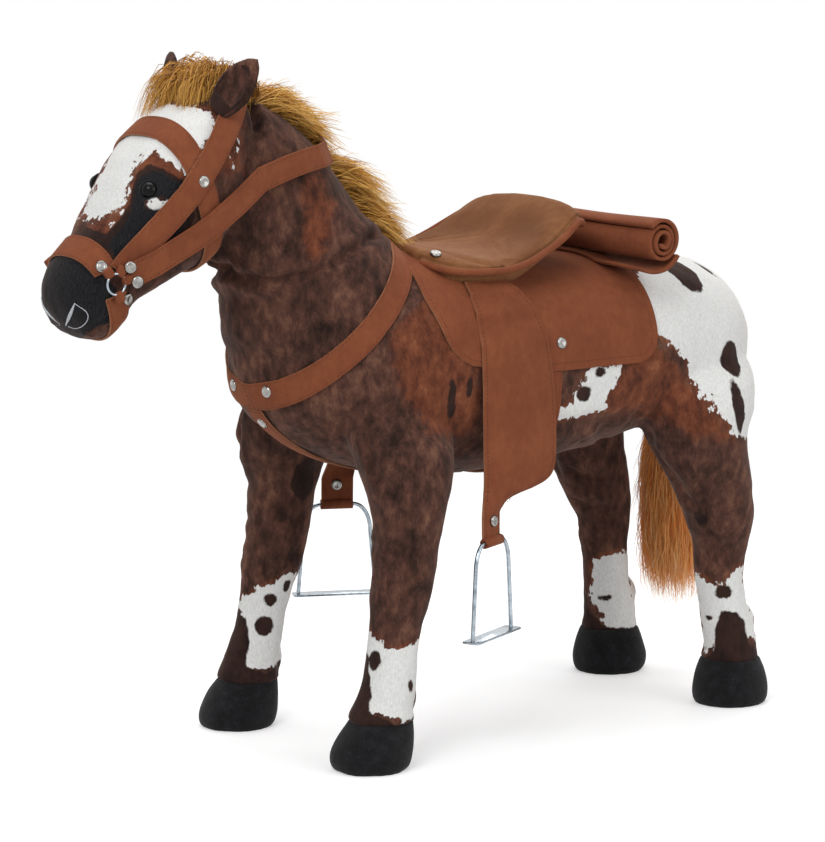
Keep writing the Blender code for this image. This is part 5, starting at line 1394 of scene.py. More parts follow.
@dataclass
class PlushSkin:
    """The pony's sewn skin, one stuffed piece from nose to ankles, painted and creased."""

    form: PonyForm
    view: PhotoView
    finishes: Finishes
    voxel: float = 0.0042
    smoothing: int = 14
    px_to_mm: float = 1.06
    uneven_mm: tuple[tuple[float, float], ...] = ((46.0, 1.6), (20.0, 0.9), (9.0, 0.35))
    swell: Row = (2.1, 1.3, 0.42)
    ankle_mm: float = 9.0
    ankle_reach: float = 0.07
    flare_mm: float = 3.2
    wrap: Row = (0.05, 0.3)
    spot_share: float = 0.6
    spot_depth_mm: float = 30.0
    mesh: Mesh | None = None
    tree: BVHTree | None = None
    points: np.ndarray | None = None
    normals: np.ndarray | None = None

    def build(self) -> Object:
        """Sew the skin, crease it and paint it.

        Returns:
            The piece.
        """
        bm = bmesh.new()
        self.form.add_barrel(bm)
        self.form.add_neck(bm)
        self.form.add_head(bm)
        for front in (True, False):
            for side in Side:
                loft(bm, self.form.leg_sections(front, side), 40)
                self.form.add_fetlock(bm, front, side)
        self.mesh = remeshed(bm, self.voxel)
        relaxed(self.mesh, self.smoothing)
        self.points = points_of(self.mesh)
        self.normals = normals_of(self.mesh)
        self.tree = tree_of(self.mesh)
        self.flare()
        self.crease()
        self.paint()
        piece = shown("plush_skin", self.mesh, self.finishes.coat)
        legs = [f"{end}_leg_{side.label}" for end in ("front", "rear") for side in Side]
        settle(piece, "pony", ["torso", "neck", "head", "muzzle", *legs])
        return piece

    def flare(self) -> None:
        """Widen each ankle where it is sewn to its hoof."""
        push = np.zeros(len(self.points))
        for front in (True, False):
            for side in Side:
                top = max((s.centre for s in self.form.hoof_sections(front, side)), key=lambda p: p.z)
                across = self.points[:, 1] - top.y
                near = np.hypot(self.points[:, 0] - top.x - STANCE.x, across) < self.ankle_reach
                above = (self.points[:, 2] - top.z) * 1000
                push += np.where(near, bump(above, self.ankle_mm), 0.0)
        level = self.normals * (1.0, 1.0, 0.0)
        self.points += level * push[:, None] * self.flare_mm / 1000
        set_points(self.mesh, self.points)

    def hit(self, pixel: Pixel) -> tuple[Vector, Vector]:
        """Where a pixel's line of sight meets the skin, and the normal there."""
        place, normal, _, _ = self.tree.ray_cast(*self.view.ray(pixel))
        if place is None:
            start, along = self.view.ray(pixel)
            depth = (Vector((0.0, 0.0, 0.35)) - start).dot(along)
            place, normal, _, _ = self.tree.find_nearest(start + along * depth)
        return place, normal

    def crease(self) -> None:
        """Press the folds into the skin and let the stuffing show as gentle unevenness."""
        depth = np.zeros(len(self.points))
        shift, spread, height = self.swell
        for fold in FOLDS:
            route = [np.array(self.hit(pixel)[0]) for pixel in fold.route]
            wide = fold.width_mm / 1000
            for sign in BOTH if fold.both_sides else BOTH[:1]:
                line = [p * (1.0, sign, 1.0) for p in route]
                away = np.full(len(self.points), 1e9)
                for start, end in zip(line, line[1:]):
                    away = np.minimum(away, to_segment(self.points, start, end)[0])
                raised = bump(away - wide * shift, wide * spread) * height
                depth += (-bump(away, wide) + raised) * fold.depth_mm / 1000
        for size, high in self.uneven_mm:
            scale = per_mm(size)
            depth += np.array([noise.noise(Vector(p) * scale) for p in self.points]) * high / 1000
        set_points(self.mesh, self.points + self.normals * depth[:, None])

    def paint(self) -> None:
        """Give every vertex its distance inside each kind of painted region."""
        stance = self.points - np.array(STANCE)
        seen = self.view.pixels(self.points)
        mirrored = self.view.pixels(self.points * (1.0, -1.0, 1.0))
        spots = {coat: np.full(len(self.points), FAR_OUTSIDE_MM) for coat in Coat}
        for spot in SPOTS:
            spots[spot.coat] = np.maximum(spots[spot.coat], self.spot_value(spot))
        for coat in Coat:
            value = spots[coat]
            for patch in (*PATCHES, *ANKLES):
                if patch.coat is coat:
                    value = np.maximum(value, self.patch_value(patch, stance, seen, mirrored))
            if coat in (Coat.DARK, Coat.BLACK):
                value = np.minimum(value, -spots[Coat.WHITE])
            add_attribute(self.mesh, coat.value, value)

    def patch_value(
        self, patch: Patch, stance: np.ndarray, seen: np.ndarray, mirrored: np.ndarray
    ) -> np.ndarray:
        """How far inside a patch each vertex lies, in millimetres.

        Args:
            patch: the patch.
            stance: the vertices in the stance frame.
            seen: their pixels.
            mirrored: the pixels of their mirror images.

        Returns:
            Distances, negative outside.
        """
        own = inside_distance(seen, patch.outline) * self.px_to_mm
        one_side = patch.both_sides and patch.low[1] >= 0.0
        if patch.both_sides:
            least, ramp_up = self.wrap
            faces = self.normals @ self.view.axes()[2]
            other = inside_distance(mirrored, patch.outline) * self.px_to_mm
            share = 0.0 if one_side else np.clip((faces - least) / ramp_up, 0.0, 1.0)
            share = np.where(stance[:, 1] > 0, 1.0, share)
            own = own * share + other * (1.0 - share)
        across = np.abs(stance[:, 1]) if one_side else stance[:, 1]
        held = np.stack((stance[:, 0], across, stance[:, 2]), axis=1)
        outside = np.maximum(np.array(patch.low) - held, held - np.array(patch.high)).max(axis=1) * 1000
        return np.minimum(own, -outside)

    def spot_value(self, spot: Spot) -> np.ndarray:
        """How far inside a spot each vertex lies, in millimetres."""
        place, normal = self.hit(spot.pixel)
        value = np.full(len(self.points), FAR_OUTSIDE_MM)
        for sign in BOTH if spot.both_sides else BOTH[:1]:
            centre = np.array(place) * (1.0, sign, 1.0)
            out = np.array(normal) * (1.0, sign, 1.0)
            rise = np.array(UPWARD) - out * out[2]
            rise /= np.linalg.norm(rise)
            across = np.cross(out, rise)
            away = (self.points - centre) * 1000
            wide, high = spot.width_mm * self.spot_share, spot.height_mm * self.spot_share
            flat = np.sqrt((away @ across / wide) ** 2 + (away @ rise / high) ** 2)
            inside = (1.0 - flat) * min(wide, high)
            inside = np.where(np.abs(away @ out) > self.spot_depth_mm, FAR_OUTSIDE_MM, inside)
            value = np.maximum(value, inside)
        return value



def edge_loops(bm: BMesh) -> list[list[bmesh.types.BMVert]]:
    """The open edges of a sheet, as closed loops of vertices."""
    open_edges = {edge for edge in bm.edges if edge.is_boundary}
    loops = []
    while open_edges:
        edge = open_edges.pop()
        start, here = edge.verts
        loop = [start, here]
        while here is not start:
            following = next((e for e in here.link_edges if e in open_edges), None)
            if following is None:
                break
            open_edges.discard(following)
            here = following.other_vert(here)
            loop.append(here)
        loops.append(loop)
    return loops


@dataclass
class Stitching:
    """Rows of lock stitches a little inside a sheet's edges."""

    material: Material
    inset_mm: float = 2.4
    pitch_mm: float = 4.6
    length_mm: float = 3.3
    thickness_mm: float = 0.75
    fewest: int = 6

    def lines(self, bm: BMesh, lift: float) -> list[Line]:
        """The stitch lines of a sheet, as points and normals.

        Args:
            bm: the sheet, with its normals outward.
            lift: how far above it the stitches lie.

        Returns:
            One list for each loop of open edges.
        """
        bm.normal_update()
        found = []
        for loop in edge_loops(bm):
            line = []
            count = len(loop) - 1
            if count < self.fewest:
                continue
            for index in range(count):
                vert = loop[index]
                ahead = loop[(index + 2) % count].co - loop[index - 2].co
                if ahead.length < 1e-7:
                    continue
                inward = vert.normal.cross(ahead.normalized())
                middle = Vector()
                for edge in vert.link_edges:
                    middle += edge.other_vert(vert).co - vert.co
                if inward.dot(middle) < 0:
                    inward.negate()
                place = vert.co + inward * self.inset_mm / 1000 + vert.normal * lift
                line.append((place, vert.normal.copy()))
            line.append(line[0])
            found.append(line)
        return found

    def sew(self, name: str, lines: Sequence[Line], body: str = "pony") -> None:
        """Lay stitches along lines, as a piece of their own.

        Args:
            name: the sewn piece's name.
            lines: points and normals, in order.
            body: the CAD body that carries them.
        """
        bm = bmesh.new()
        half = Vector((self.length_mm, self.thickness_mm, self.thickness_mm)) / 2000
        for line in lines:
            due = self.pitch_mm / 2000
            for (start, normal), (end, _) in zip(line, line[1:]):
                step = end - start
                while due < step.length:
                    along = step.normalized()
                    across = normal.cross(along).normalized()
                    frame = framed(start + along * due, along, across, along.cross(across))
                    size = frame @ Matrix.Diagonal((*half, 1.0))
                    bmesh.ops.create_icosphere(bm, subdivisions=1, radius=1.0, matrix=size)
                    due += self.pitch_mm / 1000
                due -= step.length
        if bm.faces:
            settle(shown(f"{name}_stitches", bm, self.material), body)
        else:
            bm.free()


@dataclass
class SkinSheets:
    """Sheets and straps cut to lie on the pony's skin."""

    skin: PlushSkin
    finishes: Finishes
    margin: float = 0.012
    merge: float = 0.0007
    crumb: float = 0.25

    def cut(self, planes: Sequence[Plane], offset: float) -> BMesh:
        """The skin inside some planes, lifted off it.

        Args:
            planes: a point and the outward normal of each side.
            offset: how far the sheet's inner face stands off the skin.

        Returns:
            The open sheet.
        """
        near = np.ones(len(self.skin.points), dtype=bool)
        for place, outward in planes:
            near &= (self.skin.points - np.array(place)) @ np.array(outward) < self.margin
        lifted = self.skin.points + self.skin.normals * offset
        faces = [tuple(f.vertices) for f in self.skin.mesh.polygons if all(near[v] for v in f.vertices)]
        used = sorted({v for face in faces for v in face})
        index = {old: new for new, old in enumerate(used)}
        data = bpy.data.meshes.new("sheet_source")
        data.from_pydata([lifted[v] for v in used], [], [[index[v] for v in face] for face in faces])
        bm = bmesh.new()
        bm.from_mesh(data)
        bpy.data.meshes.remove(data)
        for place, outward in planes:
            geom = bm.verts[:] + bm.edges[:] + bm.faces[:]
            bmesh.ops.bisect_plane(
                bm, geom=geom, plane_co=place, plane_no=outward, clear_outer=True, dist=SAME_SPOT
            )
        bmesh.ops.remove_doubles(bm, verts=bm.verts, dist=self.merge)
        bmesh.ops.recalc_face_normals(bm, faces=bm.faces)
        self.keep_largest(bm)
        bm.normal_update()
        return bm

    def keep_largest(self, bm: BMesh) -> None:
        """Remove loose crumbs, and turn a sheet that faces inward."""
        todo = set(bm.verts)
        groups = []
        while todo:
            stack = [todo.pop()]
            group = []
            while stack:
                vert = stack.pop()
                group.append(vert)
                for edge in vert.link_edges:
                    other = edge.other_vert(vert)
                    if other in todo:
                        todo.discard(other)
                        stack.append(other)
            groups.append(group)
        if not groups:
            raise ValueError("a sheet was cut away entirely")
        largest = max(len(group) for group in groups)
        crumbs = [vert for group in groups if len(group) < largest * self.crumb for vert in group]
        bmesh.ops.delete(bm, geom=crumbs, context="VERTS")
        face = max(bm.faces, key=lambda f: f.calc_area())
        _, normal, _, _ = self.skin.tree.find_nearest(face.calc_center_median())
        if face.normal.dot(normal) < 0:
            bmesh.ops.reverse_faces(bm, faces=bm.faces)

    def sheet(
        self,
        name: str,
        planes: Sequence[Plane],
        size: tuple[float, float],
        inset_mm: float,
        nodes: Iterable[str],
    ) -> Object:
        """A finished sheet with its stitches.

        Args:
            name: the piece's name.
            planes: the sides it is cut by.
            size: how far it stands off the skin, and its thickness.
            inset_mm: how far inside its edges the stitches run.
            nodes: the CAD nodes that it stands for.

        Returns:
            The piece.
        """
        offset, thickness = size
        stitching = Stitching(self.finishes.thread, inset_mm)
        bm = self.cut(planes, offset)
        lines = stitching.lines(bm, thickness)
        piece = shown(name, bm, self.finishes.suede)
        thicken(piece, thickness, self.finishes.raw)
        soften(piece)
        settle(piece, "pony", nodes)
        stitching.sew(name, lines)
        return piece


def thicken(piece: Object, thickness: float, raw: Material | None, offset: float = 1.0) -> None:
    """Give a sheet its thickness.

    Args:
        piece: the sheet.
        thickness: how thick it becomes.
        raw: the material of its cut edge, or None for the sheet's own.
        offset: 1 to thicken outward, 0 to both sides.
    """
    solid = piece.modifiers.new("thickness", "SOLIDIFY")
    solid.thickness = thickness
    solid.offset = offset
    if raw:
        piece.data.materials.append(raw)
        solid.material_offset_rim = 1
    if offset:
        solid.use_even_offset = True


def soften(piece: Object) -> None:
    """Round a sheet's or strap's sharp edges."""
    edge = piece.modifiers.new("soft_edge", "BEVEL")
    edge.width = EDGE_ROUNDING
    edge.segments = 2
    edge.limit_method = "ANGLE"
    edge.angle_limit = EDGE_ANGLE


def torus(radius: float, wire_radius: float, sides: int, steps: int) -> BMesh:
    """A ring of round wire that lies flat round the origin.

    Args:
        radius: of the ring, to the middle of its wire.
        wire_radius: of the wire.
        sides: facets round the wire.
        steps: facets round the ring.

    Returns:
        The ring.
    """
    bm = bmesh.new()
    made = bmesh.ops.create_circle(bm, segments=sides, radius=wire_radius)
    stand = Matrix.Translation((radius, 0.0, 0.0)) @ Matrix.Rotation(math.pi / 2, 4, "X")
    bmesh.ops.transform(bm, matrix=stand, verts=made["verts"])
    geom = bm.verts[:] + bm.edges[:]
    bmesh.ops.spin(bm, geom=geom, cent=(0, 0, 0), axis=UPWARD, angle=math.tau, steps=steps, use_merge=True)
    return bm


@dataclass(frozen=True)
class Tube:
    """A round wire, piping or thread swept along lines."""

    name: str
    radius: float
    kind: str = "NURBS"
    sides: int = 4
    order: int = 4
    fineness: int = 3
    closed: bool = False

    def mesh(self, lines: Sequence[tuple[Sequence[Vector], Sequence[float]]]) -> Mesh:
        """Sweep it.

        Args:
            lines: the places along each line, and the radius there as a share of the tube's own.

        Returns:
            The mesh.
        """
        data = bpy.data.curves.new(self.name, "CURVE")
        data.dimensions = "3D"
        data.bevel_depth = self.radius
        data.bevel_resolution = self.sides
        data.use_fill_caps = True
        for places, shares in lines:
            spline = data.splines.new(self.kind)
            spline.points.add(len(places) - 1)
            for control, place, share in zip(spline.points, places, shares):
                control.co = (*place, 1.0)
                control.radius = share
            spline.use_cyclic_u = self.closed
            spline.order_u = self.order
            spline.use_endpoint_u = not self.closed
            spline.resolution_u = self.fineness
        curve = placed(self.name, data)
        made = evaluated_mesh(curve)
        bpy.data.objects.remove(curve)
        return made


def rounded(bm: BMesh, edges: list[bmesh.types.BMEdge], offset: float, segments: int) -> None:
    """Round some edges of a bmesh."""
    bmesh.ops.bevel(
        bm, geom=edges, offset=offset, segments=segments, profile=0.5, affect="EDGES", material=-1
    )


def half_plane(side: Side, away: float) -> Plane:
    """The plane that leaves one side of the pony, from a distance off its middle outward."""
    return Vector((0.0, side.value * away, 0.0)), Vector((0.0, -side.value, 0.0))


def band(start: Vector, end: Vector, before: float, after: float, width: float) -> list[Plane]:
    """The four sides of a strap that runs along a line of the middle plane.

    Args:
        start: where the line starts, in the stance frame.
        end: where it ends.
        before: how far the strap runs on before the start.
        after: how far it runs on after the end.
        width: the strap's width.

    Returns:
        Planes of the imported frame.
    """
    along = (end - start).normalized()
    across = along.cross(SIDEWAYS)
    middle = start + STANCE
    return [
        (middle - along * before, -along),
        (end + along * after + STANCE, along),
        (middle + across * width / 2, across),
        (middle - across * width / 2, -across),
    ]


def outline_planes(corners: Sequence[tuple[float, float, float]], steps: int = 5) -> list[Plane]:
    """The sides of a convex outline seen from the pony's side, with rounded corners.

    Args:
        corners: x, z and radius of each corner, in order round the outline.
        steps: planes in each rounded corner.

    Returns:
        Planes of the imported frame.
    """
    spots = [Vector((x, z)) for x, z, _ in corners]
    middle = sum(spots, Vector((0.0, 0.0))) / len(spots)
    found: list[Plane] = []

    def side_of(place: Vector, outward: Vector) -> None:
        """Add one side."""
        found.append((Vector((place.x, 0.0, place.y)) + STANCE, Vector((outward.x, 0.0, outward.y))))

    for index, (x, z, radius) in enumerate(corners):
        here = spots[index]
        ahead = spots[(index + 1) % len(spots)]
        back = spots[index - 1]
        normals = []
        for near, far in ((back, here), (here, ahead)):
            run = (far - near).normalized()
            outward = Vector((run.y, -run.x))
            if outward.dot(near - middle) < 0:
                outward.negate()
            normals.append(outward)
        side_of(here, normals[1])
        if radius:
            half = (back - here).angle(ahead - here) / 2
            centre = here + ((back - here).normalized() + (ahead - here).normalized()).normalized() * (
                radius / math.sin(half)
            )
            for step in range(1, steps):
                outward = normals[0].lerp(normals[1], step / steps).normalized()
                side_of(centre + outward * radius, outward)
    return found


@dataclass
class Bridle:
    """Noseband, chin strap, headstall, brow strap and the bit rings."""

    form: PonyForm
    sheets: SkinSheets
    finishes: Finishes
    width: float = 0.025
    thickness: float = 0.0024
    layer: float = 0.0027
    lift: float = 0.0006
    ring: Row = (0.508, 0.510)
    ring_diameter: float = 0.023
    ring_wire: float = 0.0024
    ring_gap: float = 0.001
    lug_width: float = 0.010
    lug_reach: float = 0.011
    lug_thickness: float = 0.0052
    lug_rounding: float = 0.0018
    lug_overlap: float = 0.002
    lug_sink: float = 0.0012
    lug_angles: Row = (55.0, 120.0, 165.0, 252.0)
    overrun: float = 0.25
    rear_limit: Row = (0.315, 0.0, 0.5)
    inset_mm: float = 2.4

    def build(self) -> None:
        """Build every strap of the bridle and the rings."""
        ring = Vector((self.ring[0], 0.0, self.ring[1]))
        place = self.form.head_place
        clear = -self.ring_diameter / 2 - self.ring_gap
        behind = (Vector(self.rear_limit) + STANCE, -FORWARD)
        runs = (
            ("noseband", ring, place(0.920, 0.430), clear, 0),
            ("chin_strap", ring, place(0.745, 0.0), clear, 0),
            ("brow_strap", place(0.49, 0.85), place(0.31, 0.29), self.overrun, 0),
            ("headstall", ring, place(0.13, 0.985), clear, 1),
        )
        for name, start, end, before, layer in runs:
            planes = [*band(start, end, before, self.overrun, self.width), behind]
            size = (self.lift + self.layer * layer, self.thickness)
            self.sheets.sheet(f"{name}_strap", planes, size, self.inset_mm, [name])
        for side in Side:
            self.build_ring(side)

    def ring_middle(self, side: Side) -> Vector:
        """Where a bit ring's middle is, from its CAD node."""
        low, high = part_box(f"bit_ring_{side.label}")
        return (low + high) / 2

    def build_ring(self, side: Side) -> None:
        """One bit ring and the strap ends folded round it.

        Args:
            side: the side.
        """
        middle = self.ring_middle(side)
        radius = (self.ring_diameter - self.ring_wire) / 2
        bm = torus(radius, self.ring_wire / 2, 14, 56)
        turn = Matrix.Translation(middle) @ Matrix.Rotation(math.pi / 2, 4, "X")
        bmesh.ops.transform(bm, matrix=turn, verts=bm.verts)
        bmesh.ops.recalc_face_normals(bm, faces=bm.faces)
        name = f"bit_ring_{side.label}"
        settle(shown(f"{name}_wire", bm, self.finishes.chrome), name, [name])
        bm = bmesh.new()
        for angle in self.lug_angles:
            turn = math.radians(angle)
            ray = Vector((math.cos(turn), 0.0, math.sin(turn)))
            centre = middle + ray * (radius + self.lug_reach / 2 - self.lug_overlap)
            centre.y -= side.value * self.lug_sink
            size = Matrix.Diagonal((self.lug_reach, self.lug_thickness, self.lug_width, 1.0))
            frame = framed(centre, ray, SIDEWAYS, ray.cross(SIDEWAYS)) @ size
            made = bmesh.ops.create_cube(bm, size=1.0, matrix=frame)
            rounded(bm, list({e for vert in made["verts"] for e in vert.link_edges}), self.lug_rounding, 3)
        settle(shown(f"{name}_strap_ends", bm, self.finishes.suede), "pony")


@dataclass
class Reins:
    """One strap from ring to ring over the crest, on the route of its CAD node."""

    nodes: dict[str, Object]
    skin: PlushSkin
    finishes: Finishes
    reach: float = 0.05
    least_area: float = 2.2e-5
    steepest: float = 0.75
    shortest: int = 8

    def build(self) -> None:
        """Refine the CAD node's strap and sew its edges."""
        bm = bmesh.new()
        bm.from_mesh(self.nodes["reins"].data)
        bmesh.ops.remove_doubles(bm, verts=bm.verts, dist=SAME_SPOT)
        bmesh.ops.join_triangles(bm, faces=bm.faces, angle_face_threshold=0.6, angle_shape_threshold=3.1)
        outer = bm.copy()
        inner = []
        for face in outer.faces:
            start = face.calc_center_median() + face.normal * 1e-4
            blocked = self.skin.tree.ray_cast(start, face.normal, self.reach)[0] is not None
            if blocked or face.calc_area() < self.least_area or abs(face.normal.z) > self.steepest:
                inner.append(face)
        bmesh.ops.delete(outer, geom=inner, context="FACES")
        stitching = Stitching(self.finishes.thread)
        lines = [line for line in stitching.lines(outer, 0.0001) if len(line) > self.shortest]
        outer.free()
        piece = shown("reins_strap", bm, self.finishes.suede, smooth=False)
        soften(piece)
        settle(piece, "pony", ["reins"])
        stitching.sew("reins_strap", lines)


@dataclass
class BreastCollar:
    """Two straps from the withers to the chest and one back between the front legs."""

    form: PonyForm
    sheets: SkinSheets
    finishes: Finishes
    width: float = 0.025
    thickness: float = 0.0024
    lift: float = 0.0006
    inset_mm: float = 2.4
    overrun: float = 0.1
    seam: float = 0.0004
    gap: float = 0.001
    rear_x: float = 0.050
    top_z: float = 0.395

    def build(self) -> None:
        """Build the collar's three straps."""
        start, end = self.form.neck_place(0.127, 0.466), self.form.barrel_place(0.979, -0.060)
        size = (self.lift, self.thickness)
        planes = band(start, end, self.overrun, self.overrun, self.width)
        for side in Side:
            name = f"breast_strap_{side.label}"
            halved = [*planes, half_plane(side, self.seam)]
            self.sheets.sheet(f"{name}_webbing", halved, size, self.inset_mm, [name])
        across = (end - start).normalized().cross(SIDEWAYS)
        if across.z > 0:
            across.negate()
        planes = [
            (Vector((0.0, self.width / 2, 0.0)), SIDEWAYS),
            (Vector((0.0, -self.width / 2, 0.0)), -SIDEWAYS),
            (end + across * (self.width / 2 + self.gap) + STANCE, -across),
            (Vector((self.rear_x, 0.0, 0.0)) + STANCE, -FORWARD),
            (Vector((0.0, 0.0, self.top_z)), UPWARD),
        ]
        name = "breast_strap_centre"
        self.sheets.sheet(f"{name}_webbing", planes, size, self.inset_mm, [name])


@dataclass
class Saddle:
    """Skirt, front flaps, girth, padded seat with its piping, and the rolled blanket."""

    form: PonyForm
    sheets: SkinSheets
    finishes: Finishes
    skirt_thickness: float = 0.0028
    flap_thickness: float = 0.0028
    lift: float = 0.0004
    sheet_top: float = 0.640
    flap_inner: float = 0.028
    girth: Row = (0.030, 0.019, 0.3915, 0.002)
    seat_box: Row = (-0.060, 0.206, 0.232, 0.499, 0.066)
    seat_power: float = 2.3
    seat_tuck: float = 0.16
    seat_voxel: float = 0.0034
    seat_smoothing: tuple[int, int] = (8, 3)
    swell_limit: float = 0.0035
    swell_frames: int = 20
    piping: float = 0.0072
    piping_out: float = 1.006
    roll_diameter: float = 0.049
    roll_length: float = 0.304
    roll_sheet: float = 0.0042
    roll_pitch: float = 0.0062
    roll_share: float = 0.85
    roll_sag: float = 0.0006
    roll_uneven: float = 0.0006
    roll_waist: float = 0.012
    roll_cloth: float = 0.9
    flap_arc: tuple[float, float] = (218.0, 88.0)
    flap_loose: float = 0.0012
    flap_drop: float = 0.0125
    seat_depth: float = 0.036
    dish_along: tuple[float, float] = (0.27, 0.15)
    dish_across: float = 0.66
    dish_depth: float = 0.0120
    groove: tuple[float, float] = (0.0060, 0.0021)
    pleat_width: float = 0.0030
    pleat_depth: float = 0.0027
    # Where the painted shade of the seat's hollow centres, and how far it reaches.
    hollow_px: Pixel = (524, 232)
    hollow_reach: float = 0.030
    seat_rows: tuple[Row, ...] = (
        (0.000, 0.66, 0.56, 0.80, 0.36),
        (0.050, 0.74, 0.64, 0.95, 0.48),
        (0.112, 0.82, 0.62, 0.99, 0.56),
        (0.223, 0.89, 0.43, 0.70, 0.66),
        (0.350, 0.92, 0.24, 0.40, 0.80),
        (0.485, 0.955, 0.09, 0.20, 0.95),
        (0.631, 1.00, 0.02, 0.16, 1.00),
        (0.767, 0.98, 0.01, 0.24, 1.00),
        (0.883, 0.91, 0.02, 0.36, 1.00),
        (0.961, 0.79, 0.06, 0.40, 1.00),
        (1.000, 0.60, 0.14, 0.40, 1.00),
    )
    pleats_px: tuple[tuple[Pixel, Pixel], ...] = (
        ((504, 268), (474, 240)),
        ((506, 266), (488, 232)),
        ((503, 269), (462, 246)),
        ((509, 264), (506, 232)),
        ((500, 270), (450, 256)),
    )

    def build(self) -> None:
        """Build the saddle, from the skin up."""
        self.build_skirt()
        self.build_flaps()
        self.build_girth()
        self.build_seat()
        self.build_piping()
        self.build_roll()

    def build_skirt(self) -> None:
        """The skirt that hangs down both flanks."""
        top, bottom, rear, front = self.sheet_top, 0.392, -0.120, 0.056
        corners = ((rear, top, 0.0), (rear, bottom, 0.028), (front, bottom, 0.014), (front, top, 0.0))
        size = (self.lift, self.skirt_thickness)
        piece = self.sheets.sheet("saddle_skirt", outline_planes(corners), size, 8.0, ["skirt"])

    def build_flaps(self) -> None:
        """The two flaps in front of the skirt."""
        front, rear, bottom = 0.172, 0.0563, 0.406
        reach = front - rear
        corners = (
            (rear, self.sheet_top, 0.0),
            (rear, bottom, 0.007),
            (front - reach * 0.22, bottom - reach * 0.03, reach * 0.45),
            (front - reach * 0.01, bottom + reach * 0.60, reach * 0.30),
            (front - reach * 0.22, self.sheet_top, 0.0),
        )
        size = (self.lift, self.flap_thickness)
        for side in Side:
            name = f"front_flap_{side.label}"
            planes = [*outline_planes(corners), half_plane(side, self.flap_inner)]
            piece = self.sheets.sheet(f"saddle_{name}", planes, size, 5.0, [name])

    def build_girth(self) -> None:
        """The girth under the belly."""
        middle, half, top, thickness = self.girth
        planes = [
            (Vector((middle + half, 0.0, 0.0)) + STANCE, FORWARD),
            (Vector((middle - half, 0.0, 0.0)) + STANCE, -FORWARD),
            (Vector((0.0, 0.0, top)), UPWARD),
        ]
        self.sheets.sheet("girth_webbing", planes, (self.lift, thickness), 3.0, ["girth_strap"])

    def seat_sections(self) -> list[tuple[Section, float]]:
        """The seat's sections and how deep each goes below its rim."""
        rear, length, width, level, height = self.seat_box
        found = []
        for along, wide, edge, crown, depth in curved_rows(self.seat_rows, 4):
            centre = Vector((rear + along * length, 0.0, level + edge * height))
            rise = max((crown - edge) * height, self.seat_depth * 0.15)
            section = Section(centre, SIDEWAYS, UPWARD, wide * width / 2, rise, self.seat_power)
            found.append((section, depth * self.seat_depth))
        return found

    def build_seat(self) -> None:
        """The stuffed seat, swelled by a short cloth simulation and pleated at its waist."""
        bm = bmesh.new()
        sections = self.seat_sections()
        loft(bm, [section for section, _ in sections], 72)
        drops = {round(s.centre.x + STANCE.x, 5): (s.centre.z, s.half_up, depth) for s, depth in sections}
        keys = np.array(sorted(drops))
        for vert in bm.verts:
            level, rise, depth = drops[keys[np.abs(keys - vert.co.x).argmin()]]
            if vert.co.z < level:
                vert.co.z = level + (vert.co.z - level) * depth / rise
                vert.co.y *= 1.0 - self.seat_tuck * min((level - vert.co.z) / depth, 1.0)
        data = remeshed(bm, self.seat_voxel)
        first, second = self.seat_smoothing
        relaxed(data, first)
        rest = points_of(data)
        data = self.swelled(data)
        moved = points_of(data) - rest
        reach = np.linalg.norm(moved, axis=1, keepdims=True)
        moved *= np.minimum(1.0, self.swell_limit / np.maximum(reach, TINY))
        moved[:, 2] = np.maximum(moved[:, 2], 0.0)
        set_points(data, rest + moved)
        relaxed(data, second)
        data = subdivided(data)
        self.dish(data)
        self.pleat(data)
        # The whole cushion takes the lighter tan suede, which also stands in for the sheen on the seat's top.
        piece = shown("seat_cushion", data, self.finishes.seat_tan_and_sheen)
        settle(piece, "pony", ["seat_pad"])

    def rim(self) -> list[Vector]:
        """The line of the seat's edge, all the way round."""
        left = [Vector((s.centre.x, s.half_side, s.centre.z)) + STANCE for s, _ in self.seat_sections()]
        return left + [flipped(p, -1.0) for p in reversed(left)]

    def dish(self, data: Mesh) -> None:
        """Hollow the seat in front of its cantle, paint shade into the hollow as an attribute, and sink a
        groove beside the piping.

        Args:
            data: the cushion's mesh.
        """
        rear, length, width, _, _ = self.seat_box
        points = points_of(data)
        normals = normals_of(data)
        line = self.rim()
        tree = KDTree(len(line) * 6)
        for number, (start, end) in enumerate(zip(line, line[1:] + line[:1])):
            for step in range(6):
                tree.insert(start.lerp(end, step / 6), number * 6 + step)
        tree.balance()
        away = np.array([tree.find(Vector(p))[2] for p in points])
        along = (points[:, 0] - STANCE.x - rear) / length
        across = points[:, 1] / (width / 2)
        middle, reach = self.dish_along
        hollow = bump(along - middle, reach) * bump(across, self.dish_across, 4) * self.dish_depth
        points[:, 2] -= hollow * np.clip(normals[:, 2], 0.0, 1.0)
        # Painted shade: an attribute, on both sides of the seat, that darkens the suede round the dark hollow
        # of the dish.
        spot, ray = (np.array(part) for part in self.sheets.skin.view.ray(self.hollow_px))
        painted_hollow_shade = np.zeros(len(points))
        for sign in BOTH:
            offset = points * (1.0, sign, 1.0) - spot
            offset -= (offset @ ray)[:, None] * ray
            near = np.clip(points[:, 1] * sign / 0.03 + 0.5, 0.0, 1.0)
            hollow_shade_falloff = bump(np.linalg.norm(offset, axis=1), self.hollow_reach)
            painted_hollow_shade = np.maximum(painted_hollow_shade, hollow_shade_falloff * near)
        add_attribute(data, "painted_hollow_shade", painted_hollow_shade)
        inward, wide = self.groove
        sunk = bump(away - inward, wide) * wide
        set_points(data, points - normals * sunk[:, None])

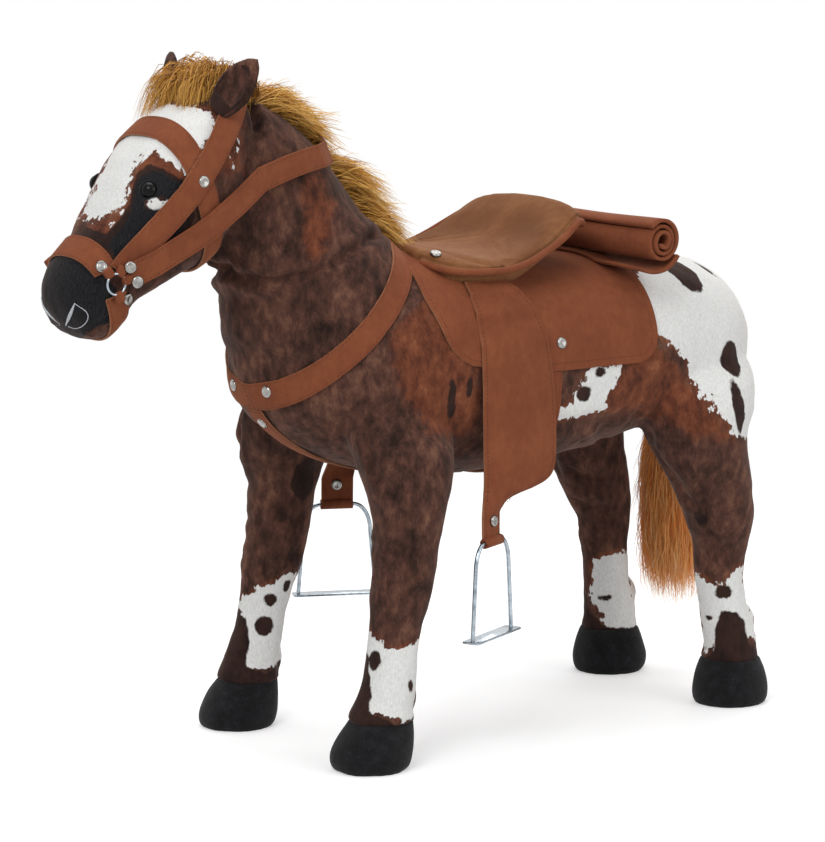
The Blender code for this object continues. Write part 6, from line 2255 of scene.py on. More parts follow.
    def pleat(self, data: Mesh) -> None:
        """Press the pleats that fan out from the waist into the cushion, on both sides.

        Args:
            data: the cushion's mesh.
        """
        points = points_of(data)
        normals = normals_of(data)
        tree = tree_of(data)
        press = np.zeros(len(points))
        for pair in self.pleats_px:
            ends = [tree.ray_cast(*self.sheets.skin.view.ray(pixel))[0] for pixel in pair]
            if None in ends:
                LOG.warning("a pleat misses the seat")
                continue
            for sign in BOTH:
                start, end = (np.array(spot) * (1.0, sign, 1.0) for spot in ends)
                away, share = to_segment(points, start, end)
                press += bump(away, self.pleat_width) * (1.0 - share) * self.pleat_depth
        set_points(data, points - normals * press[:, None])

    def swelled(self, data: Mesh) -> Mesh:
        """A mesh after some frames of Cloth with a little pressure and no gravity.

        Args:
            data: the closed mesh.

        Returns:
            The swelled mesh.
        """
        piece = placed("seat_simulation", data)
        cloth = piece.modifiers.new("stuffing", "CLOTH")
        cloth.settings.use_pressure = True
        cloth.settings.uniform_pressure_force = 3.0
        cloth.settings.tension_stiffness = 25.0
        cloth.settings.bending_stiffness = 1.5
        cloth.settings.effector_weights.gravity = 0.0
        cloth.point_cache.frame_start = 1
        cloth.point_cache.frame_end = self.swell_frames
        scene = bpy.context.scene
        for frame in range(1, self.swell_frames + 1):
            scene.frame_set(frame)
        made = evaluated_mesh(piece)
        scene.frame_set(1)
        bpy.data.objects.remove(piece)
        return made

    def build_piping(self) -> None:
        """The bound edge round the seat."""
        places = [Vector((p.x, p.y * self.piping_out, p.z)) for p in self.rim()]
        tube = Tube("seat_piping", self.piping / 2, closed=True)
        mesh = tube.mesh([(places, [1.0] * len(places))])
        settle(shown("seat_piping", mesh, self.finishes.suede), "pony")

    def build_roll(self) -> None:
        """The blanket rolled up behind the cantle, one sheet in a spiral."""
        low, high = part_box("bedroll")
        centre = Vector(((low.x + high.x) / 2, 0.0, high.z - self.roll_diameter / 2))
        turns = self.roll_share * (self.roll_diameter / 2 - self.roll_sheet) / self.roll_pitch
        steps, rows = round(turns * 30), 40
        bm = bmesh.new()
        bmesh.ops.create_grid(bm, x_segments=steps, y_segments=rows, size=0.5)
        half = self.roll_length / 2
        for vert in bm.verts:
            share = vert.co.x + 0.5
            angle = math.pi * 0.25 + share * turns * math.tau
            sag = self.roll_sag * math.sin(angle * 2.0 + vert.co.y * 9.0)
            radius = self.roll_diameter / 2 - self.roll_sheet / 2 - share * turns * self.roll_pitch + sag
            uneven = noise.noise(Vector((share * 3.0, vert.co.y * 2.0, 0.0))) * self.roll_uneven
            y = vert.co.y * 2.0 * half * (1.0 - self.roll_waist * math.sin(share * 5.0))
            vert.co = centre + Vector((math.cos(angle) * radius, y, math.sin(angle) * radius + uneven))
        self.add_flap(bm, centre)
        bmesh.ops.recalc_face_normals(bm, faces=bm.faces)
        piece = shown("rolled_blanket", bm, self.finishes.suede)
        thicken(piece, self.roll_sheet * self.roll_cloth, None, 0.0)
        settle(piece, "pony", ["bedroll"])

    def add_flap(self, bm: BMesh, centre: Vector) -> None:
        """Add the blanket's loose end, which lies on the skirt under the roll and droops at both sides.

        Args:
            bm: the roll's bmesh.
            centre: the middle of the roll.
        """
        half = self.roll_length / 2
        first, arc = self.flap_arc
        made = bmesh.ops.create_grid(bm, x_segments=14, y_segments=48, size=0.5)
        for vert in made["verts"]:
            across, along = vert.co.x + 0.5, vert.co.y * 2.0
            angle = math.radians(first + arc * across)
            loose = self.flap_loose + self.flap_drop * across**1.6 * (0.55 + 0.45 * abs(along) ** 3)
            radius = self.roll_diameter / 2 + loose
            radius += noise.noise(Vector((across * 1.5, along * 3.0, 5.0))) * self.flap_loose
            x = centre.x + math.cos(angle) * radius
            y = along * half * (1.002 - 0.02 * across)
            low = centre.z + math.sin(angle) * radius
            skin = self.sheets.skin.tree.ray_cast(Vector((x, y, 0.7)), -UPWARD)[0]
            rest = skin.z + self.lift + self.skirt_thickness + self.roll_sheet / 2 if skin else -1.0
            vert.co = Vector((x, y, max(low, rest)))


@dataclass
class Fender:
    """One fender: a hanging panel that narrows into a strap, folded round the stirrup's bow."""

    side: Side
    nodes: dict[str, Object]
    finishes: Finishes
    front_x: float = 0.117
    width: float = 0.094
    top_z: float = 0.4895
    bottom_z: float = 0.274
    eye_z: float = 0.223
    strap_width: float = 0.035
    strap_steps: int = 16
    columns: int = 16
    turned_by: float = 0.42
    necked_by: float = 0.25
    curl: float = 0.0018
    ripple: float = 0.0022
    sunk: float = 0.0009
    twist: float = 25.0
    thickness: float = 0.003
    fold_radii: tuple[float, float] = (0.0027, 0.0054)
    edge_rows: tuple[Row, ...] = (
        (0.00, 0.02, 0.52),
        (0.06, 0.01, 0.70),
        (0.16, 0.00, 0.83),
        (0.30, 0.00, 0.92),
        (0.50, 0.00, 0.98),
        (0.75, 0.00, 1.00),
        (0.90, 0.00, 0.98),
        (0.965, 0.00, 0.88),
        (1.00, 0.00, 0.66),
    )

    @property
    def body(self) -> str:
        """The CAD body that carries it."""
        return f"fender_{self.side.label}"

    def out_at(self, level: float) -> float:
        """How far out the CAD panel hangs at a height, from its own vertices."""
        points = points_of(self.nodes[self.body].data)
        levels = points[:, 2]
        order = np.argsort(levels)
        heights, inverse = np.unique(np.round(levels[order], 3), return_inverse=True)
        outs = np.zeros(len(heights))
        counts = np.zeros(len(heights))
        np.add.at(outs, inverse, np.abs(points[order, 1]))
        np.add.at(counts, inverse, 1)
        return float(np.interp(level, heights, outs / counts))

    def stations(self) -> list[tuple[Vector, Vector, float]]:
        """The panel's rows down to the eye: middle, way across and width."""
        found = []
        drop = self.top_z - self.bottom_z
        for down, front, rear in curved_rows(self.edge_rows, 6):
            level = self.top_z - down * drop
            middle = Vector((self.front_x - (front + rear) / 2 * self.width, 0.0, level))
            middle.y = self.side.value * self.out_at(level)
            found.append((middle, FORWARD.copy(), (rear - front) * self.width))
        eye = self.strap_middle()
        last = found[-1][0]
        width = found[-1][2]
        front = last.x + width / 2
        front_end = eye.x + self.strap_width / 2 * math.cos(math.radians(self.twist))
        for step in range(1, self.strap_steps + 1):
            share = step / self.strap_steps
            done = min(share / self.turned_by, 1.0)
            turn = math.radians(self.twist) * done
            across = Vector((math.cos(turn), self.side.value * math.sin(turn), 0.0))
            neck = min(share / self.necked_by, 1.0)
            wide = width + (self.strap_width - width) * (1 - (1 - neck) ** 2)
            ahead = front + (front_end - front) * done - wide / 2 * across.x
            middle = Vector((ahead, eye.y, self.bottom_z - share * (self.bottom_z - self.eye_z)))
            found.append((middle, across, wide))
        return found

    def strap_middle(self) -> Vector:
        """The middle of the strap at the eye, in the stance frame."""
        inset = self.strap_width / 2 * math.cos(math.radians(self.twist))
        level = self.out_at(self.bottom_z + 0.01)
        return Vector((self.front_x - inset + self.thickness * 2, self.side.value * level, self.eye_z))

    def build(self) -> None:
        """Build the panel, its fold round the bow and its stitches."""
        rows = self.stations()
        bm = bmesh.new()
        bmesh.ops.create_grid(bm, x_segments=self.columns, y_segments=len(rows) - 1, size=0.5)
        for vert in bm.verts:
            row = round((0.5 - vert.co.y) * (len(rows) - 1))
            middle, across, width = rows[row]
            share = vert.co.x
            curl = self.curl * math.cos(share * math.pi * 1.4) * min(row / 12, 1.0)
            ripple = noise.noise(Vector((share * 1.6, row * 0.06, self.side.value * 3.0))) * self.ripple
            place = middle + across * width * share + STANCE
            place.y += self.side.value * (curl - self.sunk + ripple * min(row / 10, 1.0))
            vert.co = place
        bmesh.ops.recalc_face_normals(bm, faces=bm.faces)
        if sum((face.normal.y for face in bm.faces), 0.0) * self.side.value < 0:
            bmesh.ops.reverse_faces(bm, faces=bm.faces)
        stitching = Stitching(self.finishes.thread, 4.0)
        lines = stitching.lines(bm, self.thickness / 2)
        piece = shown(f"{self.body}_panel", bm, self.finishes.suede)
        thicken(piece, self.thickness * 0.9, self.finishes.raw, 0.0)
        soften(piece)
        settle(piece, self.body, [self.body])
        wide = [width for _, _, width in rows[: -self.strap_steps]]
        area = sum(wide) / max(len(wide), 1) * (self.top_z - self.bottom_z)
        area += self.strap_width * (self.bottom_z - self.eye_z)
        stitching.sew(self.body, lines, self.body)
        self.build_fold(rows[-1][1])

    def build_fold(self, across: Vector) -> None:
        """The strap's end, folded round the bow and sewn to itself.

        Args:
            across: the way across the strap.
        """
        eye = self.strap_middle() + STANCE
        bm = bmesh.new()
        frame = facing(eye, across)
        for radius in self.fold_radii:
            size = {"radius1": radius, "radius2": radius, "depth": self.strap_width}
            bmesh.ops.create_cone(bm, cap_ends=False, segments=28, matrix=frame, **size)
        rims = [edge for edge in bm.edges if edge.is_boundary]
        for sign in BOTH:
            rim = [e for e in rims if (e.verts[0].co - eye).dot(across) * sign > 0]
            bmesh.ops.bridge_loops(bm, edges=rim)
        bmesh.ops.recalc_face_normals(bm, faces=bm.faces)
        settle(shown(f"{self.body}_fold", bm, self.finishes.suede), self.body)


@dataclass
class Stirrup:
    """One stirrup: a bent chromed bow on a folded tread plate."""

    side: Side
    eye: Vector
    axis: Vector
    finishes: Finishes
    height: float = 0.100
    spread: float = 0.086
    wire: float = 0.0045
    shoulder: float = 0.030
    shoulder_share: float = 0.86
    strap_width: float = 0.035
    tread: Row = (0.098, 0.020, 0.0022)

    def build(self) -> None:
        """Build the bow and the tread."""
        body = f"stirrup_{self.side.label}"
        straight = self.strap_width / 2 + 0.0006
        outer = self.spread / 2
        wide = outer * self.shoulder_share - straight
        bottom = -self.height + self.tread[2]
        half = [Vector((outer, bottom))]
        for step in range(15):
            angle = math.pi / 2 * step / 14
            half.append(Vector((straight + wide * math.cos(angle), -self.shoulder * (1 - math.sin(angle)))))
        flat = half + [Vector((-p.x, p.y)) for p in reversed(half)]
        places = [self.eye + self.axis * p.x + UPWARD * p.y + STANCE for p in flat]
        mesh = Tube("stirrup_bow", self.wire / 2, "POLY", 6).mesh([(places, [1.0] * len(places))])
        bow = shown(f"{body}_bow_wire", mesh, self.finishes.chrome)
        settle(bow, body, [f"stirrup_bow_{self.side.label}"])
        self.build_tread(body)

    def build_tread(self, body: str) -> None:
        """The tread plate with rolled long edges.

        Args:
            body: the CAD body that carries it.
        """
        length, width, thick = self.tread
        across = self.axis.cross(UPWARD)
        centre = self.eye + UPWARD * (thick / 2 - self.height) + STANCE
        bm = bmesh.new()
        size = Matrix.Diagonal((length, width, thick, 1.0))
        bmesh.ops.create_cube(bm, size=1.0, matrix=framed(centre, self.axis, across, UPWARD) @ size)
        upright = [e for e in bm.edges if abs((e.verts[0].co - e.verts[1].co).normalized().z) > 0.9]
        rounded(bm, upright, width / 6, 6)
        rims = [e for e in bm.edges if abs((e.verts[0].co - e.verts[1].co).normalized().z) < 0.1]
        rounded(bm, rims, thick * 0.3, 2)
        piece = shown(f"{body}_tread_plate", bm, self.finishes.chrome)
        settle(piece, body, [f"stirrup_tread_{self.side.label}"])


@dataclass
class Rivets:
    """Domed nickel rivets: one for each CAD rivet, and more at the straps' ends by the bit."""

    nodes: dict[str, Object]
    skin: PlushSkin
    finishes: Finishes
    diameter: float = 0.0125
    height: float = 0.0026
    crown_power: int = 5
    dimple: tuple[float, float] = (0.30, 0.52)
    skirt: float = -0.15
    level: float = 0.999
    extra_px: tuple[Pixel, ...] = ((101.6, 266.7), (130.5, 267.5), (137.5, 282.0), (128.0, 299.0))
    inside: float = 0.045
    girth_px: Pixel = (561.5, 343.0)

    def dome(self, bm: BMesh, place: Vector, normal: Vector) -> None:
        """Add one rivet head.

        Args:
            bm: the bmesh.
            place: the middle of its base.
            normal: the way it faces.
        """
        sunk, wide = self.dimple
        made = bmesh.ops.create_uvsphere(bm, u_segments=28, v_segments=20, radius=1.0)
        for vert in made["verts"]:
            flat = math.hypot(vert.co.x, vert.co.y)
            top = math.sqrt(max(1.0 - flat**self.crown_power, 0.0)) - sunk * math.exp(-((flat / wide) ** 4))
            vert.co.z = top if vert.co.z > 0.001 else max(vert.co.z, self.skirt)
        size = Matrix.Diagonal((self.diameter / 2, self.diameter / 2, self.height, 1.0))
        bmesh.ops.transform(bm, matrix=facing(place, normal) @ size, verts=made["verts"])

    def build(self, bodies: dict[str, str]) -> None:
        """Build every rivet.

        Args:
            bodies: the CAD body of each rivet node.
        """
        for name, body in bodies.items():
            bm = bmesh.new()
            place, normal = self.base_of(self.nodes[name].data)
            if name.startswith("girth"):
                place, normal = self.beside_fender(Side.LEFT if name.endswith("left") else Side.RIGHT)
            self.dome(bm, place, normal)
            settle(shown(f"{name}_dome", bm, self.finishes.nickel), body, [name])
        bm = bmesh.new()
        for pixel in self.extra_px:
            place, normal = self.met(*self.skin.view.ray(pixel))
            for sign in BOTH:
                self.dome(bm, flipped(place, sign), flipped(normal, sign))
        settle(shown("bridle_rivets", bm, self.finishes.nickel), "pony")
        for side in Side:
            place, normal = self.base_of(self.nodes[f"fender_rivet_{side.label}"].data)
            spot, _ = self.met(place - normal * self.inside, normal)
            bm = bmesh.new()
            self.dome(bm, spot, -normal)
            back = shown(f"fender_rivet_{side.label}_back", bm, self.finishes.nickel)
            settle(back, f"fender_{side.label}")

    def beside_fender(self, side: Side) -> tuple[Vector, Vector]:
        """Where the girth's rivet goes through the skirt, just behind the fender's edge."""
        place, normal = self.met(*self.skin.view.ray(self.girth_px))
        return flipped(place, side.value), flipped(normal, side.value)

    def met(self, start: Vector, along: Vector) -> tuple[Vector, Vector]:
        """The first surface that a line meets, and its normal.

        Args:
            start: where the line starts.
            along: the way it goes.

        Returns:
            The place, and the normal that faces the line's start.
        """
        depsgraph = bpy.context.evaluated_depsgraph_get()
        found, place, normal, _, piece, _ = bpy.context.scene.ray_cast(depsgraph, start, along)
        LOG.info("a rivet sits on %s", piece.name if found else "nothing")
        if not found:
            return self.skin.hit(self.extra_px[0])
        return place, normal if normal.dot(along) < 0 else -normal

    def base_of(self, data: Mesh) -> tuple[Vector, Vector]:
        """The middle of a CAD rivet's flat base and the way its dome faces."""
        bm = bmesh.new()
        bm.from_mesh(data)
        bmesh.ops.remove_doubles(bm, verts=bm.verts, dist=SAME_SPOT)
        flat, most = [], 0.0
        for face in bm.faces:
            level = [f for f in bm.faces if f.normal.dot(face.normal) > self.level]
            area = sum(f.calc_area() for f in level)
            if area > most:
                best, flat, most = face, level, area
        verts = {v for f in flat for v in f.verts}
        middle = sum((v.co for v in verts), Vector()) / len(verts)
        normal = -best.normal
        bm.free()
        return middle, normal


@dataclass
class NostrilEmbroidery:
    """The nostrils: a satin stitched blade and a thin curved line in silver floss, on both sides."""

    skin: PlushSkin
    finishes: Finishes
    blade_px: tuple[Pixel, ...] = ((75.0, 303.0), (73.0, 308.5), (70.5, 314.5), (68.0, 320.0), (66.0, 325.0))
    blade_mm: Row = (0.4, 1.3, 1.9, 1.5, 0.5)
    line_px: tuple[Pixel, ...] = (
        (75.0, 303.5), (80.0, 307.0), (85.5, 310.5), (88.5, 315.0), (87.5, 320.5), (84.0, 325.0),
        (79.0, 328.0), (73.5, 328.5), (68.5, 326.0),
    )
    line_mm: float = 0.42
    raised: float = 0.0004
    floss: float = 0.001

    def build(self) -> None:
        """Lay the stitches on the skin and raise them a little."""
        routes = ((self.blade_px, self.blade_mm), (self.line_px, (self.line_mm,) * len(self.line_px)))
        lines = []
        for route, radii in routes:
            hits = [self.skin.hit(pixel) for pixel in route]
            for sign in BOTH:
                lines.append(([flipped(p + n * self.raised, sign) for p, n in hits], radii))
        mesh = Tube("nostril_floss", self.floss, order=3, fineness=6).mesh(lines)
        settle(shown("nostril_embroidery", mesh, self.finishes.silver), "pony")


@dataclass
class Hooves:
    """Four black stuffed hooves with flat soles."""

    form: PonyForm
    finishes: Finishes
    voxel: float = 0.0026
    smoothing: int = 9
    uneven: tuple[float, float] = (38.0, 0.0012)

    def build(self) -> None:
        """Build the hooves."""
        scale, height = self.uneven
        for front in (True, False):
            for side in Side:
                end = "front" if front else "rear"
                bm = bmesh.new()
                loft(bm, self.form.hoof_sections(front, side), 44)
                data = remeshed(bm, self.voxel)
                relaxed(data, self.smoothing)
                points = points_of(data)
                normals = normals_of(data)
                push = np.array([noise.noise(Vector(p) * scale) * height for p in points])
                points += normals * push[:, None]
                points[:, 2] = np.maximum(points[:, 2], 0.0)
                set_points(data, points)
                name = f"{end}_hoof_{side.label}"
                piece = shown(f"{name}_plush", data, self.finishes.black)
                settle(piece, "pony", [name])


@dataclass
class Ears:
    """Two leaf shaped ears, refined from their CAD nodes."""

    nodes: dict[str, Object]
    finishes: Finishes
    voxel: float = 0.0014
    smoothing: int = 8
    rim_share: float = 0.86
    cup_facing: float = 0.35
    inside_mm: float = 6.0

    def build(self) -> None:
        """Build the ears."""
        for side in Side:
            name = f"ear_{side.label}"
            bm = bmesh.new()
            bm.from_mesh(self.nodes[name].data)
            bmesh.ops.remove_doubles(bm, verts=bm.verts, dist=SAME_SPOT)
            data = remeshed(bm, self.voxel)
            relaxed(data, self.smoothing)
            for coat in Coat:
                outside = np.full(len(data.vertices), FAR_OUTSIDE_MM)
                if coat is Coat.DARK:
                    outside = self.outer_side(data, side)
                add_attribute(data, coat.value, outside)
            piece = shown(f"{name}_plush", data, self.finishes.coat)
            settle(piece, "pony", [name])

    def outer_side(self, data: Mesh, side: Side) -> np.ndarray:
        """How far each vertex lies outside the ear's open cup, in millimetres.

        Args:
            data: the ear's mesh.
            side: the side.

        Returns:
            Positive on the dark back and rim, negative in the brown cup.
        """
        open_way = np.array(Vector((0.90, 0.30 * side.value, 0.22)).normalized())
        points = points_of(data)
        depth = (points - points.mean(axis=0)) @ open_way
        turned = normals_of(data) @ open_way
        cup = (turned > self.cup_facing) & (depth < np.quantile(depth, self.rim_share))
        return np.where(cup, -self.inside_mm, self.inside_mm)


@dataclass
class Eyes:
    """Black glass eyes in soft dark lids."""

    finishes: Finishes
    radius: float = 0.009
    sunk: float = 0.0042
    lid: float = 0.0016
    lid_share: float = 0.99
    lid_out: float = 0.0012

    def build(self) -> None:
        """Build the eyes and their lids."""
        for side in Side:
            low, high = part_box(f"eye_{side.label}")
            middle = (low + high) / 2
            out = Vector((0.42, 0.88 * side.value, 0.22)).normalized()
            bm = bmesh.new()
            place = facing(middle - out * self.sunk, out)
            size = place @ Matrix.Diagonal((*[self.radius] * 3, 1.0))
            bmesh.ops.create_uvsphere(bm, u_segments=40, v_segments=24, radius=1.0, matrix=size)
            piece = shown(f"eye_{side.label}_glass", bm, self.finishes.glass)
            settle(piece, "pony", [f"eye_{side.label}"])
            bm = torus(self.radius * self.lid_share, self.lid, 12, 48)
            outward = Matrix.Translation((0.0, 0.0, self.lid_out))
            bmesh.ops.transform(bm, matrix=place @ outward, verts=bm.verts)
            bmesh.ops.recalc_face_normals(bm, faces=bm.faces)
            settle(shown(f"eyelid_{side.label}", bm, self.finishes.black), "pony")


@dataclass
class Hair:
    """Faux hair in tufts of thin ribbons that taper, wave and gather towards their tips."""

    nodes: dict[str, Object]
    form: PonyForm
    finishes: Finishes
    seed: int = 7
    ribbon: float = 0.0013
    mane_count: int = 5000
    mane_sunk: float = 0.004
    mane_spread: float = 0.0060
    mane_length: tuple[float, float] = (0.034, 0.060)
    mane_tuft: int = 45
    mane_wave: float = 0.0055
    forelock_count: int = 7000
    forelock_tufts: int = 90
    forelock_wave: float = 0.0095
    tail_count: int = 9500
    tail_length: float = 0.336
    tail_tufts: int = 170
    tail_wave: float = 0.0150
    dock_count: int = 1300
    dock_wave: float = 0.0015
    hinge: Row = (-0.311, -0.058, 0.398)
    tail_rows: tuple[Row, ...] = (
        (0.00, 0.010), (0.12, 0.022), (0.28, 0.037), (0.50, 0.047), (0.72, 0.047), (0.90, 0.038),
        (1.00, 0.024),
    )

    def bent(
        self, roots: np.ndarray, ways: np.ndarray, pulls: np.ndarray, lengths: np.ndarray, segments: int
    ) -> np.ndarray:
        """Lines that leave their roots one way and bend over another.

        Args:
            roots: where each strand starts.
            ways: the way it leaves its root.
            pulls: the way it bends over.
            lengths: its length.
            segments: pieces along it.

        Returns:
            Points by strand and station.
        """
        t = np.linspace(0.0, 1.0, segments + 1)[None, :, None]
        reach = lengths[:, None, None]
        return roots[:, None, :] + ways[:, None, :] * reach * t + pulls[:, None, :] * reach * t**2

    def gathered(self, line: np.ndarray, tufts: int, pull: float, rng: np.random.Generator) -> np.ndarray:
        """Lines drawn together into tufts of neighbours.

        Args:
            line: points by strand and station.
            tufts: how many tufts.
            pull: how far a tip moves to its tuft's middle.
            rng: the random source.

        Returns:
            The moved points.
        """
        middle = line[:, line.shape[1] // 2, :]
        cores = rng.integers(0, len(line), tufts)
        nearest = np.argmin(((middle[:, None, :] - middle[cores][None, :, :]) ** 2).sum(axis=2), axis=1)
        t = np.linspace(0.0, 1.0, line.shape[1])[None, :, None]
        strength = pull * rng.uniform(0.4, 1.0, (tufts, 1, 1))[nearest]
        return line + (line[cores][nearest] - line) * strength * t**1.6

    def strands(
        self,
        name: str,
        line: np.ndarray,
        wave: float,
        material: Material,
        rng: np.random.Generator,
        bright: float = 1.0,
    ) -> Object:
        """Ribbons along lines.

        Args:
            name: the piece's name.
            line: points by strand and station.
            wave: how far each strand waves, in metres at its tip.
            material: the hair's material.
            rng: the random source.
            bright: how light the lightest strand is.

        Returns:
            The piece.
        """
        count, stations, _ = line.shape
        segments = stations - 1
        t = np.linspace(0.0, 1.0, stations)[None, :, None]
        phase = rng.uniform(0, math.tau, (count, 1, 1))
        sway = rng.normal(size=(count, 1, 3))
        sway /= np.linalg.norm(sway, axis=2, keepdims=True)
        turns = rng.uniform(4.0, 10.0, (count, 1, 1))
        line = line + sway * np.sin(phase + t * turns) * wave * rng.uniform(0.3, 1.0, (count, 1, 1)) * t
        across = np.cross(line[:, -1] - line[:, 0], rng.normal(size=(count, 3)))
        across /= np.maximum(np.linalg.norm(across, axis=1, keepdims=True), TINY)
        width = self.ribbon * rng.uniform(0.55, 1.3, (count, 1, 1)) * (1.0 - 0.88 * t**1.5)
        left = line - across[:, None, :] * width / 2
        right = line + across[:, None, :] * width / 2
        points = np.stack((left, right), axis=2).reshape(-1, 3)
        first = np.arange(count)[:, None] * stations * 2 + np.arange(segments)[None, :] * 2
        faces = np.stack((first, first + 1, first + 3, first + 2), axis=2).reshape(-1, 4)
        data = bpy.data.meshes.new(name)
        data.from_pydata(points.tolist(), [], faces.tolist())
        add_attribute(data, "strand", np.repeat(rng.uniform(0, bright, count), stations * 2))
        add_attribute(data, "along", np.tile(np.repeat(np.linspace(0, 1, stations), 2), count))
        return shown(name, data, material)

    def mane(self, name: str, shares: tuple[float, float], node_name: str) -> None:
        """A length of mane along the crest.

        Args:
            name: the piece's name.
            shares: where it starts and ends along the crest.
            node_name: the CAD node that it stands for.
        """
        rng = np.random.default_rng(self.seed)
        roots, ways, pulls, lengths = [], [], [], []
        for _ in range(self.mane_count):
            share = rng.uniform(*shares)
            place, up = self.form.crest(share)
            y = rng.normal(0.0, self.mane_spread)
            root = place - up * (self.mane_sunk + abs(y) * 0.25) + STANCE
            root.y = y
            tuft = noise.noise(Vector((share * 21.0, 0.4, 0.0)))
            way = up * rng.uniform(0.60, 1.0) + Vector((-0.5, 0.0, -0.5)) * rng.uniform(0.0, 1.0)
            way += SIDEWAYS * (y * 26.0 + rng.normal(-0.04, 0.20) + tuft * 0.35)
            pull = Vector((-0.34, 0.0, -0.86)) * rng.uniform(0.35, 1.15)
            pull += SIDEWAYS * (rng.normal(-0.12, 0.18) + tuft * 0.3)
            roots.append(root)
            ways.append(way.normalized())
            pulls.append(pull)
            short = min(1.0, 0.45 + max(share - shares[0], 0.0) * 4.5)
            lengths.append(rng.uniform(*self.mane_length) * (1.0 + 0.25 * tuft) * short)
        line = self.bent(*(np.array(rows) for rows in (roots, ways, pulls, lengths)), 7)
        line = self.gathered(line, self.mane_count // self.mane_tuft, 0.42, rng)
        piece = self.strands(name, line, self.mane_wave, self.finishes.mane, rng)
        settle(piece, "pony", [node_name])

    def forelock(self) -> None:
        """The tuft between the ears, swept forward and to the right over the forehead."""
        rng = np.random.default_rng(self.seed + 1)
        count = self.forelock_count
        share = rng.uniform(-0.03, 0.30, count)
        y = rng.uniform(-0.036, 0.024, count)
        size = rng.uniform(0.30, 1.0, count) * (0.92 + 0.25 * rng.normal(0.0, 0.5, count).clip(-1, 1))
        tuft = np.array([noise.noise(Vector((s * 7.0, w * 60.0, 2.0))) for s, w in zip(share, y)])
        base = np.array([tuple(self.form.head_place(s, 0.965) + STANCE) for s in share])
        base[:, 1] = y
        t = np.linspace(0.0, 1.0, 10)[None, :]
        size *= 1.0 - 0.42 * ((share - 0.11) / 0.20) ** 2
        line = np.repeat(base[:, None, :], 10, axis=1)
        onward = (0.006 + 0.048 * rng.uniform(0.0, 1.0, count) + 0.016 * tuft)[:, None]
        aside = (y * 0.60 - 0.012 + 0.034 * tuft + rng.normal(0.0, 0.014, count))[:, None]
        line[:, :, 0] += size[:, None] * onward * (0.45 * t + 0.55 * t**2)
        line[:, :, 1] += size[:, None] * aside * t
        line[:, :, 2] += size[:, None] * ((0.162 + 0.040 * tuft[:, None]) * t - 0.192 * t**2)
        line = self.gathered(line, self.forelock_tufts, 0.62, rng)
        piece = self.strands("forelock_hair", line, self.forelock_wave, self.finishes.mane, rng, 0.45)
        settle(piece, "pony", ["forelock"])

    def tail(self) -> None:
        """The tail: tufts that hang from the dock, fill out below it and end ragged."""
        rng = np.random.default_rng(self.seed + 2)
        count, stations = self.tail_count, 15
        angle = rng.uniform(0, math.tau, (count, 1))
        rho = np.sqrt(rng.uniform(0.02, 1.0, (count, 1)))
        start = rng.uniform(0.0, 0.62, (count, 1)) ** 1.3
        most = rng.uniform(0.86, 1.0, (count, 1)) - 0.06 * rho
        end = np.minimum(start + rng.uniform(0.24, 0.60, (count, 1)), most)
        along = start + (end - start) * np.linspace(0.0, 1.0, stations)[None, :]
        downs, radii = zip(*curved_rows(self.tail_rows, 4))
        reach = np.interp(along, downs, radii)
        grow = rho * (0.72 + 0.28 * (along - start) / (end - start))
        line = np.empty((count, stations, 3))
        line[:, :, 0] = np.cos(angle) * reach * grow * 0.60 + 0.006 * np.sin(along * 2.6)
        line[:, :, 1] = np.sin(angle) * reach * grow
        line[:, :, 2] = -0.003 - along * self.tail_length
        line += np.array(self.hinge) + np.array(STANCE)
        line[:, :, 1] -= 0.007 * np.sin(along * 2.4)
        line = self.gathered(line, self.tail_tufts, 0.35, rng)
        piece = self.strands("tail_strands", line, self.tail_wave, self.finishes.tail, rng)
        settle(piece, "tail", ["tail_hair"])

    def dock(self) -> None:
        """The root of the tail, covered with short hair from the rump down to the hinge."""
        rng = np.random.default_rng(self.seed + 3)
        data = self.nodes["tail_dock"].data
        places = points_of(data)
        out = normals_of(data)
        count = self.dock_count
        picks = rng.integers(0, len(places), count)
        roots = places[picks] - out[picks] * 0.002 + rng.normal(0.0, 0.0012, (count, 3))
        ways = out[picks] * 0.22 + np.array((-0.2, 0.0, -0.9))
        ways /= np.linalg.norm(ways, axis=1, keepdims=True)
        pulls = np.tile(np.array((0.0, 0.0, -0.2)), (count, 1))
        line = self.bent(roots, ways, pulls, rng.uniform(0.018, 0.036, count), 5)
        piece = self.strands("tail_dock_hair", line, self.dock_wave, self.finishes.tail, rng)
        settle(piece, "pony", ["tail_dock"])

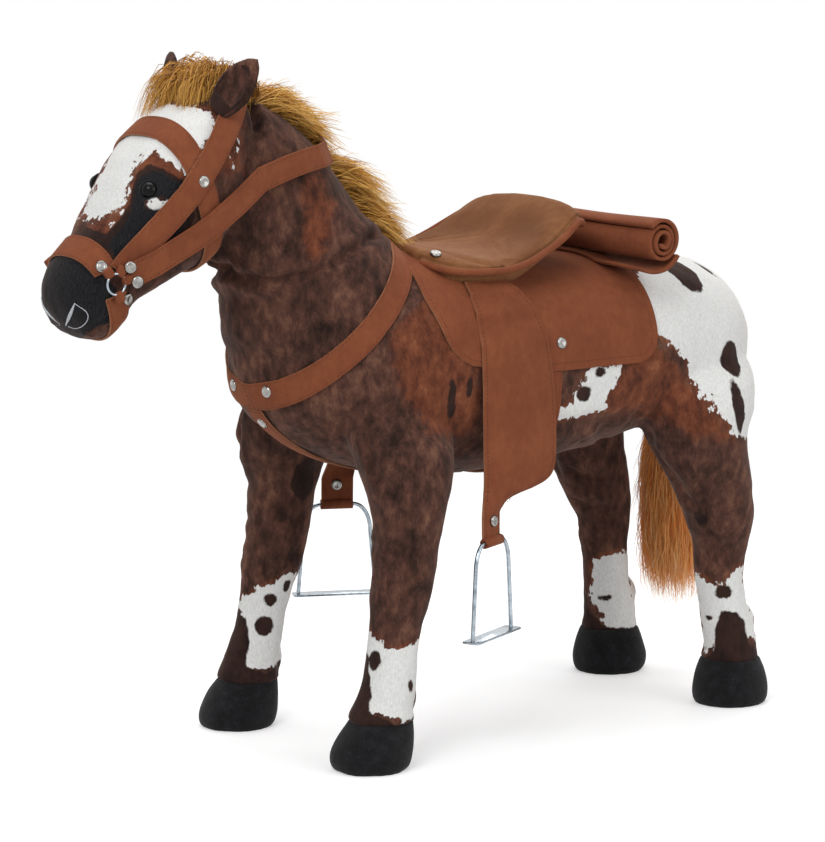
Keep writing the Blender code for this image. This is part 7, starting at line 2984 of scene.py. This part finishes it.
    def build(self) -> None:
        """Build mane, forelock and tail."""
        self.mane("mane_upper_hair", (0.69, 1.0), "mane_upper")
        self.mane("mane_lower_hair", (0.24, 0.60), "mane_lower")
        self.forelock()
        self.tail()
        self.dock()


@dataclass
class InnerFrame:
    """The CAD nodes inside the stuffing, which keep their shape."""

    nodes: dict[str, Object]
    finishes: Finishes
    tubes: tuple[str, ...] = ("front_leg_hoop", "rear_leg_hoop", "spine_tube")
    bolts: tuple[str, ...] = ("front_frame_bolt", "rear_frame_bolt")

    def dress(self) -> None:
        """Give the tubes, bolts and board their finishes."""
        finish = dict.fromkeys((*self.tubes, *self.bolts), self.finishes.steel)
        finish["seat_board"] = self.finishes.plywood
        for name, material in finish.items():
            materials = self.nodes[name].data.materials
            materials.clear()
            materials.append(material)


def main() -> None:
    """Build the scene in order."""
    logging.basicConfig(level=logging.INFO, format="%(name)s: %(message)s")
    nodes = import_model()["nodes"]
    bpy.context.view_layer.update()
    view = PhotoView()
    view.build()
    Studio().build()
    finishes = Finishes()
    form = PonyForm()
    skin = PlushSkin(form, view, finishes)
    skin.build()
    sheets = SkinSheets(skin, finishes)
    NostrilEmbroidery(skin, finishes).build()
    Hooves(form, finishes).build()
    Ears(nodes, finishes).build()
    Eyes(finishes).build()
    Hair(nodes, form, finishes).build()
    Bridle(form, sheets, finishes).build()
    Reins(nodes, skin, finishes).build()
    BreastCollar(form, sheets, finishes).build()
    Saddle(form, sheets, finishes).build()
    for side in Side:
        fender = Fender(side, nodes, finishes)
        fender.build()
        turn = math.radians(fender.twist)
        axis = Vector((math.cos(turn), side.value * math.sin(turn), 0.0))
        Stirrup(side, fender.strap_middle(), axis, finishes).build()
    kinds = ("cheek", "girth", "seat", "breast")
    rivets = {f"{kind}_rivet_{side.label}": "pony" for kind in kinds for side in Side}
    rivets["breast_rivet_bottom"] = "pony"
    for side in Side:
        rivets[f"fender_rivet_{side.label}"] = f"fender_{side.label}"
    Rivets(nodes, skin, finishes).build(rivets)
    InnerFrame(nodes, finishes).dress()


if __name__ == "__main__":
    main()
